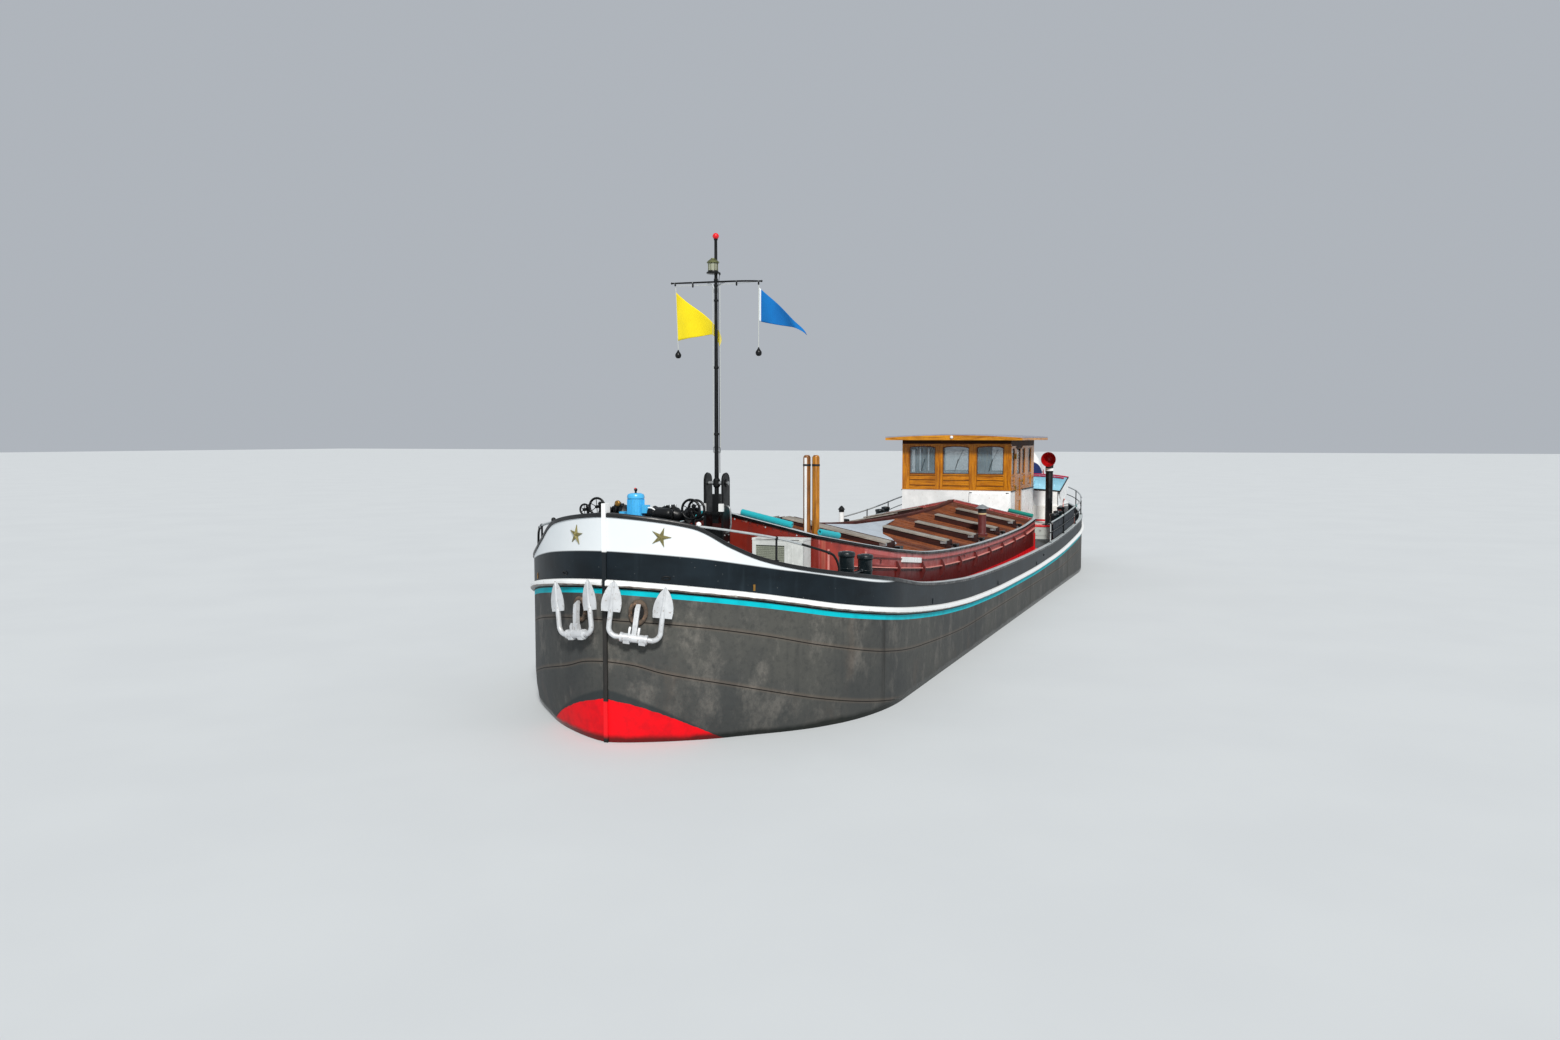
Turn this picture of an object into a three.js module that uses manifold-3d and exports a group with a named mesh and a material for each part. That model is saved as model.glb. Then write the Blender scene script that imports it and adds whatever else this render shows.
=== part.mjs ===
// A steel river motor barge with a gabled cargo hatch, a wooden wheelhouse aft and a lowering mast.
// Millimetres. +X to the bow, +Y to port, +Z up. The origin lies amidships at the waterline.
import * as THREE from "three";
import { mergeVertices } from "three/addons/utils/BufferGeometryUtils.js";
import Module from "manifold-3d";

const wasm = await Module();
wasm.setup();

// Driving dimensions
const LENGTH = 22500;
const HALF_BEAM = 2380;
const BOW_X = LENGTH / 2;
const BOW_LENGTH = 3200;
const BOW_FULLNESS = 1.25;
const STERN_LENGTH = 4600;
const STEM_HALF = 25;
const STEM_PROUD = 25;
const STEM_TOP = 2600;
const SEAT_GAP = 0.4;

const DECK_BELOW_STRAKE = 30;
const PLATE = 30;
const STRAKE_PROUD = 50;
const STRAKE_HEIGHT = 115;
const RAIL_KINK = 370;

const HOLD = { front: 4300, back: 14900, half: 1720, floor: -750 };
const COAMING = {
  front: 3060,
  back: 15130,
  half: 1840,
  wall: 40,
  gable: 390,
  lip: 45,
  lipProud: 25,
  footZ: 500,
};
const ENGINE_ROOM = { front: 15500, back: 17800, half: 1350, floor: -700 };
const CABIN_WELL = { front: 18300, back: 20000, half: 1150, floor: -150 };
const ROOF_PLATE = 45;
const ROOF_BELOW_COAMING = 55;
const BEAM = { height: 150, width: 500, outer: 1650, sunk: 20, outerShare: 0.75 };
const TIMBER = { aft: 3300, sides: [1035, 1160], radius: 48, topZ: 3080 };
const PAD = { radius: 44, lift: 42 };

const MAST = { aft: 2750, pivotZ: 2720, topZ: 5840, radius: 42, yardZ: 5280, yardHalf: 635, pin: 26 };
const CHEEK = { gap: 110, thick: 28, depth: 190, topZ: 2850, footZ: 900, footHalf: 220 };

const WHEELHOUSE = { front: 15240, back: 17990, half: 1270, wall: 50, floorZ: 1180, woodZ: 2110, topZ: 3250 };
const WINDOW = { sillZ: 2470, headZ: 3070, width: 620, spacing: 790, arch: 45 };
const DOOR = { front: 15720, width: 760, light: 400, bottomZ: 1230, topZ: 3060, thick: 45, gap: 6 };
const HINGE = { ahead: 3, out: 14.5, heights: [1420, 2150, 2880] };
const WHEELHOUSE_ROOF = { front: 14900, back: 18110, half: 1580, edge: 80, camber: 60 };

const CABIN = { front: 17990.4, topZ: 1640, wall: 40 };
const PASSAGE = { half: 300, topZ: 1590 };
const TENDER = {
  length: 3300,
  half: 700,
  depth: 430,
  wall: 28,
  aft: 19150,
  side: 200,
  keelZ: 1765,
  heel: 14,
};

const PROP = { aft: 20830, z: -620, radius: 390, hub: 75 };
const SOLE_TOP = -1075;
const TUBE_END = 20640;
const RUDDER = { stock: 21420, back: 22080, topZ: -30, bottomZ: -1010, thick: 70 };

// Ground tackle and deck gear
const ANCHOR = {
  y: 360,
  aft: 75,
  topZ: 1750,
  crownZ: 1165,
  ringZ: 1430,
  half: 280,
  out: 97,
  arm: 28,
  bend: 95,
  turn: 19,
  lean: 7,
};
const HAWSE = { radius: 100, bar: 26, wide: 0.85, tall: 1.15 };
const BOLLARD = { radius: 92, rim: 105, footZ: 300, footHalf: 110 };
const WINDLASS = {
  aft: 880,
  z: 2430,
  frameY: 330,
  shaft: 30,
  shaftHalf: 600,
  footZ: 1300,
  baseHalf: 800,
  motorY: 5,
  motorRadius: 98,
};
const BRAKE_WHEEL = { aft: 650, rim: 11, postDepth: 45 };
const HAND_RAIL = {
  inset: 30,
  radius: 14,
  sunkStart: [300, 345],
  port: [
    [400, 2346],
    [690, 2277],
    [1005, 2197],
    [1260, 2116],
    [1610, 1995],
    [1700, 1930],
    [1750, 1830],
  ],
  starboard: [
    [400, 2346],
    [690, 2277],
    [780, 2244],
    [850, 2190],
    [880, 2100],
  ],
  posts: { port: 1000, starboard: 690 },
};
const STERN_RAIL = { lift: 420, inset: 30, posts: [14150, 15900, 17600, 19200, 20500, 21500] };
const COOLER = { front: 2750, back: 3020, inner: 500, outer: 1200, lowZ: 1420, topZ: 2030 };
const HELM = { aft: 15900, z: 2060, radius: 330 };
const COWL = { aft: 17300, y: 1770, footZ: 1215, radius: 85, splitZ: 2480, mouthZ: 2790, mouthRadius: 168 };
const STAFF = { footAft: 22250, topAft: 22560, footZ: 1380, topZ: 3300, radius: 20 };
const ENSIGN = { hoistLowZ: 2480, hoistHighZ: 3180, fly: 1000 };
const YARD_FOOT = MAST.yardZ - 17 - SEAT_GAP;

// Brake wheels on the windlass: y, height of the middle, radius
const BRAKE_WHEELS = [
  [705, 2515, 108],
  [-495, 2518, 98],
  [-660, 2482, 60],
];

// A fluke's outline: distance to the side of its arm, drop below its tip
const FLUKE = [
  [-102, 333],
  [102, 333],
  [110, 262],
  [97, 160],
  [57, 62],
  [0, 0],
  [-57, 62],
  [-97, 160],
  [-110, 262],
];

// Distance aft of each raised transverse beam on the hatch, and where it starts beside the centreline
const BEAM_PLACES = [
  [5000, 80],
  [8300, 550],
  [10250, 550],
  [12100, 430],
  [13800, 430],
];

// The wheelhouse's side lights: distance aft of the middle, width
const SIDE_LIGHTS = [
  [15480, 300],
  [16660, 270],
  [17420, 320],
];

// Half of the aft cabin's outline: distance aft, y
const CABIN_PLAN = [
  [CABIN.front, 1880],
  [19400, 1900],
  [20100, 1750],
  [20700, 1450],
  [21050, 1000],
  [21160, 450],
];

// Half of the coaming's outline: distance aft, y
const COAMING_PLAN = [
  [COAMING.front, 0],
  [COAMING.front, 1250],
  [COAMING.front + 130, 1330],
  [COAMING.front + 980, 1610],
  [4700, 1790],
  [5400, COAMING.half],
  [6500, COAMING.half],
  [8400, COAMING.half],
  [10000, COAMING.half],
  [11600, COAMING.half],
  [13300, COAMING.half],
  [COAMING.back, COAMING.half],
  [COAMING.back, 0],
];

// Top of the coaming at its side, by distance aft
const COAMING_TOP = [
  [3000, 1950],
  [4000, 1830],
  [5000, 1720],
  [6500, 1570],
  [8400, 1470],
  [10000, 1425],
  [11600, 1410],
  [13600, 1430],
  [15200, 1525],
];
// Sheer lines: distance aft of the stem, top of the rubbing strake, top of the bulwark's rail
const SHEER = [
  [0, 1780, 2500],
  [340, 1708, 2377],
  [400, 1695, 2338],
  [590, 1655, 2165],
  [850, 1598, 2005],
  [1190, 1520, 1870],
  [1740, 1400, 1745],
  [2830, 1228, 1572],
  [4060, 1075, 1402],
  [5550, 930, 1262],
  [7070, 835, 1192],
  [9270, 770, 1142],
  [12000, 752, 1095],
  [14000, 780, 1102],
  [15450, 825, 1140],
  [17060, 925, 1208],
  [18200, 1020, 1292],
  [20000, 1185, 1440],
  [21500, 1330, 1575],
  [22500, 1420, 1660],
];
const STRAKE_Z = 1;
const RAIL_Z = 2;

// Hull sections: distance aft, keel height, top of the bilge curve, flat floor as a share of the
// half-breadth, and the exponent that makes the bilge curve round (0.5) or lean (higher)
const SECTIONS = [
  [0, -350, 700, 0.02, 0.75],
  [700, -950, 700, 0.05, 0.75],
  [1500, -1100, 300, 0.35, 0.65],
  [3000, -1100, -400, 0.7, 0.5],
  [4500, -1100, -750, 0.85, 0.5],
  [17000, -1100, -750, 0.85, 0.5],
  [18500, -1040, -450, 0.6, 0.55],
  [19500, -800, -150, 0.25, 0.6],
  [20300, -430, 80, 0.08, 0.65],
  [21000, -130, 250, 0.05, 0.65],
  [21800, 90, 420, 0.05, 0.6],
  [22500, 350, 600, 0.1, 0.5],
];

// Plain solids
function bare(geometry) {
  const flat = geometry.clone();
  for (const name of Object.keys(flat.attributes)) {
    if (name !== "position") flat.deleteAttribute(name);
  }
  return mergeVertices(flat, 1e-3);
}

function manifoldOf(geometry) {
  const merged = bare(geometry);
  return new wasm.Manifold(
    new wasm.Mesh({
      numProp: 3,
      vertProperties: merged.attributes.position.array,
      triVerts: new Uint32Array(merged.index.array),
    }),
  );
}

function geometryOf(body) {
  const mesh = body.getMesh();
  const geometry = new THREE.BufferGeometry();
  geometry.setAttribute("position", new THREE.BufferAttribute(mesh.vertProperties, 3));
  geometry.setIndex(new THREE.BufferAttribute(mesh.triVerts, 1));
  return geometry;
}

function join(...pieces) {
  return geometryOf(pieces.map(manifoldOf).reduce((sum, piece) => sum.add(piece)));
}

function cut(whole, ...pieces) {
  return geometryOf(pieces.map(manifoldOf).reduce((rest, piece) => rest.subtract(piece), manifoldOf(whole)));
}

function box(x0, x1, y0, y1, z0, z1) {
  const geometry = new THREE.BoxGeometry(Math.abs(x1 - x0), Math.abs(y1 - y0), Math.abs(z1 - z0));
  return geometry.translate((x0 + x1) / 2, (y0 + y1) / 2, (z0 + z1) / 2);
}

function rod(from, to, radius, sides = 10, endRadius = radius) {
  const start = new THREE.Vector3(...from);
  const end = new THREE.Vector3(...to);
  const run = end.clone().sub(start);
  const geometry = new THREE.CylinderGeometry(endRadius, radius, run.length(), sides);
  const turn = new THREE.Quaternion().setFromUnitVectors(new THREE.Vector3(0, 1, 0), run.clone().normalize());
  const middle = start.add(end).multiplyScalar(0.5);
  return geometry.applyQuaternion(turn).translate(middle.x, middle.y, middle.z);
}

function ball(x, y, z, radius, around = 10) {
  return new THREE.SphereGeometry(radius, around, Math.round(around * 0.7)).translate(x, y, z);
}

// A profile of [radius, height] turned about a vertical axis through x, y
function turned(x, y, profile, sides = 14) {
  const points = profile.map(([radius, height]) => new THREE.Vector2(radius, height));
  return new THREE.LatheGeometry(points, sides).rotateX(Math.PI / 2).translate(x, y, 0);
}

// A ring about an axis that points along +X
function ringX(x, y, z, radius, bar, around = 20) {
  return new THREE.TorusGeometry(radius, bar, 6, around).rotateY(Math.PI / 2).translate(x, y, z);
}

// A ring about an axis that points along +Y
function ringY(x, y, z, radius, bar, around = 18) {
  return new THREE.TorusGeometry(radius, bar, 6, around).rotateX(Math.PI / 2).translate(x, y, z);
}

// A flat outline of [x, z] points given a width from y0 to y1
function plateXZ(points, y0, y1) {
  const shape = new THREE.Shape(points.map(([x, z]) => new THREE.Vector2(x, z)));
  const geometry = new THREE.ExtrudeGeometry(shape, { depth: y1 - y0, bevelEnabled: false });
  return geometry.rotateX(Math.PI / 2).translate(0, y1, 0);
}

// A flat outline of [y, z] points given a thickness from x0 to x1
function plateYZ(points, x0, x1) {
  const shape = new THREE.Shape(points.map(([y, z]) => new THREE.Vector2(y, z)));
  const geometry = new THREE.ExtrudeGeometry(shape, { depth: x1 - x0, bevelEnabled: false });
  return geometry.rotateX(Math.PI / 2).rotateZ(Math.PI / 2).translate(x0, 0, 0);
}

// A round bar along a smooth path
function bar(points, radius, sides = 8) {
  const path = points.map((point) => new THREE.Vector3(...point));
  const shape = new THREE.Shape();
  shape.absarc(0, 0, radius, 0, 2 * Math.PI);
  const curve = new THREE.CatmullRomCurve3(path, false, "centripetal");
  const steps = Math.round(1.5 * (points.length - 1));
  const settings = { steps, extrudePath: curve, bevelEnabled: false, curveSegments: sides / 2 };
  return new THREE.ExtrudeGeometry(shape, settings);
}

function signedArea(loop) {
  return loop.reduce((sum, [u, v], i) => {
    const [nextU, nextV] = loop[(i + 1) % loop.length];
    return sum + (u * nextV - nextU * v) / 2;
  }, 0);
}

// Triangles over a flat loop, all turned the loop's own way
function capOf(loop) {
  const flat = loop.map(([u, v]) => new THREE.Vector2(u, v));
  const sense = Math.sign(signedArea(loop));
  return THREE.ShapeUtils.triangulateShape(flat, []).map((face) => {
    const faceSense = Math.sign(signedArea(face.map((i) => loop[i])));
    return faceSense === sense ? face : [face[0], face[2], face[1]];
  });
}

// A closed body through sections that all have the same number of points.
// A section is { loop: [[u, v], ...], at: (u, v) => [x, y, z] }.
function loft(sections, closed = false) {
  const count = sections[0].loop.length;
  const positions = sections.flatMap(({ loop, at }) => loop.flatMap(([u, v]) => at(u, v)));
  const index = [];
  const spans = closed ? sections.length : sections.length - 1;
  for (let i = 0; i < spans; i++) {
    const here = i * count;
    const next = ((i + 1) % sections.length) * count;
    for (let j = 0; j < count; j++) {
      const k = (j + 1) % count;
      index.push(here + j, here + k, next + k);
      index.push(here + j, next + k, next + j);
    }
  }
  if (!closed) {
    const last = (sections.length - 1) * count;
    for (const [a, b, c] of capOf(sections[0].loop)) index.push(a, c, b);
    for (const [a, b, c] of capOf(sections.at(-1).loop)) index.push(last + a, last + b, last + c);
  }
  const geometry = new THREE.BufferGeometry();
  geometry.setAttribute("position", new THREE.Float32BufferAttribute(positions, 3));
  geometry.setIndex(index);
  return facingOut(geometry);
}

function facingOut(geometry) {
  const spot = geometry.getAttribute("position");
  const index = geometry.index.array;
  const [a, b, c] = [new THREE.Vector3(), new THREE.Vector3(), new THREE.Vector3()];
  let volume = 0;
  for (let i = 0; i < index.length; i += 3) {
    a.fromBufferAttribute(spot, index[i]);
    b.fromBufferAttribute(spot, index[i + 1]);
    c.fromBufferAttribute(spot, index[i + 2]);
    volume += a.dot(b.cross(c)) / 6;
  }
  if (volume < 0) geometry.setIndex([...index].reverse());
  return geometry;
}

// A smooth reading of one column of a table whose first column is the distance aft
function readTable(table, column, aft) {
  const last = table.length - 1;
  const spot = THREE.MathUtils.clamp(aft, table[0][0], table[last][0]);
  const found = table.findIndex((row) => row[0] > spot);
  const i = found < 0 ? last - 1 : found - 1;
  const slope = (k) => (table[k + 1][column] - table[k][column]) / (table[k + 1][0] - table[k][0]);
  const tangent = (k) => {
    if (k === 0) return slope(0);
    if (k === last) return slope(last - 1);
    const before = slope(k - 1);
    const after = slope(k);
    return before * after <= 0 ? 0 : (2 * before * after) / (before + after);
  };
  const width = table[i + 1][0] - table[i][0];
  const t = (spot - table[i][0]) / width;
  const start = (1 + 2 * t) * (1 - t) ** 2 * table[i][column] + t * (1 - t) ** 2 * width * tangent(i);
  const end = t * t * (3 - 2 * t) * table[i + 1][column] + t * t * (t - 1) * width * tangent(i + 1);
  return start + end;
}

const strakeTop = (aft) => readTable(SHEER, STRAKE_Z, aft);
const railTop = (aft) => readTable(SHEER, RAIL_Z, aft);
const deckAt = (aft) => strakeTop(aft) - DECK_BELOW_STRAKE;
const xOf = (aft) => BOW_X - aft;

// The deck's half-breadth: a blunt superellipse at the bow and a quarter ellipse at the stern
function halfBreadth(aft) {
  const toBow = Math.max(0, (BOW_LENGTH - aft) / BOW_LENGTH);
  const toStern = Math.max(0, (aft - (LENGTH - STERN_LENGTH)) / STERN_LENGTH);
  const bow = Math.max(0, 1 - toBow ** 2) ** (BOW_FULLNESS / 2);
  const stern = Math.sqrt(Math.max(0, 1 - toStern ** 2));
  return Math.max(STEM_HALF, HALF_BEAM * bow * stern);
}

// Stations that lie closer together where the outline bends
function stationsBetween(first, last) {
  const bow = Array.from({ length: 18 }, (_, i) => BOW_LENGTH * (1 - Math.cos((i * Math.PI) / 36)));
  const sides = [3200, 4300, 5600, 7000, 8600, 10300, 12000, 13700, 15200, 16600];
  const sternAft = (i) => LENGTH - STERN_LENGTH * (1 - Math.sin((i * Math.PI) / 30));
  const stern = Array.from({ length: 16 }, (_, i) => sternAft(i));
  const all = [...bow, RAIL_KINK, ...sides, ...stern, LENGTH];
  return all.filter((aft) => aft > first + 30 && aft < last - 30).concat([first, last]).sort((a, b) => a - b);
}

// The point on the outline and the way inboard from it, for a side of +1 (port) or -1
function edgeAt(aft, side) {
  const step = 4;
  const before = Math.max(0, aft - step);
  const after = Math.min(LENGTH, aft + step);
  const run = new THREE.Vector2(after - before, halfBreadth(after) - halfBreadth(before)).normalize();
  let inward = new THREE.Vector2(run.y, -run.x);
  if (aft <= 0) inward = new THREE.Vector2(1, 0);
  if (aft >= LENGTH) inward = new THREE.Vector2(-1, 0);
  return (inset, z) => [
    xOf(aft + inward.x * inset),
    side * (halfBreadth(aft) + inward.y * inset),
    z,
  ];
}

// A strip that follows the outline. profile(aft) gives its loop of [inset, z].
function alongEdge(stations, side, profile) {
  return loft(stations.map((aft) => ({ loop: profile(aft), at: edgeAt(aft, side) })));
}

// Hull
function hullSection(aft) {
  const [keel, bilge, floor, power] = [1, 2, 3, 4].map((column) => readTable(SECTIONS, column, aft));
  const half = halfBreadth(aft);
  const flat = Math.max(8, half * floor);
  const arc = 7;
  const side = [[flat, keel]];
  for (let i = 1; i <= arc; i++) {
    const rise = 1 - Math.cos((i / arc) * (Math.PI / 2));
    const spread = (1 - (1 - rise) ** 2) ** power;
    side.push([flat + (half - flat) * spread, keel + (bilge - keel) * rise]);
  }
  side.push([half, deckAt(aft)]);
  const other = side.map(([y, z]) => [-y, z]).reverse();
  return { loop: [...side, ...other], at: (y, z) => [xOf(aft), y, z] };
}

const hullBody = loft(stationsBetween(0, LENGTH).map(hullSection));
const deckCutter = hullBody.clone().translate(0, 0, SEAT_GAP);
const onDeck = (geometry) => cut(geometry, deckCutter);

function hull() {
  const rooms = [HOLD, ENGINE_ROOM, CABIN_WELL].map(({ front, back, half, floor }) =>
    box(xOf(front), xOf(back), -half, half, floor, 2000),
  );
  return cut(hullBody, ...rooms);
}

function engine() {
  const low = ENGINE_ROOM.floor + SEAT_GAP;
  return box(xOf(15900), xOf(17400), -340, 340, low, low + 980);
}

function stemPost() {
  const front = xOf(-STEM_PROUD);
  const foot = deckAt(0) + SEAT_GAP;
  const points = [
    [front, -300],
    [front, STEM_TOP],
    [xOf(75), STEM_TOP],
    [xOf(75), foot],
    [xOf(-SEAT_GAP), foot],
    [xOf(-SEAT_GAP), -340],
  ];
  return plateXZ(points, 0.5 - STEM_HALF, STEM_HALF - 0.5);
}

function strakeProfile(aft) {
  const top = strakeTop(aft);
  const bottom = top - STRAKE_HEIGHT;
  return [
    [-SEAT_GAP, top],
    [-0.6 * STRAKE_PROUD, top - 4],
    [-STRAKE_PROUD, top - 30],
    [-STRAKE_PROUD, bottom + 30],
    [-0.6 * STRAKE_PROUD, bottom + 6],
    [-SEAT_GAP, bottom],
  ];
}

function bulwarkProfile(aft) {
  const top = railTop(aft);
  const foot = deckAt(aft) + SEAT_GAP;
  return [
    [0, foot],
    [0, top - 66],
    [-14, top - 56],
    [-14, top - 16],
    [4, top],
    [60, top],
    [74, top - 16],
    [74, top - 56],
    [PLATE, top - 66],
    [PLATE, foot],
  ];
}

function bulwark(first, last, side) {
  return alongEdge(stationsBetween(first, last), side, bulwarkProfile);
}

function sternBulwark() {
  const start = LENGTH - STERN_LENGTH + SEAT_GAP;
  const half = STEM_HALF + 2;
  const topZ = railTop(LENGTH) - 66;
  const end = box(xOf(LENGTH - PLATE - 3), xOf(LENGTH), -half, half, deckAt(LENGTH) + 1, topZ);
  return join(bulwark(start, LENGTH, 1), bulwark(start, LENGTH, -1), end);
}

// Underwater gear
function skeg() {
  const points = [
    [xOf(17600), -1100 - SEAT_GAP],
    [xOf(17600), -1180],
    [xOf(21560), -1180],
    [xOf(21560), SOLE_TOP],
    [xOf(20640), SOLE_TOP],
    [xOf(20560), -720],
    [xOf(20560), -530],
    [xOf(20440), 0],
    [xOf(19000), 0],
    [xOf(17800), -700],
  ];
  const fin = plateXZ(points, -40, 40);
  const tube = rod([xOf(19700), 0, PROP.z], [xOf(TUBE_END), 0, PROP.z], 85, 14);
  return cut(join(fin, tube), hullBody.clone().translate(0, 0, -SEAT_GAP));
}

function propeller() {
  const x = xOf(PROP.aft);
  const hub = rod([x + 120, 0, PROP.z], [x - 110, 0, PROP.z], PROP.hub, 16, 45);
  const blades = [0, 1, 2, 3].map((i) => {
    const outline = new THREE.Shape();
    outline.moveTo(-45, 50);
    outline.bezierCurveTo(-170, 180, -160, 350, -10, PROP.radius);
    outline.bezierCurveTo(140, 350, 150, 180, 45, 50);
    const blade = new THREE.ExtrudeGeometry(outline, { depth: 18, bevelEnabled: false, curveSegments: 6 });
    blade.translate(0, 0, -9).rotateY(0.6).rotateX(Math.PI / 2).rotateZ(Math.PI / 2);
    return blade.rotateX((i * Math.PI) / 2).translate(x, 0, PROP.z);
  });
  const shaft = rod([x, 0, PROP.z], [xOf(TUBE_END) - SEAT_GAP, 0, PROP.z], 36, 14);
  return join(hub, shaft, ...blades);
}

function rudder() {
  const stockX = xOf(RUDDER.stock);
  const backX = xOf(RUDDER.back);
  const outline = [
    [stockX + 110, RUDDER.bottomZ],
    [stockX + 110, -230],
    [stockX - 40, -190],
    [backX + 60, -120],
    [backX, -200],
    [backX, RUDDER.bottomZ + 90],
    [backX + 90, RUDDER.bottomZ],
  ];
  const blade = plateXZ(outline, -RUDDER.thick / 2, RUDDER.thick / 2);
  const stock = rod([stockX, 0, SOLE_TOP + SEAT_GAP], [stockX, 0, RUDDER.topZ], 48, 16);
  return join(blade, stock);
}

// Hatch
const coamingSide = (aft) => readTable(COAMING_TOP, 1, aft);
const gableAt = (y) => COAMING.gable * (1 - Math.min(1, Math.abs(y) / COAMING.half));
const coamingTop = (aft, y) => coamingSide(aft) + gableAt(y);

// Plan points all the way round, with the way inboard at each corner
function coamingRound(inset) {
  const port = COAMING_PLAN.slice(1, -1);
  const starboard = port.map(([aft, y]) => [aft, -y]).reverse();
  const loop = [COAMING_PLAN[0], ...port, COAMING_PLAN.at(-1), ...starboard];
  return loop.map(([aft, y], i) => {
    const [lastAft, lastY] = loop[(i + loop.length - 1) % loop.length];
    const [nextAft, nextY] = loop[(i + 1) % loop.length];
    const into = new THREE.Vector2(aft - lastAft, y - lastY).normalize();
    const out = new THREE.Vector2(nextAft - aft, nextY - y).normalize();
    const bisector = new THREE.Vector2(into.y + out.y, -into.x - out.x).normalize();
    const reach = inset / Math.max(0.5, bisector.dot(new THREE.Vector2(into.y, -into.x)));
    return [aft + bisector.x * reach, y + bisector.y * reach];
  });
}

function hatchCoaming() {
  const outer = coamingRound(0);
  const inner = coamingRound(COAMING.wall);
  const lipOuter = coamingRound(-COAMING.lipProud);
  const sections = outer.map(([aft, y], i) => {
    const top = coamingTop(aft, y);
    const ring = [lipOuter[i], lipOuter[i], outer[i], outer[i], inner[i], inner[i]];
    const { lip, footZ } = COAMING;
    const heights = [top - lip, top, top - lip, footZ, footZ, top];
    const order = [3, 2, 0, 1, 5, 4];
    const loop = order.map((k) => [k, heights[k]]);
    return { loop, at: (k, z) => [xOf(ring[k][0]), ring[k][1], z] };
  });
  return onDeck(loft(sections, true));
}

// A roof slope from the ridge to the inside of the coaming, cut to the coaming's plan
function roofSlope(side) {
  const middle = [3500, 4040, 4700, 5400, 6500, 8400, 10000, 11600, 13300];
  const stations = [COAMING.front + 10, ...middle, COAMING.back - 10];
  const slab = loft(
    stations.map((aft) => {
      const low = coamingSide(aft) - ROOF_BELOW_COAMING;
      const loop = [
        [0.3, low + COAMING.gable],
        [COAMING.half, low],
        [COAMING.half, low - ROOF_PLATE],
        [0.3, low + COAMING.gable - ROOF_PLATE],
      ];
      return { loop, at: (y, z) => [xOf(aft), side * y, z] };
    }),
  );
  const inside = coamingRound(COAMING.wall + SEAT_GAP);
  const well = loft(
    [0, 3000].map((z) => ({ loop: inside.map(([aft, y]) => [xOf(aft), y]), at: (x, y) => [x, y, z] })),
  );
  const beams = BEAM_PLACES.map(([aft, inner]) => hatchBeam(aft, inner, side));
  const slope = geometryOf(manifoldOf(join(slab, ...beams)).intersect(manifoldOf(well)));
  return cut(slope, ...postRods(TIMBER.radius + 6));
}

function hatchBeam(aft, inner, side) {
  const surface = (y) => coamingTop(aft, y) - ROOF_BELOW_COAMING;
  const loop = [
    [inner, surface(inner) - BEAM.sunk],
    [BEAM.outer, surface(BEAM.outer) - BEAM.sunk],
    [BEAM.outer, surface(BEAM.outer) + BEAM.height * BEAM.outerShare],
    [inner, surface(inner) + BEAM.height],
  ];
  const ends = [aft - BEAM.width / 2, aft + BEAM.width / 2];
  return loft(ends.map((end) => ({ loop, at: (y, z) => [xOf(end), side * y, z] })));
}

// Ground tackle
// Placed in the anchor's own frame: x outboard, y across, z up, leant outward, then turned to the hull's side
function placedOnBow(geometry, side) {
  geometry.translate(0, 0, -ANCHOR.ringZ).rotateX(THREE.MathUtils.degToRad(-side * ANCHOR.lean));
  geometry.rotateZ(THREE.MathUtils.degToRad(side * ANCHOR.turn));
  return geometry.translate(xOf(ANCHOR.aft), side * ANCHOR.y, ANCHOR.ringZ);
}

function anchor(side) {
  const { out, half, topZ, crownZ, ringZ, arm, bend } = ANCHOR;
  const bars = bar(
    [
      [out, -half, topZ - 40],
      [out, -half, topZ - 240],
      [out, -half, crownZ + bend],
      [out, -half + 0.3 * bend, crownZ + 0.3 * bend],
      [out, -half + bend, crownZ],
      [out, half - bend, crownZ],
      [out, half - 0.3 * bend, crownZ + 0.3 * bend],
      [out, half, crownZ + bend],
      [out, half, topZ - 240],
      [out, half, topZ - 40],
    ],
    arm,
  );
  const crown = box(out - 55, out + 42, -130, 130, crownZ - 48, crownZ + 42);
  const lugs = [-1, 1].map((hand) => box(out - 45, out + 30, hand * 62, hand * 38, crownZ, crownZ + 115));
  const shank = box(out - 62, out - 5, -26, 26, crownZ + 20, ringZ + 85);
  const head = box(out - 145, out - 50, -26, 26, ringZ - 60, ringZ + 60);
  const flukes = [-half, half].map((y) =>
    plateYZ(FLUKE.map(([across, drop]) => [y + across, topZ - drop]), out - 4, out + 20),
  );
  const whole = placedOnBow(join(bars, crown, shank, head, ...lugs, ...flukes), side);
  return cut(whole, hullBody.clone().translate(SEAT_GAP, 0, 0));
}

function hawseRing(side) {
  const { radius, bar, wide, tall } = HAWSE;
  const ring = new THREE.TorusGeometry(radius, bar, 8, 18).scale(wide, tall, 1);
  ring.rotateX(Math.PI / 2).rotateZ(Math.PI / 2).translate(4, 0, ANCHOR.ringZ);
  return cut(placedOnBow(ring, side), hullBody.clone().translate(SEAT_GAP, 0, 0));
}

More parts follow.
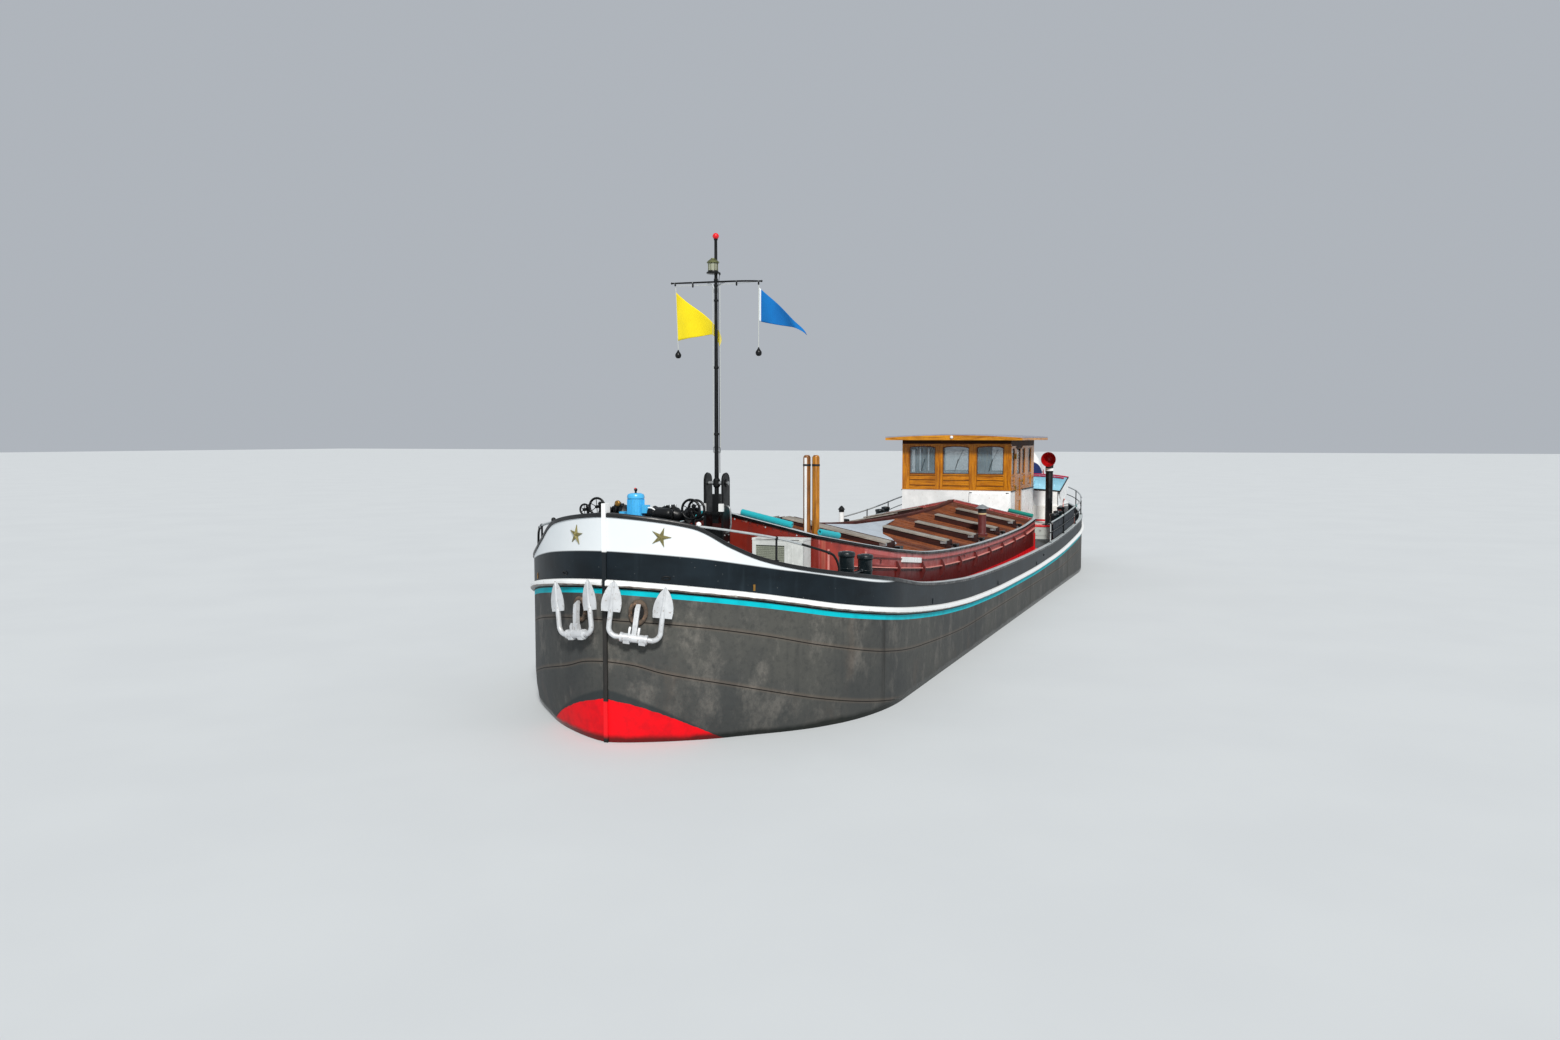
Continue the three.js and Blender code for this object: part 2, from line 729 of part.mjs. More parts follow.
// Deck fittings
function twinBollard(aft, side, y, spread, height) {
  const { radius, rim } = BOLLARD;
  const posts = [-0.5, 0.5].map((share) => {
    const spot = aft + share * spread;
    const topZ = deckAt(spot) + height;
    const profile = [
      [0, BOLLARD.footZ],
      [radius, BOLLARD.footZ],
      [radius, topZ - 60],
      [rim, topZ - 48],
      [rim, topZ - 12],
      [radius, topZ],
      [0, topZ],
    ];
    return turned(xOf(spot), side * y, profile, 16);
  });
  const reach = spread / 2 + 130;
  const ends = [xOf(aft - reach), xOf(aft + reach)];
  const edges = [side * y - BOLLARD.footHalf, side * y + BOLLARD.footHalf];
  const foot = box(...ends, ...edges, BOLLARD.footZ, deckAt(aft) + 60);
  const pinZ = deckAt(aft) + height - 240;
  const pin = rod([xOf(aft - spread / 2), side * y, pinZ], [xOf(aft + spread / 2), side * y, pinZ], 24, 10);
  return onDeck(join(...posts, foot, pin));
}

// A brake's hand wheel that faces forward, on its post from the base plate
function brakeWheel(y, z, radius) {
  const x = xOf(BRAKE_WHEEL.aft);
  const { rim, postDepth } = BRAKE_WHEEL;
  const post = box(x - 70 - postDepth, x - 70, y - 20, y + 20, WINDLASS.footZ, z + 25);
  const spindle = rod([x - 80, y, z], [x + 8, y, z], 13, 10);
  const spokes = [-1, 1].map((lean) =>
    rod([x, y - radius * 0.7, z - lean * radius * 0.7], [x, y + radius * 0.7, z + lean * radius * 0.7], 6, 6),
  );
  return [post, spindle, ringX(x, y, z, radius, rim, 18), ...spokes];
}

function windlassFrame() {
  const x = xOf(WINDLASS.aft);
  const { frameY, shaft, z, footZ, baseHalf, motorY, motorRadius } = WINDLASS;
  const cheeks = [-1, 1].map((side) => {
    const y = side * frameY;
    const outline = [
      [x - 260, footZ],
      [x + 200, footZ],
      [x + 90, z + 90],
      [x - 90, z + 90],
    ];
    const cheek = plateXZ(outline, y - 20, y + 20);
    return cut(cheek, rod([x, y - 60, z], [x, y + 60, z], shaft + 0.8, 24));
  });
  const base = box(x - 280, x + 240, -baseHalf, baseHalf, footZ, deckAt(WINDLASS.aft) + 90);
  const tie = box(x - 190, x - 110, -frameY, frameY, z - 330, z - 250);
  const gearbox = box(x + 130, x + 240, -300, 300, footZ, z - 60);
  const motor = rod([x + 190, motorY, z - 100], [x + 190, motorY, z + 230], motorRadius, 16);
  const wheels = BRAKE_WHEELS.flatMap(([y, height, radius]) => brakeWheel(y, height, radius));
  return onDeck(join(...cheeks, base, tie, gearbox, motor, ...wheels));
}

function windlassShaft() {
  const x = xOf(WINDLASS.aft);
  const { z, shaftHalf, shaft } = WINDLASS;
  const bar = rod([x, -shaftHalf, z], [x, shaftHalf, z], shaft, 24);
  const pieces = [-1, 1].flatMap((side) => {
    const drum = rod([x, side * 400, z], [x, side * 540, z], 75, 16, 55);
    const flange = rod([x, side * 535, z], [x, side * 560, z], 90, 16);
    const gipsy = rod([x, side * 120, z], [x, side * 260, z], 100, 16);
    return [drum, flange, gipsy];
  });
  return join(bar, ...pieces);
}

function tabernacle() {
  const x = xOf(MAST.aft);
  const { footZ, footHalf } = CHEEK;
  const cheeks = [-1, 1].map((side) => {
    const inner = side * CHEEK.gap;
    const outer = side * (CHEEK.gap + CHEEK.thick);
    const half = CHEEK.depth / 2;
    const outline = [
      [x - half, footZ],
      [x + half, footZ],
      [x + half, CHEEK.topZ - 120],
      [x + half * 0.4, CHEEK.topZ],
      [x - half * 0.4, CHEEK.topZ],
      [x - half, CHEEK.topZ - 120],
    ];
    return plateXZ(outline, Math.min(inner, outer), Math.max(inner, outer));
  });
  const foot = box(x - footHalf, x + footHalf, -footHalf - 20, footHalf + 20, footZ, deckAt(MAST.aft) + 110);
  const block = box(x - 80, x + 80, -CHEEK.gap - 10, CHEEK.gap + 10, 1250, 2120);
  const holes = rod([x, -200, MAST.pivotZ], [x, 200, MAST.pivotZ], MAST.pin + 0.8, 24);
  return onDeck(cut(join(...cheeks, foot, block), holes));
}

function mast() {
  const x = xOf(MAST.aft);
  const heel = box(x - 62, x + 62, -62, 62, 2200, MAST.pivotZ + 90);
  const pin = rod([x, -170, MAST.pivotZ], [x, 170, MAST.pivotZ], MAST.pin, 24);
  const tube = rod([x, 0, MAST.pivotZ], [x, 0, MAST.topZ], MAST.radius, 16, 26);
  const truck = ball(x, 0, MAST.topZ + 20, 44);
  const yard = rod([x, -MAST.yardHalf, MAST.yardZ], [x, MAST.yardHalf, MAST.yardZ], 17, 10);
  const lantern = turned(x, 0, [
    [0, 5380],
    [85, 5380],
    [85, 5410],
    [62, 5420],
    [62, 5520],
    [80, 5535],
    [20, 5580],
    [0, 5580],
  ]);
  return join(heel, pin, tube, truck, yard, lantern);
}

// A thin flag of [y, z] corners beside the mast's yard
function pennant(points, x) {
  return plateYZ(points, x - 5, x + 5);
}

// Rails
function handRail(side, name) {
  const at = (aft, z) => edgeAt(aft, side)(HAND_RAIL.inset, z);
  const top = HAND_RAIL[name].map(([aft, z]) => at(aft, z));
  const first = HAND_RAIL.sunkStart.map((aft) => at(aft, railTop(aft) - 40));
  const [endAft] = HAND_RAIL[name].at(-1);
  const path = [...first, ...top, at(endAft + 5, railTop(endAft + 5) - 20)];
  const postAft = HAND_RAIL.posts[name];
  const postTop = readTable(HAND_RAIL[name], 1, postAft);
  const post = rod(at(postAft, railTop(postAft) - 20), at(postAft, postTop), 12, 8);
  const clear = bulwark(0, BOW_LENGTH, side).translate(0, 0, SEAT_GAP);
  return cut(join(bar(path, HAND_RAIL.radius), post), clear);
}

function sternRail() {
  const height = (aft) => railTop(aft) + STERN_RAIL.lift;
  const along = [14150, 15900, 17600, 18600, 19500, 20300, 21000, 21500, 21950, 22250, 22430];
  const port = along.map((aft) => edgeAt(aft, 1)(STERN_RAIL.inset, height(aft)));
  const starboard = along.map((aft) => edgeAt(aft, -1)(STERN_RAIL.inset, height(aft))).reverse();
  const top = bar([...port, ...starboard], 17);
  const lower = [...port, ...starboard].map(([x, y, z]) => [x, y, z - STERN_RAIL.lift / 2]);
  const middle = bar(lower, 11, 6);
  const posts = STERN_RAIL.posts.flatMap((aft) =>
    [-1, 1].map((side) => {
      const at = edgeAt(aft, side);
      return rod(at(STERN_RAIL.inset, railTop(aft) - 30), at(STERN_RAIL.inset, height(aft)), 14, 8);
    }),
  );
  const under = [1, -1].map((side) => bulwark(BOW_LENGTH, LENGTH, side).translate(0, 0, SEAT_GAP));
  return cut(join(top, middle, ...posts), ...under);
}

// Things on and before the hatch
function postRods(radius) {
  const x = xOf(TIMBER.aft);
  return TIMBER.sides.map((y) => rod([x, y, 900], [x, y, TIMBER.topZ], radius, 14));
}

function timberPosts() {
  const x = xOf(TIMBER.aft);
  const clamp = box(x - 25, x + 25, ...TIMBER.sides, 1420, 1500);
  return onDeck(join(...postRods(TIMBER.radius), clamp));
}

function airConditioner() {
  const { front, back, inner, outer, lowZ, topZ } = COOLER;
  const body = box(xOf(front), xOf(back), inner, outer, lowZ, topZ);
  const wall = xOf(COAMING.front - SEAT_GAP);
  const foot = (y) => box(xOf(front + 20), wall, y, y + 60, lowZ - 40, lowZ + 5);
  const feet = [inner + 100, outer - 160].map(foot);
  const pipes = box(xOf(front + 100), xOf(back - 40), outer - 5, outer + 55, lowZ + 80, lowZ + 200);
  return join(body, ...feet, pipes);
}

function roofPipe(aft, y, radius, height, capRadius) {
  const base = coamingTop(aft, y) - ROOF_BELOW_COAMING;
  const pipe = turned(xOf(aft), y, [
    [0, base - 21],
    [radius + 30, base - 21],
    [radius + 30, base + 24],
    [radius, base + 40],
    [radius, base + height - 90],
    [capRadius, base + height - 80],
    [capRadius * 0.92, base + height - 55],
    [12, base + height],
    [0, base + height],
  ]);
  return cut(pipe, roofSlope(Math.sign(y)).translate(0, 0, SEAT_GAP));
}

// A padded tube laid on the coaming's edge from one place, [distance aft, y], to another
function edgePad(from, to) {
  const place = ([aft, y]) => [xOf(aft), y, coamingTop(aft, y) + PAD.lift];
  const tube = rod(place(from), place(to), PAD.radius, 12);
  return cut(tube, hatchCoaming().translate(0, 0, SEAT_GAP));
}

// Wheelhouse
const wheelhouseX = { front: xOf(WHEELHOUSE.front), back: xOf(WHEELHOUSE.back) };

function wheelhouseBase() {
  const { front, back } = wheelhouseX;
  const { half, wall, floorZ, woodZ } = WHEELHOUSE;
  const block = box(back, front, -half, half, 600, woodZ - SEAT_GAP);
  const room = box(back + wall, front - wall, -half + wall, half - wall, floorZ, woodZ + 100);
  const doorways = [-1, 1].map((side) => doorway(side, woodZ + 100));
  return onDeck(cut(block, room, passage(), ...doorways));
}

function doorway(side, topZ) {
  const front = xOf(DOOR.front - DOOR.gap);
  const back = xOf(DOOR.front + DOOR.width + DOOR.gap);
  const inner = side * (WHEELHOUSE.half - WHEELHOUSE.wall - 20);
  return box(front, back, inner, side * (WHEELHOUSE.half + 100), DOOR.bottomZ - DOOR.gap, topZ);
}

// A window outline with an arched head, in the plane of the wall
function windowOutline(centre, width, sill = WINDOW.sillZ) {
  const left = centre - width / 2;
  const right = centre + width / 2;
  return [
    [left, sill],
    [right, sill],
    [right, WINDOW.headZ - WINDOW.arch],
    [centre + width / 4, WINDOW.headZ - WINDOW.arch * 0.2],
    [centre, WINDOW.headZ],
    [centre - width / 4, WINDOW.headZ - WINDOW.arch * 0.2],
    [left, WINDOW.headZ - WINDOW.arch],
  ];
}

function crossWall(x0, x1, centres, width) {
  const { half, woodZ, topZ } = WHEELHOUSE;
  const wall = box(x0, x1, -half, half, woodZ, topZ);
  return cut(wall, ...centres.map((y) => plateYZ(windowOutline(y, width), x0 - 20, x1 + 20)));
}

function sideWall(side) {
  const { half, wall, woodZ, topZ } = WHEELHOUSE;
  const front = wheelhouseX.front - wall - SEAT_GAP;
  const back = wheelhouseX.back + wall + SEAT_GAP;
  const inner = side * (half - wall);
  const y0 = Math.min(inner, side * half);
  const y1 = Math.max(inner, side * half);
  const panel = box(back, front, y0, y1, woodZ, topZ);
  const lights = SIDE_LIGHTS.map(([aft, width]) => windowOutline(xOf(aft), width));
  const windows = lights.map((outline) => plateXZ(outline, y0 - 20, y1 + 20));
  return cut(panel, ...windows, doorway(side, DOOR.topZ + DOOR.gap));
}

function door(side) {
  const front = xOf(DOOR.front);
  const back = xOf(DOOR.front + DOOR.width);
  const y = side * (WHEELHOUSE.half - DOOR.thick / 2);
  const leaf = box(back, front, y - DOOR.thick / 2, y + DOOR.thick / 2, DOOR.bottomZ, DOOR.topZ);
  const middle = (front + back) / 2;
  const light = plateXZ(windowOutline(middle, DOOR.light), y - 60, y + 60);
  const knob = rod([back + 60, y, 2300], [back + 60, y + side * 75, 2300], 22, 12);
  const hinges = HINGE.heights.flatMap((z) => {
    const pinX = front + HINGE.ahead;
    const pinY = side * (WHEELHOUSE.half + HINGE.out);
    const face = side * (WHEELHOUSE.half - 4);
    const strap = box(front - 130, pinX, Math.min(face, pinY), Math.max(face, pinY), z - 30, z + 30);
    const [wallIn, wallOut] = [side * (WHEELHOUSE.half - 60), side * (WHEELHOUSE.half + SEAT_GAP)];
    const clear = box(front - 2, pinX + 20, wallIn, wallOut, z - 60, z + 60);
    return [cut(strap, clear), rod([pinX, pinY, z - 55], [pinX, pinY, z + 55], HINGE.out - SEAT_GAP, 20)];
  });
  return join(cut(leaf, light), knob, ...hinges);
}

function wheelhouseRoof() {
  const { half, edge, camber, front, back } = WHEELHOUSE_ROOF;
  const base = WHEELHOUSE.topZ + SEAT_GAP;
  const crown = Array.from({ length: 13 }, (_, i) => {
    const y = half - (i * half) / 6;
    return [y, base + edge + camber * (1 - (y / half) ** 2)];
  });
  return plateYZ([[-half, base], [half, base], ...crown], xOf(back), xOf(front));
}

function steeringConsole() {
  const front = wheelhouseX.front - WHEELHOUSE.wall - SEAT_GAP;
  const desk = box(xOf(HELM.aft - 160), front, -450, 450, WHEELHOUSE.floorZ + SEAT_GAP, 2200);
  const post = rod([xOf(HELM.aft - 170), 0, HELM.z], [xOf(HELM.aft - 60), 0, HELM.z], 55, 14);
  return join(desk, post);
}

function steeringWheel() {
  const x = xOf(HELM.aft);
  const rim = ringX(x, 0, HELM.z, HELM.radius, 20, 22);
  const hub = rod([x + 60 - SEAT_GAP, 0, HELM.z], [x - 40, 0, HELM.z], 48, 14);
  const spokes = [0, 1, 2, 3].map((i) => {
    const turn = (i * Math.PI) / 4;
    const dy = Math.cos(turn) * (HELM.radius + 90);
    const dz = Math.sin(turn) * (HELM.radius + 90);
    return rod([x, -dy, HELM.z - dz], [x, dy, HELM.z + dz], 13, 8);
  });
  return join(rim, hub, ...spokes);
}

// Aft cabin
function cabinLoop(inset) {
  const port = CABIN_PLAN.map(([aft, y]) => [xOf(aft) + (aft === CABIN.front ? -inset : inset), y - inset]);
  return [...port, ...port.map(([x, y]) => [x, -y]).reverse()];
}

function prism(loop, z0, z1) {
  return loft([z0, z1].map((z) => ({ loop, at: (x, y) => [x, y, z] })));
}

function aftCabin() {
  const shell = prism(cabinLoop(0), 700, CABIN.topZ);
  const room = prism(cabinLoop(CABIN.wall), 500, CABIN.topZ - CABIN.wall);
  return onDeck(cut(shell, room, passage()));
}

// The low way from the wheelhouse down into the aft cabin
function passage() {
  const { half, topZ } = PASSAGE;
  return box(xOf(CABIN.front - 200), xOf(CABIN.front + 200), -half, half, WHEELHOUSE.floorZ, topZ);
}

function sideLocker() {
  return onDeck(box(xOf(17000), xOf(CABIN.front - 1), 1330, 1960, 700, COWL.footZ));
}

// A small rowing boat: sections along its length, cut out by a smaller copy
function tenderShell(inset) {
  const stations = Array.from({ length: 13 }, (_, i) => i / 12);
  const sections = stations.map((t) => {
    const swell = 0.82 + 0.18 * Math.sin(Math.PI * Math.min(1, t + 0.25));
    const share = Math.max(0.12, (1 - t ** 3.2) ** 0.75 * swell);
    const half = TENDER.half * share - inset;
    const keel = inset + 150 * t ** 5;
    const droop = 60 * Math.max(0, 1 - 4 * t) ** 2;
    const top = TENDER.depth + 70 * t ** 2 - droop + (inset > 0 ? 60 : 0);
    const x = -TENDER.length / 2 + inset + t * (TENDER.length - 2.6 * inset);
    const side = [0.35, 0.75, 0.93, 1].map((spread, i) => [
      Math.max(4, half * spread),
      keel + [0, 0.16, 0.45, 1][i] * (top - keel),
    ]);
    const loop = [...side, ...side.map(([y, z]) => [-y, z]).reverse()];
    return { loop, at: (y, z) => [x, y, z] };
  });
  return loft(sections);
}

function tender() {
  const shell = cut(tenderShell(0), tenderShell(TENDER.wall));
  const within = manifoldOf(tenderShell(TENDER.wall / 2));
  const thwarts = [-700, 250].map((x) => {
    const board = box(x - 110, x + 110, -TENDER.half, TENDER.half, 270, 300);
    return geometryOf(manifoldOf(board).intersect(within));
  });
  return stowed(join(shell, ...thwarts));
}

// From the tender's own frame to its place across the cabin roof: transom to port, heeled to the bow
function stowed(geometry) {
  geometry.rotateX(THREE.MathUtils.degToRad(-TENDER.heel)).rotateZ(-Math.PI / 2);
  return geometry.translate(xOf(TENDER.aft), TENDER.side, TENDER.keelZ);
}

function tenderChocks() {
  const low = CABIN.topZ + SEAT_GAP;
  const beams = [-600, 600].map((y) => box(xOf(18400), xOf(19700), y - 40, y + 40, low, low + 330));
  const tie = box(xOf(19000), xOf(19080), -600, 600, low, low + 60);
  return cut(join(...beams, tie), stowed(tenderShell(0)).translate(0, 0, -SEAT_GAP));
}

function cowlTube() {
  const x = xOf(COWL.aft);
  return turned(x, COWL.y, [
    [0, COWL.footZ + SEAT_GAP],
    [150, COWL.footZ + SEAT_GAP],
    [150, COWL.footZ + 20],
    [COWL.radius, COWL.footZ + 35],
    [COWL.radius, COWL.splitZ],
    [0, COWL.splitZ],
  ]);
}

function cowlHead() {
  const x = xOf(COWL.aft);
  const collar = rod([x, COWL.y, COWL.splitZ + SEAT_GAP], [x, COWL.y, COWL.mouthZ - 60], COWL.radius + 8, 18);
  const elbow = ball(x, COWL.y, COWL.mouthZ - 20, 150);
  const mouth = rod([x - 20, COWL.y, COWL.mouthZ], [x + 165, COWL.y, COWL.mouthZ], 140, 20, COWL.mouthRadius);
  const bore = rod([x + 10, COWL.y, COWL.mouthZ], [x + 200, COWL.y, COWL.mouthZ], 112, 20, 150);
  return cut(join(collar, elbow, mouth), bore);
}

function ensignStaff() {
  const { footAft, topAft, footZ, topZ, radius } = STAFF;
  const socket = rod([xOf(footAft), 0, footZ - 80], [xOf(footAft), 0, footZ + 40], 45);
  const staff = rod([xOf(footAft), 0, footZ], [xOf(topAft), 0, topZ], radius, 10);
  return onDeck(join(socket, staff, ball(xOf(topAft), 0, topZ, 32)));
}

function ensign() {
  const { footAft, topAft, footZ, topZ } = STAFF;
  const staffX = (z) => xOf(footAft + ((topAft - footAft) * (z - footZ)) / (topZ - footZ));
  const low = ENSIGN.hoistLowZ;
  const high = ENSIGN.hoistHighZ;
  const flyX = staffX(low);
  const near = [
    [20.5, low, staffX(low)],
    [20.5, high, staffX(high)],
    [ENSIGN.fly, high - 190, flyX],
    [ENSIGN.fly, low - 190, flyX],
  ];
  const loop = near.map(([y, z]) => [y, z]);
  const xAt = new Map(near.map(([y, z, x]) => [y * 1e5 + z, x]));
  return loft([-5, 5].map((dx) => ({ loop, at: (y, z) => [xAt.get(y * 1e5 + z) + dx, y, z] })));
}

// Paints and materials: colour, roughness, metalness
const PAINT = {
  hullGrey: [0x62625e, 0.7, 0.2],
  slate: [0x2c343b, 0.5, 0.1],
  white: [0xe9ebea, 0.45, 0],
  black: [0x15171a, 0.45, 0.2],
  oxide: [0x7a2a24, 0.6, 0],
  roof: [0x96614a, 0.7, 0],
  cyan: [0x14a9b5, 0.6, 0],
  blue: [0x2a9be0, 0.45, 0],
  red: [0xd8102a, 0.5, 0],
  varnish: [0xc07a14, 0.3, 0],
  timber: [0xa9783a, 0.7, 0],
  galvanised: [0xc3c6c8, 0.4, 0.7],
  bronze: [0x9b7436, 0.35, 0.9],
  rust: [0x6b4a38, 0.85, 0.2],
  yellow: [0xf2cf12, 0.8, 0],
  pale: [0xdfe4e6, 0.6, 0],
};

const barge = new THREE.Group();

function add(name, geometry, paint) {
  const [color, roughness, metalness] = PAINT[paint];
  const mesh = new THREE.Mesh(geometry, new THREE.MeshStandardMaterial({ color, roughness, metalness }));
  mesh.name = name;
  barge.add(mesh);
}

const SIDES = [
  ["port", 1],
  ["starboard", -1],
];

add("hull", hull(), "hullGrey");
add("engine", engine(), "galvanised");
add("stem_post", stemPost(), "slate");
add("skeg", skeg(), "slate");
add("propeller", propeller(), "bronze");
add("rudder", rudder(), "slate");
for (const [name, side] of SIDES) {
  add(`rubbing_strake_${name}`, alongEdge(stationsBetween(0, LENGTH - 60), side, strakeProfile), "white");
  add(`bulwark_bow_${name}`, bulwark(0, BOW_LENGTH, side), "white");
  add(`bulwark_side_${name}`, bulwark(BOW_LENGTH + SEAT_GAP, LENGTH - STERN_LENGTH, side), "slate");
  add(`anchor_${name}`, anchor(side), "galvanised");
  add(`hawse_ring_${name}`, hawseRing(side), "rust");
  add(`bollards_fore_${name}`, twinBollard(2760, side, 1900, 700, 675), "black");
  add(`bollards_aft_${name}`, twinBollard(16350, side, 2100, 490, 740), "black");
  add(`hand_rail_${name}`, handRail(side, name), "black");
  add(`hatch_roof_${name}`, roofSlope(side), "roof");
  add(`wheelhouse_side_${name}`, sideWall(side), "varnish");
  add(`wheelhouse_door_${name}`, door(side), "varnish");
}
add("bulwark_stern", sternBulwark(), "slate");
add("hatch_coaming", hatchCoaming(), "oxide");
add("windlass_frame", windlassFrame(), "black");
add("windlass_shaft", windlassShaft(), "black");
add("mast_tabernacle", tabernacle(), "black");
add("mast", mast(), "black");
add("pennant_yellow", pennant([[-545, YARD_FOOT], [-575, 4600], [-60, 4620]], xOf(MAST.aft)), "yellow");
add("pennant_blue", pennant([[612, YARD_FOOT], [1210, 4600], [614, 4750]], xOf(MAST.aft)), "blue");
add("timber_posts", timberPosts(), "timber");
add("air_conditioner", airConditioner(), "pale");
add("stove_pipe", roofPipe(11400, 1500, 62, 560, 95), "rust");
add("vent_pipe", roofPipe(11000, -1250, 50, 470, 70), "white");
const padAft = COAMING.front + 20;
add("edge_pad_inner", edgePad([padAft, 200], [padAft, 920]), "cyan");
add("edge_pad_outer", edgePad([3150, 1270], [3500, 1405]), "cyan");
add("edge_pad_starboard", edgePad([padAft, -800], [padAft, -200]), "cyan");
add("edge_pad_aft", edgePad([COAMING.back - 20, 1250], [COAMING.back - 20, 1800]), "cyan");
add("wheelhouse_base", wheelhouseBase(), "white");
const frontInside = wheelhouseX.front - WHEELHOUSE.wall;
const frontLights = [-WINDOW.spacing, 0, WINDOW.spacing];
add("wheelhouse_front", crossWall(frontInside, wheelhouseX.front, frontLights, WINDOW.width), "varnish");
const backInside = wheelhouseX.back + WHEELHOUSE.wall;
add("wheelhouse_back", crossWall(wheelhouseX.back, backInside, [-600, 600], 760), "varnish");
add("wheelhouse_roof", wheelhouseRoof(), "pale");
add("steering_console", steeringConsole(), "varnish");
add("steering_wheel", steeringWheel(), "varnish");
add("aft_cabin", aftCabin(), "white");
add("side_locker", sideLocker(), "pale");
add("tender", tender(), "white");
add("tender_chocks", tenderChocks(), "timber");
add("cowl_tube", cowlTube(), "black");
add("cowl_head", cowlHead(), "black");
add("stern_rail", sternRail(), "black");
add("ensign_staff", ensignStaff(), "varnish");
add("ensign", ensign(), "red");

export default barge;
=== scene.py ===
"""A river barge afloat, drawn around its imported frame.

Metres: +X to the bow, +Y to port, +Z up, the origin amidships at the waterline.
A place along the boat is given as 'aft', the distance behind the stem. A side is +1 to port, -1 to starboard.
"""
import math

import bmesh
import bpy
from mathutils import Matrix, Vector


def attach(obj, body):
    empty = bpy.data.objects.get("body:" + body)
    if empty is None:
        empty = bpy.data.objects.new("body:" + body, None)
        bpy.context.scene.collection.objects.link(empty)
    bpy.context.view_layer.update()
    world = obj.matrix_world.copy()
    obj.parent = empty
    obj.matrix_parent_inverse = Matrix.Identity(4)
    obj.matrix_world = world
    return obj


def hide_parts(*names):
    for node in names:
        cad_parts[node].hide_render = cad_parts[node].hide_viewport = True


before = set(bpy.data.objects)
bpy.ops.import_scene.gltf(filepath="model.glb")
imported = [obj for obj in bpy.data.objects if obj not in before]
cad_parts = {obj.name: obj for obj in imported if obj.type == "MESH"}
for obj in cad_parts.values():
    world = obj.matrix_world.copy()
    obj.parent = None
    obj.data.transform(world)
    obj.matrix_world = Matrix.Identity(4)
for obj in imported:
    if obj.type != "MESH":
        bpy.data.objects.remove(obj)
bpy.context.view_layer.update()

# Hull form. Outline and sections are the frame's; the strake's height and the rail follow the photo.
LENGTH = 22.5
BOW_X = LENGTH / 2
HALF_BEAM = 2.38
BOW_LENGTH = 3.2
BOW_POWER = 0.625
STERN_LENGTH = 4.6
STEM_HALF = 0.025
DECK_BELOW_STRAKE = 0.03
PLATE = 0.03
STRAKE_HEIGHT = 0.084
RAIL_KINK = 0.37
STATION_GAP = 0.25
SEAT = 0.0004
SIDES = (("port", 1), ("starboard", -1))

# Distance aft, top of the rubbing strake, top of the bulwark's rail
SHEER = (
    (0, 1.78, 2.5), (0.34, 1.708, 2.377), (0.4, 1.695, 2.338), (0.59, 1.655, 2.165), (0.85, 1.598, 2.005),
    (1.19, 1.52, 1.89), (1.74, 1.4, 1.775), (2.83, 1.228, 1.6), (4.06, 1.075, 1.402), (5.55, 0.93, 1.252),
    (7.07, 0.835, 1.152), (9.27, 0.77, 1.092), (12.0, 0.752, 1.066), (14.0, 0.78, 1.076),
    (15.45, 0.825, 1.122), (17.06, 0.925, 1.208), (18.2, 1.02, 1.292), (20.0, 1.185, 1.44), (21.5, 1.33, 1.575), (22.5, 1.42, 1.66),
)

# Distance aft, keel height, top of the bilge curve, flat floor as a share of the half-breadth, bilge exponent
SECTIONS = (
    (0, -0.35, 0.7, 0.02, 0.75), (0.7, -0.95, 0.7, 0.05, 0.75), (1.5, -1.1, 0.3, 0.35, 0.65),
    (3.0, -1.1, -0.4, 0.7, 0.5), (4.5, -1.1, -0.75, 0.85, 0.5), (17.0, -1.1, -0.75, 0.85, 0.5),
    (18.5, -1.04, -0.45, 0.6, 0.55), (19.5, -0.8, -0.15, 0.25, 0.6), (20.3, -0.43, 0.08, 0.08, 0.65),
    (21.0, -0.13, 0.25, 0.05, 0.65), (21.8, 0.09, 0.42, 0.05, 0.6), (22.5, 0.35, 0.6, 0.1, 0.5),
)

# Rooms below deck: front and back as distances aft, half width, floor
ROOMS = ((4.3, 14.9, 1.72, -0.75), (15.5, 17.8, 1.35, -0.7), (18.3, 20.0, 1.15, -0.15))

# Paint lines on the hull, by distance aft
PANEL_LOW = ((0, 2.09), (0.15, 2.06), (0.39, 2.01), (0.71, 1.93), (1.14, 1.83), (3.0, 1.545), (3.2, 1.6),
             (25, 3))
SEAM_HIGH = ((0, 1.34), (0.23, 1.296), (0.45, 1.244), (0.84, 1.14), (1.47, 0.958), (2.6, 0.72), (4, 0.56),
             (7, 0.42), (15, 0.42), (18, 0.56), (22.5, 0.95))
SEAM_LOW = ((0, 0.885), (0.06, 0.855), (0.17, 0.774), (0.32, 0.709), (0.45, 0.663), (1.47, 0.341),
            (2.2, 0.18),
            (3.2, 0.02), (4, -0.1), (22.5, -0.3))
BUTT_FIRST, BUTT_GAP = 2.6, 4.6
BOOT = {"top": 0.472, "slope": 0.1, "curve": 0.3, "edge": 0.11, "half": 1.06}
CAP_FACES = range(6, 17)


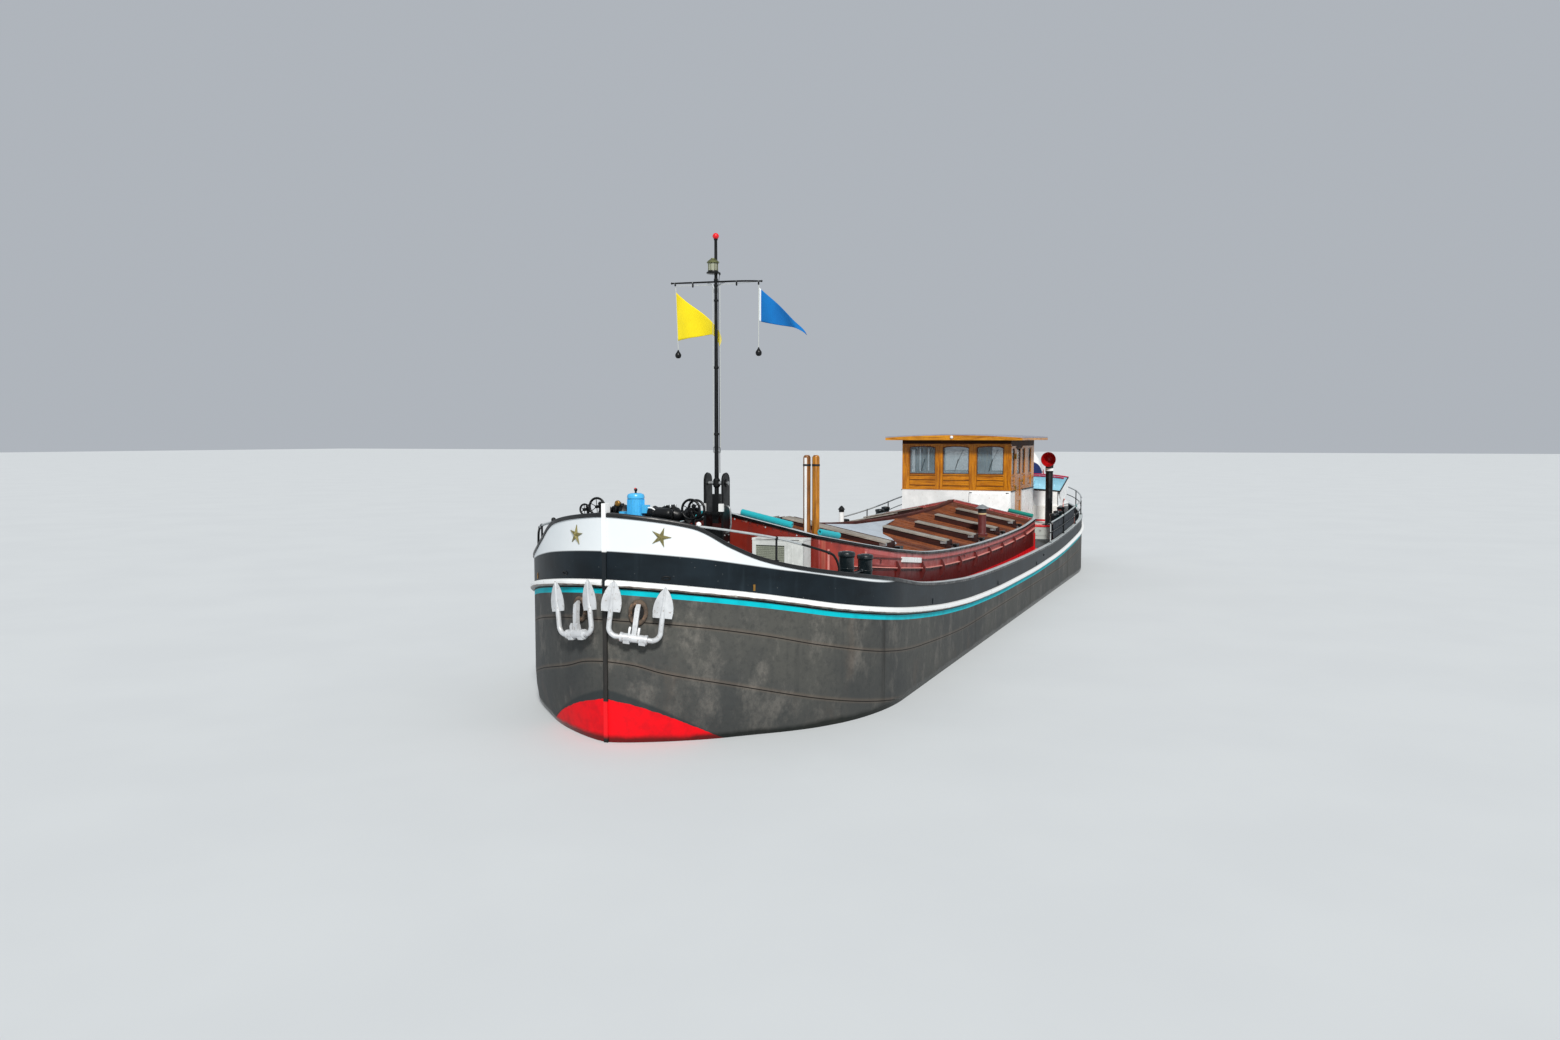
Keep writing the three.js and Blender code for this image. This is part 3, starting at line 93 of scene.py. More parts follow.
def read_table(table, aft, column=1):
    """A smooth reading of one column of a table whose first column is the distance aft."""
    last = len(table) - 1
    aft = min(max(aft, table[0][0]), table[last][0])
    i = max(k for k in range(last) if table[k][0] <= aft)

    def slope(k):
        return (table[k + 1][column] - table[k][column]) / (table[k + 1][0] - table[k][0])

    def tangent(k):
        if k == 0:
            return slope(0)
        if k == last:
            return slope(last - 1)
        before, after = slope(k - 1), slope(k)
        return 0 if before * after <= 0 else 2 * before * after / (before + after)

    width = table[i + 1][0] - table[i][0]
    t = (aft - table[i][0]) / width
    start = (1 + 2 * t) * (1 - t) ** 2 * table[i][column] + t * (1 - t) ** 2 * width * tangent(i)
    end = t * t * (3 - 2 * t) * table[i + 1][column] + t * t * (t - 1) * width * tangent(i + 1)
    return start + end


def strake_top(aft):
    return read_table(SHEER, aft, 1)


def rail_top(aft):
    return read_table(SHEER, aft, 2)


def deck_at(aft):
    return strake_top(aft) - DECK_BELOW_STRAKE


def half_breadth(aft):
    to_bow = max(0, (BOW_LENGTH - aft) / BOW_LENGTH)
    to_stern = max(0, (aft - (LENGTH - STERN_LENGTH)) / STERN_LENGTH)
    bow = max(0, 1 - to_bow**2) ** BOW_POWER
    stern = math.sqrt(max(0, 1 - to_stern**2))
    return max(STEM_HALF, HALF_BEAM * bow * stern)


def edge_at(aft, side, inset, z):
    """The point on the deck's outline, moved inboard, square to the outline."""
    step = 0.004
    before, after = max(0, aft - step), min(LENGTH, aft + step)
    run = Vector((after - before, half_breadth(after) - half_breadth(before))).normalized()
    inward = Vector((run.y, -run.x))
    if aft <= 0:
        inward = Vector((1, 0))
    if aft >= LENGTH:
        inward = Vector((-1, 0))
    return Vector((BOW_X - aft - inward.x * inset, side * (half_breadth(aft) + inward.y * inset), z))


def outward(aft, side):
    return (edge_at(aft, side, -1, 0) - edge_at(aft, side, 0, 0)).normalized()


def stations(first, last):
    """Distances aft that lie close together where the outline bends."""
    bow = [BOW_LENGTH * (1 - math.cos(i * math.pi / 140)) for i in range(70)]
    stern = [LENGTH - STERN_LENGTH * (1 - math.sin(i * math.pi / 90)) for i in range(46)]
    count = int((LENGTH - STERN_LENGTH - BOW_LENGTH) / STATION_GAP) + 1
    middle = [BOW_LENGTH + i * STATION_GAP for i in range(count)]
    edges = [x for room in ROOMS for x in room[:2]]
    inner = [a for a in bow + middle + stern + edges + [RAIL_KINK] if first + 0.004 < a < last - 0.004]
    return [first] + sorted(set(inner)) + [last]


# Meshes
class Shape:
    """Vertices and faces gathered for one piece. Each face has its look."""

    def __init__(self):
        self.points = []
        self.faces = []
        self.looks = []

    def add(self, points, faces, look):
        base = len(self.points)
        self.points.extend(Vector(p) for p in points)
        self.faces.extend([base + i for i in face] for face in faces)
        self.looks.extend([look] * len(faces))
        return self

    def grid(self, rows, look, wrap_rows=False, wrap_columns=False):
        """Quads over rows of points that are all the same length."""
        high, wide = len(rows), len(rows[0])
        faces = []
        for i in range(high if wrap_rows else high - 1):
            for j in range(wide if wrap_columns else wide - 1):
                a, b = i * wide, ((i + 1) % high) * wide
                k = (j + 1) % wide
                faces.append((a + j, a + k, b + k, b + j))
        return self.add([p for row in rows for p in row], faces, look)

    def loft(self, loops, look, closed=False):
        """A skin through closed loops, with its two ends shut."""
        self.grid(loops, look, wrap_rows=closed, wrap_columns=True)
        if not closed:
            wide = len(loops[0])
            self.add(loops[0], [list(range(wide))[::-1]], look)
            self.add(loops[-1], [list(range(wide))], look)
        return self

    def box(self, low, high, look):
        x, y, z = zip(low, high)
        return self.loft(
            [[(a, y[0], z[0]), (a, y[1], z[0]), (a, y[1], z[1]), (a, y[0], z[1])] for a in x], look)

    def sided_box(self, side, low, high, look):
        """A box given for the port side, or its mirror to starboard."""
        y0, y1 = sorted((side * low[1], side * high[1]))
        return self.box((low[0], y0, low[2]), (high[0], y1, high[2]), look)

    def slab(self, outline, thickness, look):
        """A flat outline of points with a thickness given as a vector."""
        return self.loft([outline, [Vector(p) + Vector(thickness) for p in outline]], look)

    def rod(self, start, end, radius, look, end_radius=None, sides=20):
        start, end = Vector(start), Vector(end)
        last = radius if end_radius is None else end_radius
        turn = (end - start).to_track_quat("Z", "Y")
        loops = []
        for centre, size in ((start, radius), (end, last)):
            loops.append([centre + turn @ Vector((size * math.cos(a), size * math.sin(a), 0))
                          for a in round_steps(sides)])
        return self.loft(loops, look)

    def lathe(self, place, profile, look, sides=32, axis="Z", way=1):
        """A profile of (radius, height) turned about an axis through place. way is -1 to turn it over."""
        turn = Vector((0, 0, 1)).rotation_difference(AXES[axis])
        rows = [[Vector(place) + turn @ Vector((r * math.cos(a), r * math.sin(a), way * z))
                 for a in round_steps(sides)]
                for r, z in profile]
        return self.loft(rows, look)

    def tube(self, path, radius, look, sides=12, smooth=True, closed=False):
        """A round bar along a path. radius is one number, or a function of the share of the length."""
        line = smooth_line(path, closed) if smooth else [Vector(p) for p in path]
        size = radius if callable(radius) else (lambda share: radius)
        loops, normal = [], None
        for i, p in enumerate(line):
            ahead = line[(i + 1) % len(line)] if closed else line[min(i + 1, len(line) - 1)]
            behind = line[i - 1] if closed or i else line[0]
            run = (ahead - behind).normalized()
            if normal is None:
                normal = run.orthogonal().normalized()
            normal = (normal - run * normal.dot(run)).normalized()
            other = run.cross(normal)
            r = size(i / (len(line) - 1))
            loops.append([p + r * (normal * math.cos(a) + other * math.sin(a)) for a in round_steps(sides)])
        return self.loft(loops, look, closed=closed)

    def ring(self, place, radius, bar, look, axis="Z", sides=40, wide=1.0, tall=1.0):
        turn = Vector((0, 0, 1)).rotation_difference(AXES[axis])
        rows = []
        for a in round_steps(sides):
            out = Vector((math.cos(a), math.sin(a), 0))
            row = [out * (radius + bar * math.cos(b)) + Vector((0, 0, bar * math.sin(b)))
                   for b in round_steps(12)]
            rows.append([Vector(place) + turn @ Vector((p.x * wide, p.y * tall, p.z)) for p in row])
        return self.loft(rows, look, closed=True)

    def ball(self, place, radius, look, sides=20):
        half = sides // 2
        profile = [(max(1e-4, radius * math.sin(math.pi * i / half)), -radius * math.cos(math.pi * i / half))
                   for i in range(half + 1)]
        return self.lathe(place, profile, look, sides)

    def move(self, matrix, start=0):
        for i in range(start, len(self.points)):
            self.points[i] = matrix @ self.points[i]
        return self

    def build(self, name, body="boat", replaces=(), bevel=0.0, crease=32, marks=None):
        """Makes the object on its body. Each mark is a function of the place, kept per vertex."""
        mesh = bpy.data.meshes.new(name)
        mesh.from_pydata([tuple(p) for p in self.points], [], self.faces)
        looks = list(dict.fromkeys(self.looks))
        for look in looks:
            mesh.materials.append(look.material)
        mesh.polygons.foreach_set("material_index", [looks.index(look) for look in self.looks])
        shell = bmesh.new()
        shell.from_mesh(mesh)
        bmesh.ops.recalc_face_normals(shell, faces=shell.faces)
        shell.to_mesh(mesh)
        shell.free()
        mesh.polygons.foreach_set("use_smooth", [True] * len(mesh.polygons))
        mesh.set_sharp_from_angle(angle=math.radians(crease))
        for mark, value in (marks or {}).items():
            made = mesh.attributes.new(mark, "FLOAT", "POINT")
            made.data.foreach_set("value", [value(v.co) for v in mesh.vertices])
        made = bpy.data.objects.new(name, mesh)
        bpy.context.scene.collection.objects.link(made)
        if bevel:
            soften(made, bevel)
        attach(made, body)
        if replaces:
            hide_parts(*replaces)
        return made


AXES = {"X": Vector((1, 0, 0)), "Y": Vector((0, 1, 0)), "Z": Vector((0, 0, 1))}


def round_steps(count):
    return [2 * math.pi * i / count for i in range(count)]


def smooth_line(path, closed=False, steps=6):
    """More points on a Catmull-Rom curve through the path."""
    points = [Vector(p) for p in path]
    count = len(points)
    line = []
    for i in range(count if closed else count - 1):
        b, c = points[i], points[(i + 1) % count]
        a = points[i - 1] if closed or i else b
        d = points[(i + 2) % count] if closed or i + 2 < count else c
        for k in range(steps):
            t = k / steps
            square, cube = 2 * a - 5 * b + 4 * c - d, 3 * b - a - 3 * c + d
            line.append(0.5 * (2 * b + (c - a) * t + square * t**2 + cube * t**3))
    return line if closed else line + [points[-1]]


def soften(made, width):
    """Rounds the sharp edges, so that they catch the light."""
    bevel = made.modifiers.new("bevel", "BEVEL")
    bevel.width = width
    bevel.segments = 2
    bevel.limit_method = "ANGLE"
    bevel.angle_limit = math.radians(40)
    bevel.harden_normals = True
    bevel.use_clamp_overlap = True


# Materials
def rgb(red, green, blue):
    """A linear colour from the 0 to 255 numbers of a colour picker."""
    return tuple(v / 255 / 12.92 if v < 11 else ((v / 255 + 0.055) / 1.055) ** 2.4
                 for v in (red, green, blue))


class Look:
    """A procedural material: a Principled shader with short words for the nodes that feed it."""

    def __init__(self, name, colour, roughness=0.5, **sockets):
        self.material = bpy.data.materials.new(name)
        self.material.use_nodes = True
        self.tree = self.material.node_tree
        self.shader = self.tree.nodes["Principled BSDF"]
        self.place = self.node("ShaderNodeTexCoord").outputs["Object"]
        self.colour = (*colour, 1)
        self.shader.inputs["Base Color"].default_value = self.colour
        self.shader.inputs["Roughness"].default_value = roughness
        for socket, value in sockets.items():
            self.shader.inputs[socket.replace("_", " ")].default_value = value

    def node(self, kind, *values, **settings):
        made = self.tree.nodes.new(kind)
        for setting, value in settings.items():
            setattr(made, setting, value)
        for i, value in enumerate(values):
            self.wire(made.inputs[i], value)
        return made

    def wire(self, socket, value):
        if isinstance(value, bpy.types.NodeSocket):
            self.tree.links.new(value, socket)
        elif value is not None:
            socket.default_value = value

    def noise(self, scale, detail=3.0, stretch=(1, 1, 1), roughness=0.55, shift=0.0):
        where = self.node("ShaderNodeMapping", self.place, (shift, shift, shift), (0, 0, 0),
                          stretch).outputs[0]
        made = self.node("ShaderNodeTexNoise", where)
        made.inputs["Scale"].default_value = scale
        made.inputs["Detail"].default_value = detail
        made.inputs["Roughness"].default_value = roughness
        return made.outputs["Fac"]

    def waves(self, scale, axis, distortion=0.0):
        made = self.node("ShaderNodeTexWave", self.place, bands_direction=axis)
        made.inputs["Scale"].default_value = scale
        made.inputs["Distortion"].default_value = distortion
        return made.outputs["Fac"]

    def math(self, operation, a, b):
        return self.node("ShaderNodeMath", a, b, operation=operation).outputs[0]

    def ragged(self, value, texture, reach):
        """The value, moved up and down by a texture."""
        return self.math("ADD", value, self.math("MULTIPLY", self.math("SUBTRACT", texture, 0.5), reach))

    def span(self, value, low, high, start=0.0, end=1.0):
        """0 below low and 1 above high, smooth between, or start and end in their place."""
        made = self.node("ShaderNodeMapRange", value, low, high, start, end, interpolation_type="SMOOTHSTEP")
        return made.outputs[0]

    def band(self, value, low, high, soft):
        """1 between low and high."""
        rise = self.span(value, low - soft, low + soft)
        fall = self.span(value, high - soft, high + soft, 1.0, 0.0)
        return self.math("MULTIPLY", rise, fall)

    def mix(self, share, a, b):
        made = self.node("ShaderNodeMix", data_type="RGBA")
        for socket, value in (("Factor_Float", share), ("A_Color", a), ("B_Color", b)):
            target = next(s for s in made.inputs if s.identifier == socket)
            self.wire(target, (*value, 1) if isinstance(value, tuple) and len(value) == 3 else value)
        return next(s for s in made.outputs if s.identifier == "Result_Color")

    def mark(self, name):
        return self.node("ShaderNodeAttribute", attribute_name=name).outputs["Fac"]

    def axis(self, letter):
        return self.node("ShaderNodeSeparateXYZ", self.place).outputs["XYZ".index(letter)]

    def cover(self, share, colour):
        """Lays another colour over what is there already, where share is 1."""
        self.colour = self.mix(share, self.colour, colour)
        self.wire(self.shader.inputs["Base Color"], self.colour)
        return self

    def rough(self, value):
        self.wire(self.shader.inputs["Roughness"], value)
        return self

    def relief(self, height, depth, strength=1.0):
        """Adds a bump to those that are there already."""
        made = self.node("ShaderNodeBump")
        made.inputs["Strength"].default_value = strength
        made.inputs["Distance"].default_value = depth
        self.wire(made.inputs["Height"], height)
        socket = self.shader.inputs["Normal"]
        if socket.links:
            self.wire(made.inputs["Normal"], socket.links[0].from_socket)
        self.wire(socket, made.outputs[0])
        return self


def shade(colour, factor):
    return tuple(min(1.0, c * factor) for c in colour)


def painted(name, colour, roughness=0.42, grime=0.3, scale=1.0, wear=None, **sockets):
    """Brushed paint on steel: cloudy shade, dust in streaks, small chips and an uneven gloss."""
    look = Look(name, colour, roughness, **sockets)
    cloud = look.noise(1.3 * scale, 5)
    look.cover(look.span(cloud, 0.3, 0.7), shade(colour, 0.82))
    look.cover(look.span(look.noise(5 * scale, 4, shift=3), 0.45, 0.75, 0, 0.5), shade(colour, 1.18))
    streak = look.noise(7 * scale, 4, stretch=(1, 1, 0.14), shift=7)
    look.cover(look.span(streak, 0.5, 0.8, 0, grime), shade(colour, 0.55))
    if wear:
        chips = look.noise(26 * scale, 5, shift=11)
        look.cover(look.span(chips, 0.68, 0.71), wear)
    look.rough(look.span(look.noise(9 * scale, 3, shift=5), 0.3, 0.7, roughness - 0.08, roughness + 0.14))
    look.relief(look.noise(55 * scale, 3), 0.002, 0.25)
    return look


def varnished(name, light, dark, along="Z", roughness=0.24):
    """Varnished wood with its grain along one axis."""
    look = Look(name, light, roughness, Specular_IOR_Level=0.25)
    look.shader.inputs["Coat Weight"].default_value = 0.2
    look.shader.inputs["Coat Roughness"].default_value = 0.12
    stretch = tuple(0.06 if letter == along else 1.0 for letter in "XYZ")
    grain = look.noise(34, 6, stretch, 0.65)
    look.cover(look.span(grain, 0.38, 0.68), dark)
    look.cover(look.span(look.noise(120, 4, stretch, 0.7, 2), 0.5, 0.75, 0, 0.5), shade(dark, 0.6))
    look.cover(look.span(look.noise(1.6, 4, shift=4), 0.4, 0.75, 0, 0.45), shade(dark, 0.8))
    look.cover(look.span(look.noise(2.3, 3, shift=9), 0.5, 0.8, 0, 0.35), shade(light, 1.35))
    look.rough(look.span(look.noise(14, 3), 0.3, 0.7, roughness - 0.06, roughness + 0.16))
    look.relief(grain, 0.002, 0.2)
    return look


def weathered(name, light, dark, along="X", roughness=0.75):
    """Bare or thinly painted boards with an open grain and dark cracks."""
    look = Look(name, light, roughness, Specular_IOR_Level=0.2)
    stretch = tuple(0.07 if letter == along else 1.0 for letter in "XYZ")
    grain = look.noise(30, 7, stretch, 0.7)
    look.cover(look.span(grain, 0.35, 0.7), dark)
    look.cover(look.span(look.noise(2.2, 5, shift=3), 0.35, 0.7, 0, 0.6), shade(dark, 0.75))
    look.cover(look.span(look.noise(90, 4, stretch, 0.7, 5), 0.56, 0.66, 0, 0.7), shade(dark, 0.35))
    look.relief(grain, 0.004, 0.45)
    return look


def bare_metal(name, colour, roughness=0.35, spots=(0.5, 0.45, 0.4), metallic=0.85):
    look = Look(name, colour, roughness, Metallic=metallic)
    look.cover(look.span(look.noise(6, 5), 0.35, 0.7, 0, 0.6), shade(colour, 0.7))
    look.cover(look.span(look.noise(30, 4, shift=2), 0.58, 0.7, 0, 0.7), spots)
    look.rough(look.span(look.noise(18, 3), 0.3, 0.7, roughness - 0.1, roughness + 0.2))
    look.relief(look.noise(70, 3), 0.0015, 0.3)
    return look


def rusty(name):
    look = Look(name, rgb(92, 78, 66), 0.85)
    look.cover(look.span(look.noise(9, 6, roughness=0.7), 0.4, 0.65), rgb(56, 48, 42))
    look.cover(look.span(look.noise(22, 6, shift=4), 0.52, 0.68), rgb(126, 100, 80))
    look.relief(look.noise(60, 6, roughness=0.75), 0.006, 0.6)
    return look


def cloth(name, colour, roughness=0.85, sheen=0.25):
    look = Look(name, colour, roughness, Sheen_Weight=sheen, Specular_IOR_Level=0.3)
    weave = look.math("MULTIPLY", look.waves(150, "Y"), look.waves(150, "Z"))
    look.cover(look.span(weave, 0.1, 0.7, 0, 0.35), shade(colour, 0.72))
    look.cover(look.span(look.noise(3, 4), 0.4, 0.7, 0, 0.4), shade(colour, 0.8))
    look.relief(weave, 0.002, 0.35)
    return look


GREY = rgb(82, 82, 78)
SLATE = rgb(18, 25, 30)
WHITE = rgb(238, 240, 240)
BLACK = rgb(12, 14, 16)
CYAN = rgb(0, 186, 200)
RED = rgb(226, 12, 26)
GOLD = rgb(206, 132, 18)
GOLD_DARK = rgb(140, 76, 8)

black = painted("black_paint", BLACK, 0.35, 0.2, Specular_IOR_Level=0.3)
slate = painted("slate_paint", SLATE, 0.4, 0.25, Specular_IOR_Level=0.25)
white = painted("white_paint", WHITE, 0.3, 0.12)
grey = painted("grey_paint", rgb(128, 130, 128), 0.5, 0.3)
red = painted("red_paint", RED, 0.35, 0.15)
rust = rusty("rusty_steel")
zinc = bare_metal("galvanised_steel", rgb(176, 180, 182), 0.42, rgb(120, 122, 122))
brass = bare_metal("tarnished_brass", rgb(176, 150, 84), 0.32, rgb(96, 86, 56), 1.0)
star_brass = bare_metal("star_brass", rgb(140, 132, 86), 0.4, rgb(66, 62, 42), 0.6)
dark_iron = bare_metal("dark_iron", rgb(40, 42, 44), 0.5, rgb(70, 52, 42), 0.5)
wood = varnished("varnished_wood", GOLD, GOLD_DARK)
wood_across = varnished("varnished_wood_across", GOLD, GOLD_DARK, "Y")


def hull_paint():
    """Weathered grey: a stripe below the strake, plate seams, a red foot at the stem, wet at the water,
    painted shade low down.
    """
    look = Look("hull_paint", GREY, 0.55, Specular_IOR_Level=0.12)
    z = look.axis("Z")
    look.cover(look.span(look.noise(0.7, 6, shift=1), 0.35, 0.68), rgb(64, 66, 66))
    look.cover(look.span(look.noise(2.6, 9, stretch=(1, 1, 0.6), roughness=0.72, shift=8), 0.48, 0.72, 0,
                         0.8), rgb(122, 118, 112))
    look.cover(look.span(look.noise(14, 8, roughness=0.75, shift=14), 0.46, 0.66, 0, 0.45), rgb(52, 54, 54))
    drips = look.noise(9, 5, stretch=(1, 1, 0.07), shift=3)
    look.cover(look.span(drips, 0.54, 0.78, 0, 0.35), rgb(50, 52, 52))
    tint = look.noise(1.9, 6, stretch=(1, 1, 0.5), shift=5)
    look.cover(look.span(tint, 0.58, 0.76, 0, 0.35), rgb(104, 88, 76))
    # Painted shade: the hull darker towards the water.
    painted_shade_low = look.span(z, 0.0, 1.5, 0.42, 0.0)
    look.cover(painted_shade_low, rgb(60, 62, 62))
    for seam in ("seam_high", "seam_low"):
        gap = look.mark(seam)
        look.cover(look.band(gap, -0.02, 0.03, 0.02), look.mix(0.22, look.colour, rgb(126, 108, 92)))
        look.cover(look.band(gap, -0.007, 0.004, 0.004), rgb(26, 26, 26))
        look.relief(look.span(gap, -0.006, 0.004), 0.012, 0.7)
    butt = look.mark("butt")
    look.cover(look.band(butt, -0.004, 0.004, 0.003), rgb(44, 44, 43))
    stain = look.math("MULTIPLY", look.band(butt, -0.08, 0.03, 0.05), look.span(drips, 0.35, 0.6))
    look.cover(look.math("MULTIPLY", stain, 0.55), rgb(40, 38, 36))
    boot = look.ragged(look.mark("boot"), look.noise(12, 4), 0.03)
    look.cover(look.math("MULTIPLY", look.band(look.mark("boot_dark"), 0.0, 5, 0.02), 0.8), rgb(44, 50, 52))
    look.cover(look.span(boot, 0.004, -0.004), look.mix(look.span(look.noise(6, 4), 0.4, 0.7, 0, 0.5), RED,
                                                        rgb(170, 20, 30)))
    below = look.mark("below")
    # Painted shadow: a near-black band just under the strake, where the strake shades the hull.
    look.cover(look.span(below, 0.016, 0.008), rgb(20, 20, 20))
    stripe = look.band(below, 0.014, 0.072, 0.003)
    look.cover(stripe, look.mix(look.span(look.noise(5, 4), 0.4, 0.75, 0, 0.4), CYAN, rgb(10, 132, 146)))
    wet = look.ragged(z, look.noise(2.2, 4), 0.09)
    look.cover(look.span(wet, 0.1, 0.03, 0, 0.85), rgb(22, 26, 24))
    look.rough(look.span(wet, 0.1, 0.03, 0.58, 0.2))
    look.relief(look.noise(1.1, 3), 0.03, 0.3)
    look.relief(look.noise(38, 5, roughness=0.7), 0.003, 0.3)
    return look


def bulwark_paint():
    """Dark slate with the white panel at the bow, cut along its lower edge, and painted shade at its foot by
    the deck.
    """
    look = Look("bulwark_paint", SLATE, 0.42, Specular_IOR_Level=0.12)
    look.cover(look.span(look.noise(1.2, 5), 0.35, 0.7), rgb(28, 38, 45))
    look.cover(look.span(look.noise(6, 5, stretch=(0.25, 0.25, 1), shift=4), 0.45, 0.75, 0, 0.6),
               rgb(13, 18, 22))
    look.cover(look.span(look.noise(8, 4, stretch=(1, 1, 0.1), shift=6), 0.55, 0.8, 0, 0.3), rgb(54, 66, 74))
    look.cover(look.span(look.noise(30, 5, shift=7), 0.7, 0.74, 0, 0.8), rgb(112, 114, 112))
    panel = look.mark("panel")
    fresh = look.mix(look.span(look.noise(1.5, 4), 0.4, 0.7, 0, 0.3), rgb(222, 227, 230), rgb(202, 212, 218))
    look.cover(look.span(panel, -0.012, 0.006), fresh)
    # Painted shade: darker in the corner where the bulwark meets the deck.
    low = look.mark("above_deck")
    look.cover(look.span(low, 0.04, 0.0, 0, 0.7), rgb(24, 28, 30))
    look.rough(look.span(panel, -0.012, 0.006, 0.42, 0.28))
    look.relief(look.noise(1.6, 3), 0.02, 0.25)
    look.relief(look.noise(45, 3), 0.002, 0.2)
    return look


def rail_cap_paint():
    """Black, its top a pale grey from the fore bollards to the stern: wear and a painted highlight."""
    look = painted("rail_cap_paint", BLACK, 0.35, 0.2)
    # The pale top face is partly wear and partly a painted highlight where it faces the sky.
    wear_and_painted_light = look.math("MULTIPLY", look.mark("wear_and_painted_light"),
                     look.span(look.noise(5, 4, shift=21), 0.25, 0.5, 0.55, 1.0))
    look.cover(wear_and_painted_light, rgb(178, 186, 188))
    return look


# The rail's top face from the fore bollards aft, where the pale wear and painted highlight go.
def cap_top_wear_and_highlight(p):
    aft = BOW_X - p.x
    return min(1, max(0, (aft - 2.9) / 1.2)) if p.z > rail_top(aft) - 0.012 else 0.0


def strake_paint():
    """White above, rust and dirt lower down, and a near-black painted shade on the underside."""
    look = Look("strake_paint", WHITE, 0.35)
    wear_and_painted_light = look.ragged(look.mark("down"), look.noise(7, 5), 0.02)
    look.cover(look.span(wear_and_painted_light, 0.056, 0.064), look.mix(look.span(look.noise(8, 5), 0.4, 0.65),
                                                       rgb(120, 112, 106), rgb(74, 60, 52)))
    # Painted shade: near-black on the downward face at the strake's bottom.
    look.cover(look.span(wear_and_painted_light, 0.074, 0.084), rgb(26, 24, 22))
    look.cover(look.span(look.noise(9, 5, shift=3), 0.62, 0.72, 0, 0.6), rgb(180, 178, 170))
    look.relief(look.noise(40, 4), 0.003, 0.3)
    return look


# Hull
def hull_half(aft):
    keel, bilge, floor, power = (read_table(SECTIONS, aft, column) for column in (1, 2, 3, 4))
    half = half_breadth(aft)
    flat = max(0.008, half * floor)
    side = [(0.0, keel), (flat * 0.5, keel), (flat, keel)]
    for i in range(1, 15):
        rise = 1 - math.cos(i / 14 * math.pi / 2)
        side.append((flat + (half - flat) * (1 - (1 - rise) ** 2) ** power, keel + (bilge - keel) * rise))
    top = deck_at(aft)
    side.extend((half, bilge + (top - bilge) * i / 8) for i in range(1, 9))
    return side


def hull_marks():
    def aft(p):
        return BOW_X - p.x

    def boot(p):
        top = BOOT["top"] - BOOT["slope"] * abs(p.y) - BOOT["curve"] * p.y**2
        return p.z - top if p.x > 0 else 1.0

    def boot_dark(p):
        return BOOT["edge"] * (1 - abs(p.y) / BOOT["half"]) - boot(p)

    return {
        "below": lambda p: strake_top(aft(p)) - STRAKE_HEIGHT - p.z,
        "seam_high": lambda p: p.z - read_table(SEAM_HIGH, aft(p)),
        "seam_low": lambda p: p.z - read_table(SEAM_LOW, aft(p)),
        "butt": lambda p: (aft(p) - BUTT_FIRST + BUTT_GAP / 2) % BUTT_GAP - BUTT_GAP / 2,
        "boot": boot,
        "boot_dark": boot_dark,
    }


def hull():
    shape = Shape()
    topsides, deck, lining = hull_paint(), painted("deck_paint", rgb(70, 76, 80), 0.6, 0.5, 2), grey
    places = stations(0, LENGTH)
    for side in (1, -1):
        rows = [[(BOW_X - aft, side * y, z) for y, z in hull_half(aft)] for aft in places]
        shape.grid(rows, topsides)
        for a, b in zip(places, places[1:]):
            inner = next((half for front, back, half, floor in ROOMS if front <= a and b <= back), 0)
            row = [[(BOW_X - s, side * y, deck_at(s)) for y in (inner, max(inner, half_breadth(s)))]
                   for s in (a, b)]
            shape.grid(row, deck)
    for aft in (0, LENGTH):
        outline = hull_half(aft)
        shape.add([(BOW_X - aft, y, z) for y, z in outline + [(-y, z) for y, z in reversed(outline)]],
                  [list(range(2 * len(outline)))], topsides)
    for front, back, half, floor in ROOMS:
        x0, x1 = BOW_X - front, BOW_X - back
        loop = [(x0, half), (x1, half), (x1, -half), (x0, -half)]
        shape.grid([[(x, y, z) for x, y in loop] for z in (floor, deck_at((front + back) / 2))], lining,
                   wrap_columns=True)
        shape.add([(x, y, floor) for x, y in loop], [(0, 1, 2, 3)], lining)
    return shape.build("hull_shell", replaces=["hull"], marks=hull_marks())


def along_edge(shape, first, last, side, profile, look_of):
    """A strip along the outline. profile gives (inset, z) points, and look_of the look of each face."""
    rows = [[edge_at(aft, side, inset, z) for inset, z in profile(aft)] for aft in stations(first, last)]
    wide = len(rows[0])
    for j in range(wide):
        k = (j + 1) % wide
        shape.grid([[row[j], row[k]] for row in rows], look_of(j))
    shape.add(rows[0], [list(range(wide))], look_of(0))
    shape.add(rows[-1], [list(range(wide))], look_of(0))


def bulwark_profile(aft):
    top, foot = rail_top(aft), deck_at(aft) + SEAT
    outer = [(0.0, foot + (top - 0.048 - foot) * i / 6) for i in range(7)]
    cap = [(-0.011, top - 0.046), (-0.014, top - 0.042), (-0.014, top - 0.016), (-0.009, top - 0.005),
           (0.002, top),
           (0.058, top), (0.069, top - 0.005), (0.074, top - 0.016), (0.074, top - 0.042),
           (0.07, top - 0.047)]
    return outer + cap + [(PLATE, top - 0.048), (PLATE, foot)]


def bulwark_strip(shape, first, last, side, paint):
    along_edge(shape, first, last, side, bulwark_profile, lambda j: cap_paint if j in CAP_FACES else paint)


def bulwark_marks(panel):
    return {"panel": panel, "above_deck": lambda p: p.z - deck_at(BOW_X - p.x), "wear_and_painted_light": cap_top_wear_and_highlight}


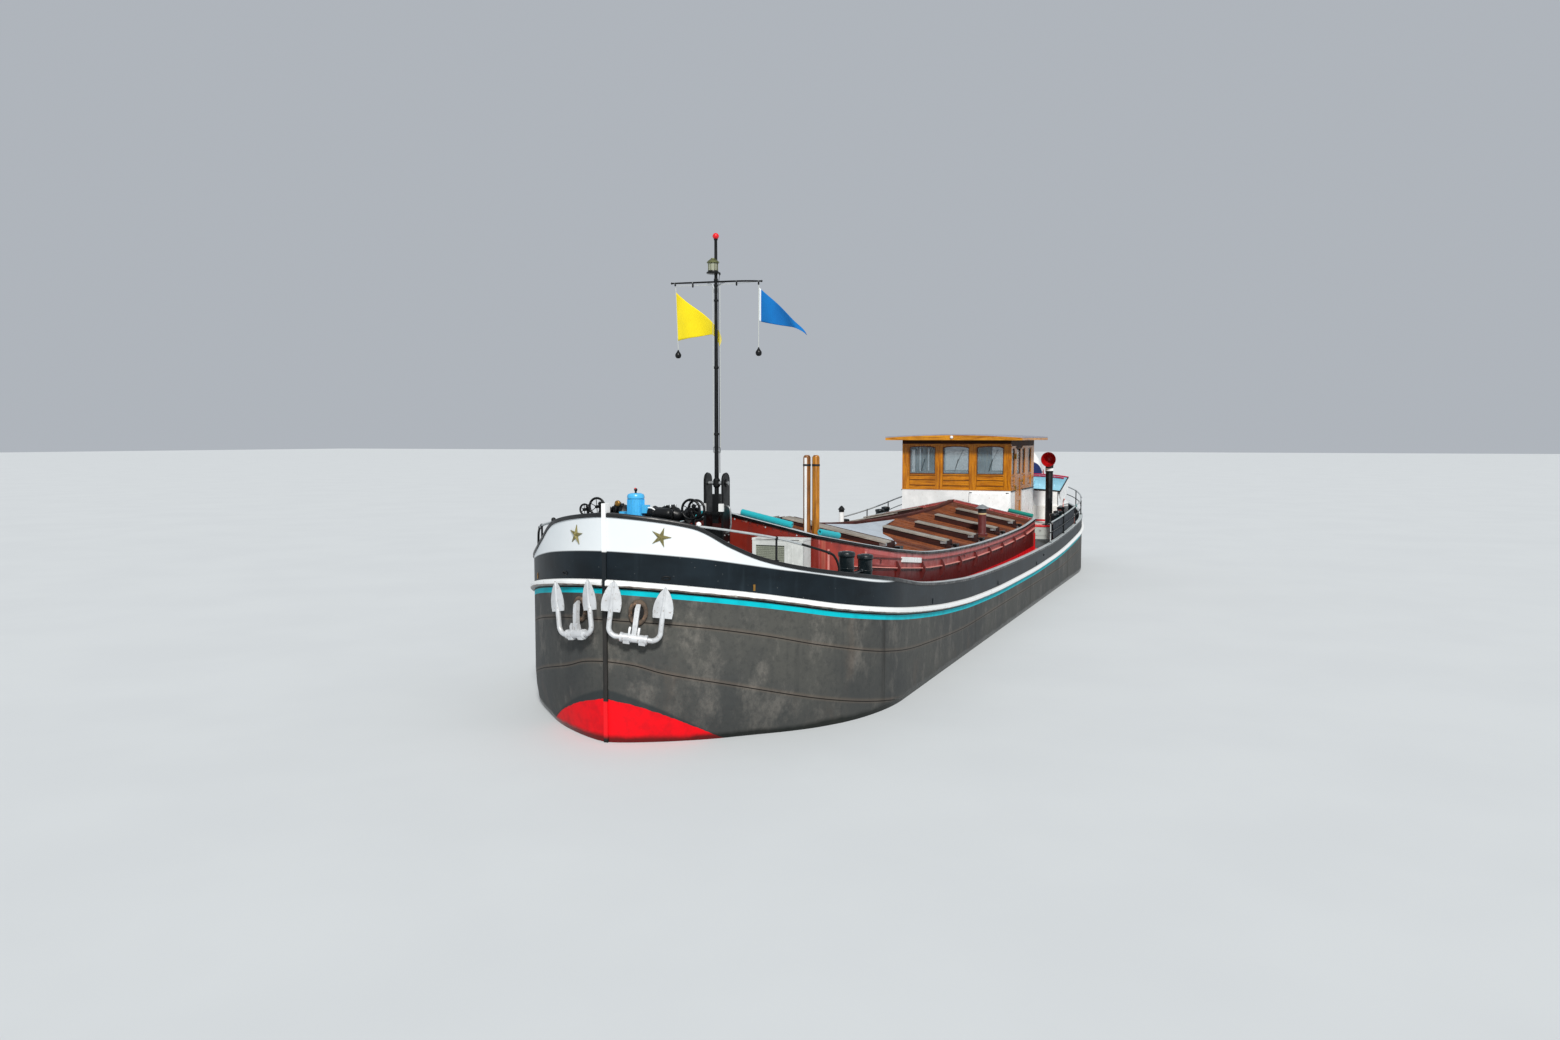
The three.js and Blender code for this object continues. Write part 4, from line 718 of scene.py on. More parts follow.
def bulwark(name, first, last, side, paint):
    shape = Shape()
    bulwark_strip(shape, first, last, side, paint)
    spot = first + 0.9
    while spot < last - 0.4:
        top, foot = rail_top(spot) - 0.07, deck_at(spot) + 0.002
        near = [edge_at(spot, side, PLATE - 0.002, z) for z in (foot, top)]
        toe = edge_at(spot, side, PLATE + 0.16, foot)
        lip = edge_at(spot, side, PLATE + 0.035, top)
        shape.slab([near[0], toe, lip, near[1]], (0.012, 0, 0), slate)
        spot += 1.35
    marks = bulwark_marks(lambda p: p.z - read_table(PANEL_LOW, BOW_X - p.x))
    return shape.build(name, replaces=[name], marks=marks)


def stern_bulwark(paint):
    shape = Shape()
    for side in (1, -1):
        bulwark_strip(shape, LENGTH - STERN_LENGTH + SEAT, LENGTH, side, paint)
    marks = bulwark_marks(lambda p: -1.0)
    return shape.build("bulwark_stern", replaces=["bulwark_stern"], marks=marks)


def strake_profile(aft):
    top = strake_top(aft)
    low = top - STRAKE_HEIGHT
    return [(-SEAT, top), (-0.022, top - 0.002), (-0.038, top - 0.008), (-0.047, top - 0.018),
            (-0.05, top - 0.03),
            (-0.05, low + 0.03), (-0.047, low + 0.018), (-0.036, low + 0.008), (-0.02, low + 0.003),
            (-SEAT, low)]


def strake(name, side, paint):
    shape = Shape()
    along_edge(shape, 0, LENGTH - 0.06, side, strake_profile, lambda j: paint)
    return shape.build(name, replaces=[name], crease=60, marks={
        "down": lambda p: strake_top(BOW_X - p.x) - p.z,
    })


def stem_post():
    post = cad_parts["stem_post"]
    look = Look("stem_paint", rgb(44, 42, 40), 0.5, Specular_IOR_Level=0.3)
    z = look.axis("Z")
    look.cover(look.span(look.noise(14, 5, stretch=(1, 1, 0.2)), 0.4, 0.7), rgb(24, 24, 24))
    look.cover(look.span(z, 1.6, 1.7), SLATE)
    look.cover(look.span(z, 2.07, 2.09), WHITE)
    look.cover(look.span(z, 0.46, 0.44), RED)
    look.cover(look.span(z, 0.1, 0.03), rgb(24, 26, 24))
    look.relief(look.noise(30, 4), 0.003, 0.3)
    post.data.materials.clear()
    post.data.materials.append(look.material)
    soften(post, 0.006)


def star(side):
    """A five-pointed embossed star on the bow's white panel."""
    aft, tilt = (0.176, -19) if side > 0 else (0.103, -7)
    spot = edge_at(aft, side, 0, 2.24)
    out = outward(aft, side)
    across = Vector((0, 0, 1)).cross(out)
    shape = Shape()
    ring = []
    for i in range(10):
        a = math.pi / 2 + i * math.pi / 5 + math.radians(tilt)
        r = 0.114 if i % 2 == 0 else 0.036
        ring.append(spot + across * r * math.cos(a) + Vector((0, 0, 1)) * r * math.sin(a))
    back = [p - out * 0.004 for p in ring]
    rim = [p + out * 0.007 for p in ring]
    shape.grid([back, rim], star_brass, wrap_columns=True)
    shape.add(rim + [spot + out * 0.034], [(i, (i + 1) % 10, 10) for i in range(10)], star_brass)
    return shape.build(f"star_{'port' if side > 0 else 'starboard'}", crease=10)


hull()
topside_paint = bulwark_paint()
cap_paint = rail_cap_paint()
white_stripe = strake_paint()
for word, side in SIDES:
    bulwark(f"bulwark_bow_{word}", 0, BOW_LENGTH, side, topside_paint)
    bulwark(f"bulwark_side_{word}", BOW_LENGTH + SEAT, LENGTH - STERN_LENGTH, side, topside_paint)
    strake(f"rubbing_strake_{word}", side, white_stripe)
    star(side)
stern_bulwark(topside_paint)
stem_post()

# Ground tackle
ANCHOR = {"y": 0.36, "aft": 0.075, "top": 1.75, "crown": 1.165, "ring": 1.43, "half": 0.28, "out": 0.097,
          "arm": 0.028, "bend": 0.095, "turn": 19, "lean": 7}
FLUKE = ((-0.102, 0.333), (0.102, 0.325), (0.11, 0.262), (0.107, 0.21), (0.097, 0.16), (0.078, 0.108),
         (0.052, 0.056),
         (0.02, 0.014), (0, 0), (-0.02, 0.014), (-0.052, 0.056), (-0.078, 0.108), (-0.097, 0.16),
         (-0.107, 0.21),
         (-0.11, 0.262))


def on_bow(side):
    lean = Matrix.Rotation(math.radians(-side * ANCHOR["lean"]), 4, "X")
    turn = Matrix.Rotation(math.radians(side * ANCHOR["turn"]), 4, "Z")
    spot = Matrix.Translation((BOW_X - ANCHOR["aft"], side * ANCHOR["y"], ANCHOR["ring"]))
    return spot @ turn @ lean @ Matrix.Translation((0, 0, -ANCHOR["ring"]))


def anchor(word, side, paint):
    shape = Shape()
    half, top, crown, out, bend = (ANCHOR[k] for k in ("half", "top", "crown", "out", "bend"))
    corner = [math.pi + i * math.pi / 12 for i in range(7)]
    left = [(-half + bend + bend * math.cos(a), crown + bend + bend * math.sin(a)) for a in corner]
    path = [(-half, top - 0.2), (-half, crown + bend + 0.1)] + left + [(0, crown)]
    path += [(-y, z) for y, z in reversed(path[:-1])]
    shape.tube([(out, y, z) for y, z in path], ANCHOR["arm"], paint, 16)
    for y in (-half, half):
        shape.tube([(out, y, top - 0.24), (out + 0.004, y, top - 0.1), (out + 0.008, y, top + 0.006)],
                   lambda share: ANCHOR["arm"] * (1 - 0.72 * share), paint, 14)
        rim = [Vector((out + 0.004, y + across, top - drop)) for across, drop in FLUKE]
        spine = Vector((out + 0.02, y, top - 0.2))
        inner = [spine.lerp(p, 0.45) + Vector((0.002, 0, 0)) for p in rim]
        back = [p - Vector((0.012, 0, 0)) for p in rim]
        shape.grid([back, rim, inner, [spine] * len(rim)], paint, wrap_columns=True)
        shape.add(back, [list(range(len(back)))], paint)
    shape.rod((out - 0.004, -0.14, crown), (out - 0.004, 0.14, crown), 0.046, paint, sides=24)
    for y in (-0.135, 0.135):
        shape.rod((out - 0.004, y - 0.014, crown), (out - 0.004, y + 0.014, crown), 0.052, paint, sides=24)
    for y in (-0.075, 0.095):
        shape.slab([(out - 0.035, y - 0.035, crown - 0.03), (out + 0.04, y - 0.035, crown - 0.03),
                    (out + 0.03, y - 0.03, crown - 0.062), (out - 0.025, y - 0.03, crown - 0.062)],
                   (0, 0.07, 0), paint)
    for y in (-0.05, 0.05):
        lug = [(out - 0.04, y - 0.011, crown), (out + 0.035, y - 0.011, crown),
               (out + 0.03, y - 0.011, crown + 0.095),
               (out + 0.008, y - 0.011, crown + 0.122), (out - 0.02, y - 0.011, crown + 0.11)]
        shape.slab(lug, (0, 0.022, 0), paint)
    shank = [(out - 0.012, crown + 0.02, 0.027), (out - 0.025, crown + 0.2, 0.026),
             (out - 0.045, crown + 0.32, 0.026),
             (out - 0.1, crown + 0.36, 0.024), (out - 0.14, crown + 0.34, 0.022)]
    shape.loft([[(x - 0.026, -w, z), (x + 0.026, -w, z), (x + 0.026, w, z + 0.004),
                 (x - 0.026, w, z + 0.004)]
                for x, z, w in shank], paint)
    shape.move(on_bow(side))
    return shape.build(f"anchor_piece_{word}", replaces=[f"anchor_{word}"], bevel=0.004,
                       crease=40)


def hawse(word, side):
    shape = Shape()
    shape.ring((0.006, 0, ANCHOR["ring"]), 0.1, 0.026, rust, "X", 48, 1.15, 0.85)
    # Painted shade: a black disc in the ring stands for the dark hawse pipe behind it.
    shape.lathe((-0.006, 0, ANCHOR["ring"]), [(0.001, 0), (0.098, 0), (0.098, 0.008), (0.001, 0.008)],
                painted("hawse_hole_painted_shade", rgb(12, 12, 12), 0.7), 32, "X")
    shape.move(on_bow(side))
    return shape.build(f"hawse_piece_{word}", replaces=[f"hawse_ring_{word}"], crease=60)


silver = bare_metal("anchor_paint", rgb(208, 211, 214), 0.38, rgb(150, 140, 132), 0.25)
for word, side in SIDES:
    anchor(word, side, silver)
    hawse(word, side)

# Windlass
WINDLASS = {"x": 10.37, "z": 2.43, "frame": 0.33, "base": 0.8}
WHEEL_X = 10.6

# Brake wheels: x, y, height of the middle, radius, bar
BRAKE_WHEELS = ((WHEEL_X, 0.705, 2.515, 0.108, 0.011), (WHEEL_X, -0.495, 2.518, 0.098, 0.011),
                (WHEEL_X, -0.66, 2.482, 0.06, 0.009))
SPARE_WHEELS = ((WHEEL_X - 0.05, 0.748, 2.518, 0.097, 0.011), (WHEEL_X - 0.02, 0.764, 2.477, 0.05, 0.008),
                (WHEEL_X - 0.03, -0.406, 2.477, 0.069, 0.009))

sky_blue = painted("motor_paint", rgb(74, 184, 240), 0.3, 0.2, 3)
yellow_brown = bare_metal("worn_brass", rgb(158, 118, 56), 0.4, rgb(90, 64, 40), 0.7)


def bolts(shape, places, radius, height, look, axis="Z"):
    for place in places:
        shape.lathe(place, [(radius, 0), (radius, height * 0.7), (radius * 0.7, height), (1e-4, height)],
                    look, 6, axis)


def hand_wheel(shape, x, y, z, radius, bar, look, spokes=3):
    shape.ring((x, y, z), radius, bar * 1.25, look, "X", 44)
    shape.rod((x - 0.012, y, z), (x + 0.02, y, z), 0.018, look)
    for i in range(spokes):
        a = math.radians(35) + i * math.pi / spokes
        reach = Vector((0, math.cos(a), math.sin(a))) * radius
        middle = Vector((x + 0.006, y, z))
        shape.rod(middle - reach, middle + reach, 0.0042, look, sides=10)


def windlass_frame():
    shape = Shape()
    x, z, cheek_y = WINDLASS["x"], WINDLASS["z"], WINDLASS["frame"]
    deck = deck_at(0.88)
    shape.box((x - 0.28, -0.8, deck - 0.2), (x + 0.24, 0.8, deck + 0.09), black)
    bolts(shape, [(x + a, b, deck + 0.09) for a in (-0.24, 0.2)
                  for b in (-0.72, -0.5, -0.16, 0.16, 0.5, 0.72)], 0.017, 0.016, zinc)
    for side in (1, -1):
        y = side * cheek_y
        outline = [(x - 0.26, deck), (x + 0.2, deck), (x + 0.09, z + 0.09), (x - 0.09, z + 0.09)]
        shape.slab([(a, y - 0.02, b) for a, b in outline], (0, 0.04, 0), black)
        for (a, b), (c, d) in zip(outline[1:], outline[2:] + outline[:1]):
            shape.rod((a, y, b), (c, y, d), 0.026, black, sides=12)
        shape.lathe((x, y - 0.055, z), [(0.034, 0), (0.07, 0), (0.075, 0.01), (0.075, 0.1), (0.07, 0.11),
                                        (0.034, 0.11)],
                    black, 32, "Y")
        bolts(shape, [(x + a, y + b, z + 0.088) for a in (-0.062, 0.062) for b in (-0.03, 0.03)], 0.012,
              0.03, zinc)
    for height in (-0.29, -0.62):
        shape.rod((x - 0.15, -cheek_y, z + height), (x - 0.15, cheek_y, z + height), 0.032, black)
    shape.box((x + 0.13, -0.3, deck), (x + 0.24, 0.3, z - 0.06), black)
    shape.box((x + 0.235, -0.22, deck + 0.16), (x + 0.246, 0.22, z - 0.14), black)
    bolts(shape, [(x + 0.245, a, b) for a in (-0.2, 0, 0.2) for b in (deck + 0.19, z - 0.17)], 0.012, 0.01,
          zinc, "X")
    for wx, y, wz, radius, bar in BRAKE_WHEELS:
        post_x = x + 0.16
        shape.rod((post_x, y, deck), (post_x, y, wz + 0.03), 0.02, black, 0.017)
        shape.rod((post_x, y, wz), (wx, y, wz), 0.013, dark_iron)
        shape.ball((post_x, y, wz + 0.03), 0.027, black)
        hand_wheel(shape, wx, y, wz, radius, bar, black)
    return shape.build("windlass_bed", replaces=["windlass_frame"], bevel=0.004)


def windlass_trim():
    """The blue motor, the spare wheels and the small fittings about the windlass."""
    shape = Shape()
    x = WINDLASS["x"]
    place = (x + 0.19, -0.011, 0.018)
    shape.lathe(place, [(0.1, 2.371), (0.116, 2.372), (0.118, 2.392), (0.1, 2.396)], yellow_brown, 32)
    shape.lathe(place, [(0.05, 2.39), (0.094, 2.392), (0.096, 2.41), (0.09, 2.415), (0.09, 2.6),
                        (0.098, 2.604), (0.098, 2.63),
                        (0.088, 2.65), (0.06, 2.662), (1e-4, 2.664)], sky_blue, 36)
    for a in round_steps(18):
        out = Vector((math.cos(a), math.sin(a), 0))
        across = Vector((-out.y, out.x, 0)) * 0.003
        foot = Vector(place) + out * 0.086 + Vector((0, 0, 2.42))
        shape.slab([foot - across, foot + out * 0.013 - across,
                    foot + out * 0.013 - across + Vector((0, 0, 0.175)),
                    foot - across + Vector((0, 0, 0.175))], across * 2, sky_blue)
    shape.rod((x + 0.19, -0.011, 2.67), (x + 0.19, -0.011, 2.703), 0.012, black)
    shape.ball((x + 0.19, -0.011, 2.718), 0.02, black)
    shape.ball((x + 0.2, -0.011, 2.732), 0.01, red)
    housing = [(1e-4, 0.13), (0.06, 0.13), (0.066, 0.136), (0.066, 0.215), (0.071, 0.218), (0.071, 0.232),
               (0.066, 0.235), (0.066, 0.40),
               (0.06, 0.425), (0.045, 0.44), (0.02, 0.447), (1e-4, 0.448)]
    shape.lathe((x + 0.17, 0, 2.452), housing, black, 36, "Y")
    shape.box((x + 0.13, 0.16, 2.3), (x + 0.21, 0.4, 2.42), black)
    shape.box((x + 0.16, 0.09, 2.46), (x + 0.24, 0.155, 2.55), sky_blue)
    shape.tube([(x + 0.2, 0.15, 2.47), (x + 0.2, 0.2, 2.46), (x + 0.2, 0.25, 2.4), (x + 0.19, 0.25, 2.3)],
               0.012, sky_blue)
    shape.tube([(x + 0.2, 0.15, 2.52), (x + 0.21, 0.22, 2.51), (x + 0.2, 0.28, 2.44),
                (x + 0.19, 0.285, 2.3)], 0.01, white)
    shape.box((x + 0.17, -0.2, 2.36), (x + 0.24, -0.13, 2.47), sky_blue)
    shape.rod((x + 0.24, -0.165, 2.42), (x + 0.255, -0.165, 2.42), 0.02, white)
    shape.lathe((WHEEL_X - 0.02, -0.224, 2.562),
                [(1e-4, 0), (0.03, 0), (0.034, 0.01), (0.034, 0.03), (0.024, 0.04), (1e-4, 0.042)],
                yellow_brown, 24, "X")
    shape.rod((WHEEL_X - 0.05, -0.224, 2.37), (WHEEL_X - 0.05, -0.224, 2.57), 0.012, dark_iron)
    shape.rod((WHEEL_X - 0.06, -0.224, 2.562), (WHEEL_X - 0.01, -0.224, 2.562), 0.014, dark_iron)
    for wx, y, wz, radius, bar in SPARE_WHEELS:
        shape.rod((x + 0.16, y, wz), (wx, y, wz), 0.011, dark_iron)
        hand_wheel(shape, wx, y, wz, radius, bar, black, 2)
    for y, other in ((0.752, 0.705), (0.764, 0.705), (-0.406, -0.495)):
        shape.rod((x + 0.16, other, 2.45), (x + 0.16, y, 2.5), 0.015, black)
        shape.rod((x + 0.16, y, 2.47), (x + 0.16, y, 2.52), 0.016, black)
    return shape.build("windlass_motor", bevel=0.002)


def windlass_shaft():
    shape = Shape()
    x, z = WINDLASS["x"], WINDLASS["z"]
    shape.rod((x, -0.6, z), (x, 0.6, z), 0.0296, dark_iron, sides=32)
    for side in (1, -1):
        head = [(0.029, 0.4), (0.084, 0.4), (0.09, 0.408), (0.086, 0.42), (0.066, 0.44), (0.056, 0.475),
                (0.058, 0.505),
                (0.074, 0.53), (0.089, 0.54), (0.09, 0.556), (0.08, 0.56), (0.029, 0.56)]
        gipsy = [(0.029, 0.12), (0.1, 0.12), (0.102, 0.128), (0.096, 0.142), (0.078, 0.165), (0.07, 0.19),
                 (0.078, 0.215),
                 (0.096, 0.238), (0.102, 0.252), (0.1, 0.26), (0.029, 0.26)]
        for profile, look in ((head, black), (gipsy, dark_iron)):
            shape.lathe((x, 0, z), profile, look, 40, "Y", side)
        for a in round_steps(6):
            out = Vector((math.cos(a), 0, math.sin(a)))
            spot = Vector((x, side * 0.19, z)) + out * 0.082
            shape.rod(spot - Vector((0, 0.045, 0)), spot + Vector((0, 0.045, 0)), 0.014, dark_iron, sides=10)
        shape.rod((x, side * 0.59, z), (x, side * 0.6, z), 0.04, black)
        bolts(shape, [(x + 0.02 * math.cos(a), side * 0.6, z + 0.02 * math.sin(a)) for a in round_steps(3)],
              0.007, 0.01 * side, zinc, "Y")
    return shape.build("windlass_drums", body="windlass", replaces=["windlass_shaft"],
                       bevel=0.002)


windlass_frame()
windlass_trim()
windlass_shaft()

# Mast
MAST = {"x": 8.5, "pivot": 2.72, "top": 5.84, "yard": 5.28, "yard_half": 0.635}
lantern_glass = Look("lantern_glass", rgb(212, 214, 190), 0.1, Transmission_Weight=0.6, IOR=1.45)
lantern_glass.cover(lantern_glass.span(lantern_glass.noise(8), 0.4, 0.7, 0, 0.4), rgb(170, 176, 140))
patina = bare_metal("patina_brass", rgb(118, 122, 84), 0.45, rgb(70, 86, 66), 0.8)


def mast():
    shape = Shape()
    x, pivot, top, yard = (MAST[k] for k in ("x", "pivot", "top", "yard"))
    shape.box((x - 0.045, -0.042, 2.2), (x + 0.045, 0.042, 2.58), black)
    shape.lathe((x, 0, 0), [(0.03, pivot - 0.06), (0.046, pivot - 0.04), (0.046, pivot + 0.04),
                            (0.032, pivot + 0.06)], black, 32)
    shape.rod((x, 0, 2.55), (x, 0, top), 0.0295, black, 0.019, 32)
    shape.rod((x, -0.17, pivot), (x, 0.17, pivot), 0.0256, zinc, sides=32)
    for z, r in ((3.35, 0.0285), (4.2, 0.0255), (5.05, 0.022), (5.31, 0.021), (5.24, 0.021)):
        shape.lathe((x, 0, 0), [(r, z - 0.016), (r + 0.006, z - 0.014), (r + 0.006, z + 0.014),
                                (r, z + 0.016)], black, 32)
    shape.ball((x, 0, top + 0.02), 0.041, red, 28)
    shape.rod((x, 0, top - 0.03), (x, 0, top - 0.015), 0.026, black)
    half = MAST["yard_half"]
    shape.tube([(x, -half, yard + 0.018), (x, -half * 0.5, yard + 0.012), (x, half * 0.5, yard),
                (x, half, yard - 0.016)],
               lambda share: 0.0085 + 0.003 * math.sin(math.pi * share) ** 0.5, black, 16)
    for side in (1, -1):
        shape.tube([(x, side * 0.03, yard - 0.13), (x, side * 0.034, yard - 0.07),
                    (x, side * 0.06, yard - 0.02), (x, side * 0.12, yard - 0.01)],
                   0.0055, zinc, 10)
    for y, z in ((-half, yard + 0.018), (half, yard - 0.016)):
        shape.ball((x, y, z), 0.0145, black, 14)
    for y, rise, drop in ((-0.585, 0.016, 0.03), (-0.33, 0.012, 0.055), (0.29, 0.0, 0.05),
                          (0.595, -0.015, 0.04)):
        z = yard + rise
        shape.ring((x, y, z), 0.012, 0.003, zinc, "Y", 20)
        shape.lathe((x, y, z - 0.008 - drop), [(1e-4, 0), (0.009, 0.003), (0.011, 0.01),
                                               (0.011, drop - 0.004), (1e-4, drop)], black, 14)
    return shape.build("mast_spar", body="mast", replaces=["mast"], bevel=0.003)


def lantern():
    shape = Shape()
    x = MAST["x"]
    start = len(shape.points)
    shape.lathe((x, 0, 0), [(0.03, 5.385), (0.08, 5.386), (0.085, 5.392), (0.085, 5.404), (0.07, 5.412),
                            (0.066, 5.424),
                            (0.03, 5.426)], black, 32)
    shape.lathe((x, 0, 0), [(0.03, 5.42), (0.058, 5.42), (0.061, 5.44), (0.061, 5.5), (0.058, 5.52),
                            (0.03, 5.52)],
                lantern_glass, 32)
    for i in range(8):
        a = i * math.pi / 4
        out = Vector((math.cos(a), math.sin(a), 0))
        shape.rod(Vector((x, 0, 5.415)) + out * 0.064, Vector((x, 0, 5.525)) + out * 0.064, 0.0035, patina,
                  sides=8)
    shape.lathe((x, 0, 0), [(0.03, 5.518), (0.078, 5.52), (0.08, 5.53), (0.07, 5.542), (0.05, 5.56),
                            (0.03, 5.57), (0.029, 5.58)],
                patina, 32)
    shape.move(Matrix.Translation((0.028, -0.026, 0)), start)
    shape.rod((x, 0.055, 5.4), (x, 0.055, 5.37), 0.01, black)
    shape.tube([(x, 0.055, 5.38), (x, 0.045, 5.33), (x, 0.036, 5.2), (x, 0.037, 4.9), (x, 0.04, 4.2),
                (x, 0.044, 3.4), (x, 0.047, 2.85)],
               0.004, black, 8)
    return shape.build("mast_lantern", body="mast", bevel=0.0015)


def halyards():
    """Signal halyards held taut by pear weights, and their tails belayed on a cleat on the mast."""
    shape = Shape()
    x, yard = MAST["x"], MAST["yard"]
    line = Look("halyard_line", rgb(214, 218, 208), 0.8)
    line.cover(line.waves(60, "Z", 1), rgb(176, 180, 172))
    pear = [(1e-4, 0), (0.022, 0.004), (0.036, 0.02), (0.0405, 0.04), (0.036, 0.06), (0.022, 0.08),
            (0.01, 0.1), (0.005, 0.112), (1e-4, 0.114)]
    for y, lean, foot in ((-0.578, 0.03, 4.44), (0.598, -0.003, 4.44)):
        shape.rod((x, y, yard - 0.04), (x, y + lean, foot), 0.0034, line, sides=8)
        shape.lathe((x, y + lean, foot - 0.11), pear, black, 24)
        inner = math.copysign(0.05, y)
        shape.rod((x - 0.012, inner, yard - 0.03), (x - 0.012, inner, 3.16), 0.0026, line, sides=8)
        shape.rod((x - 0.012, y, yard - 0.018), (x - 0.012, inner, yard - 0.03), 0.0026, line, sides=8)
    for z in (3.12, 3.18):
        shape.rod((x - 0.012, -0.04, z), (x - 0.012, 0.04, z), 0.006, zinc)
    for y in (-0.042, 0.042):
        shape.tube([(x - 0.012, y, 3.11), (x - 0.012, y * 1.15, 3.13), (x - 0.012, y * 1.15, 3.17),
                    (x - 0.012, y, 3.19)], 0.006, zinc)
    return shape.build("mast_halyards", body="mast")


def tabernacle():
    shape = Shape()
    x, deck = MAST["x"], deck_at(2.75)
    for side in (1, -1):
        arch = [(0.095 * math.cos(a), 2.755 + 0.095 * math.sin(a))
                for a in (i * math.pi / 12 for i in range(13))]
        outline = [(x + 0.095, deck - 0.1)] + [(x + a, b) for a, b in arch] + [(x - 0.095, deck - 0.1)]
        inner = side * 0.11
        shape.slab([(a, inner, b) for a, b in outline], (0, side * 0.028, 0), black)
        for a, b in zip(outline, outline[1:]):
            shape.rod((a[0], side * 0.134, a[1]), (b[0], side * 0.134, b[1]), 0.008, black, sides=8)
        shape.lathe((x, side * 0.138, 2.72), [(0.0265, 0), (0.05, 0), (0.05, side * 0.012),
                                              (0.0265, side * 0.014)], black, 28, "Y")
        bolts(shape, [(x + a, side * 0.138, z) for a in (-0.06, 0.06) for z in (1.75, 1.95, 2.05)], 0.012,
              side * 0.012, zinc, "Y")
        toe = [(x + 0.08, side * 0.138, deck + 0.42), (x + 0.08, side * 0.235, deck + 0.11),
               (x + 0.08, side * 0.138, deck + 0.11)]
        shape.slab(toe, (-0.014, 0, 0), black)
        shape.slab([p - Vector((0.146, 0, 0)) for p in map(Vector, toe)], (-0.014, 0, 0), black)
    shape.box((x - 0.22, -0.24, deck - 0.1), (x + 0.22, 0.24, deck + 0.11), black)
    bolts(shape, [(x + a, b, deck + 0.11) for a in (-0.18, 0.18) for b in (-0.2, 0, 0.2)], 0.016, 0.016,
          zinc)
    shape.box((x - 0.08, -0.12, deck), (x + 0.08, 0.12, 2.12), black)
    shape.box((x + 0.078, -0.1, 1.5), (x + 0.092, 0.1, 2.08), black)
    shape.tube([(x + 0.04, 0.15, 2.43), (x + 0.06, 0.2, 2.42), (x + 0.065, 0.225, 2.36),
                (x + 0.06, 0.23, 2.2), (x + 0.05, 0.2, 2.1),
                (x + 0.04, 0.145, 2.08)], 0.011, zinc)
    for y, wide in ((-0.128, 0.022), (0.112, 0.05)):
        shape.box((x + 0.094, y - wide / 2, 2.36), (x + 0.13, y + wide / 2 + 0.012, 2.46), white)
    shape.box((x + 0.09, -0.13, 2.335), (x + 0.13, 0.135, 2.352), black)
    return shape.build("mast_case", replaces=["mast_tabernacle"], bevel=0.003)


mast()
lantern()
halyards()
tabernacle()

# Bollards and rails
teal_black = painted("bollard_paint", rgb(18, 28, 32), 0.26, 0.2, 2, rgb(88, 84, 78))


def bollards(name, aft, side, y, spread, height):
    shape = Shape()
    x, y = BOW_X - aft, side * y
    deck = deck_at(aft)
    reach = spread / 2 + 0.13
    shape.box((x - reach, y - 0.11, deck - 0.25), (x + reach, y + 0.11, deck + 0.06), teal_black)
    bolts(shape, [(x + a * (reach - 0.03), y + b, deck + 0.06) for a in (-1, 0, 1) for b in (-0.08, 0.08)],
          0.014, 0.016, zinc)
    for share in (-0.5, 0.5):
        spot = x - share * spread
        top = deck_at(aft + share * spread) + height
        profile = [(0.09, deck - 0.2), (0.112, deck + 0.06), (0.112, deck + 0.075), (0.092, deck + 0.09),
                   (0.092, top - 0.075),
                   (0.096, top - 0.06), (0.105, top - 0.05), (0.105, top - 0.016), (0.1, top - 0.007),
                   (0.088, top),
                   (0.06, top - 0.001), (0.056, top + 0.006), (1e-4, top + 0.012)]
        shape.lathe((spot, y, 0), profile, teal_black, 40)
        for band in (deck + 0.22, top - 0.2):
            shape.lathe((spot, y, 0), [(0.092, band - 0.01), (0.098, band - 0.008), (0.098, band + 0.008),
                                       (0.092, band + 0.01)],
                        teal_black, 40)
        pin = deck + height - 0.24
        for way in (-1, 1):
            shape.rod((spot + way * 0.08, y, pin), (spot + way * 0.15, y, pin), 0.02, teal_black)
            shape.ball((spot + way * 0.152, y, pin), 0.023, zinc, 14)
    shape.rod((x - spread / 2, y, deck + height - 0.24), (x + spread / 2, y, deck + height - 0.24), 0.022,
              teal_black)
    return shape.build(name.replace("bollards", "bollard_pair"), replaces=[name],
                       bevel=0.003)


# Top of each hand rail: distance aft, height
HAND_RAILS = {
    "port": ((0.4, 2.346), (0.69, 2.277), (1.005, 2.197), (1.26, 2.116), (1.61, 1.995), (1.7, 1.93),
             (1.75, 1.83)),
    "starboard": ((0.4, 2.346), (0.69, 2.277), (0.78, 2.244), (0.85, 2.19), (0.88, 2.1)),
}
RAIL_POST = {"port": 1.0, "starboard": 0.69}
worn_rail = painted("worn_rail", rgb(168, 174, 176), 0.4, 0.5, 4)


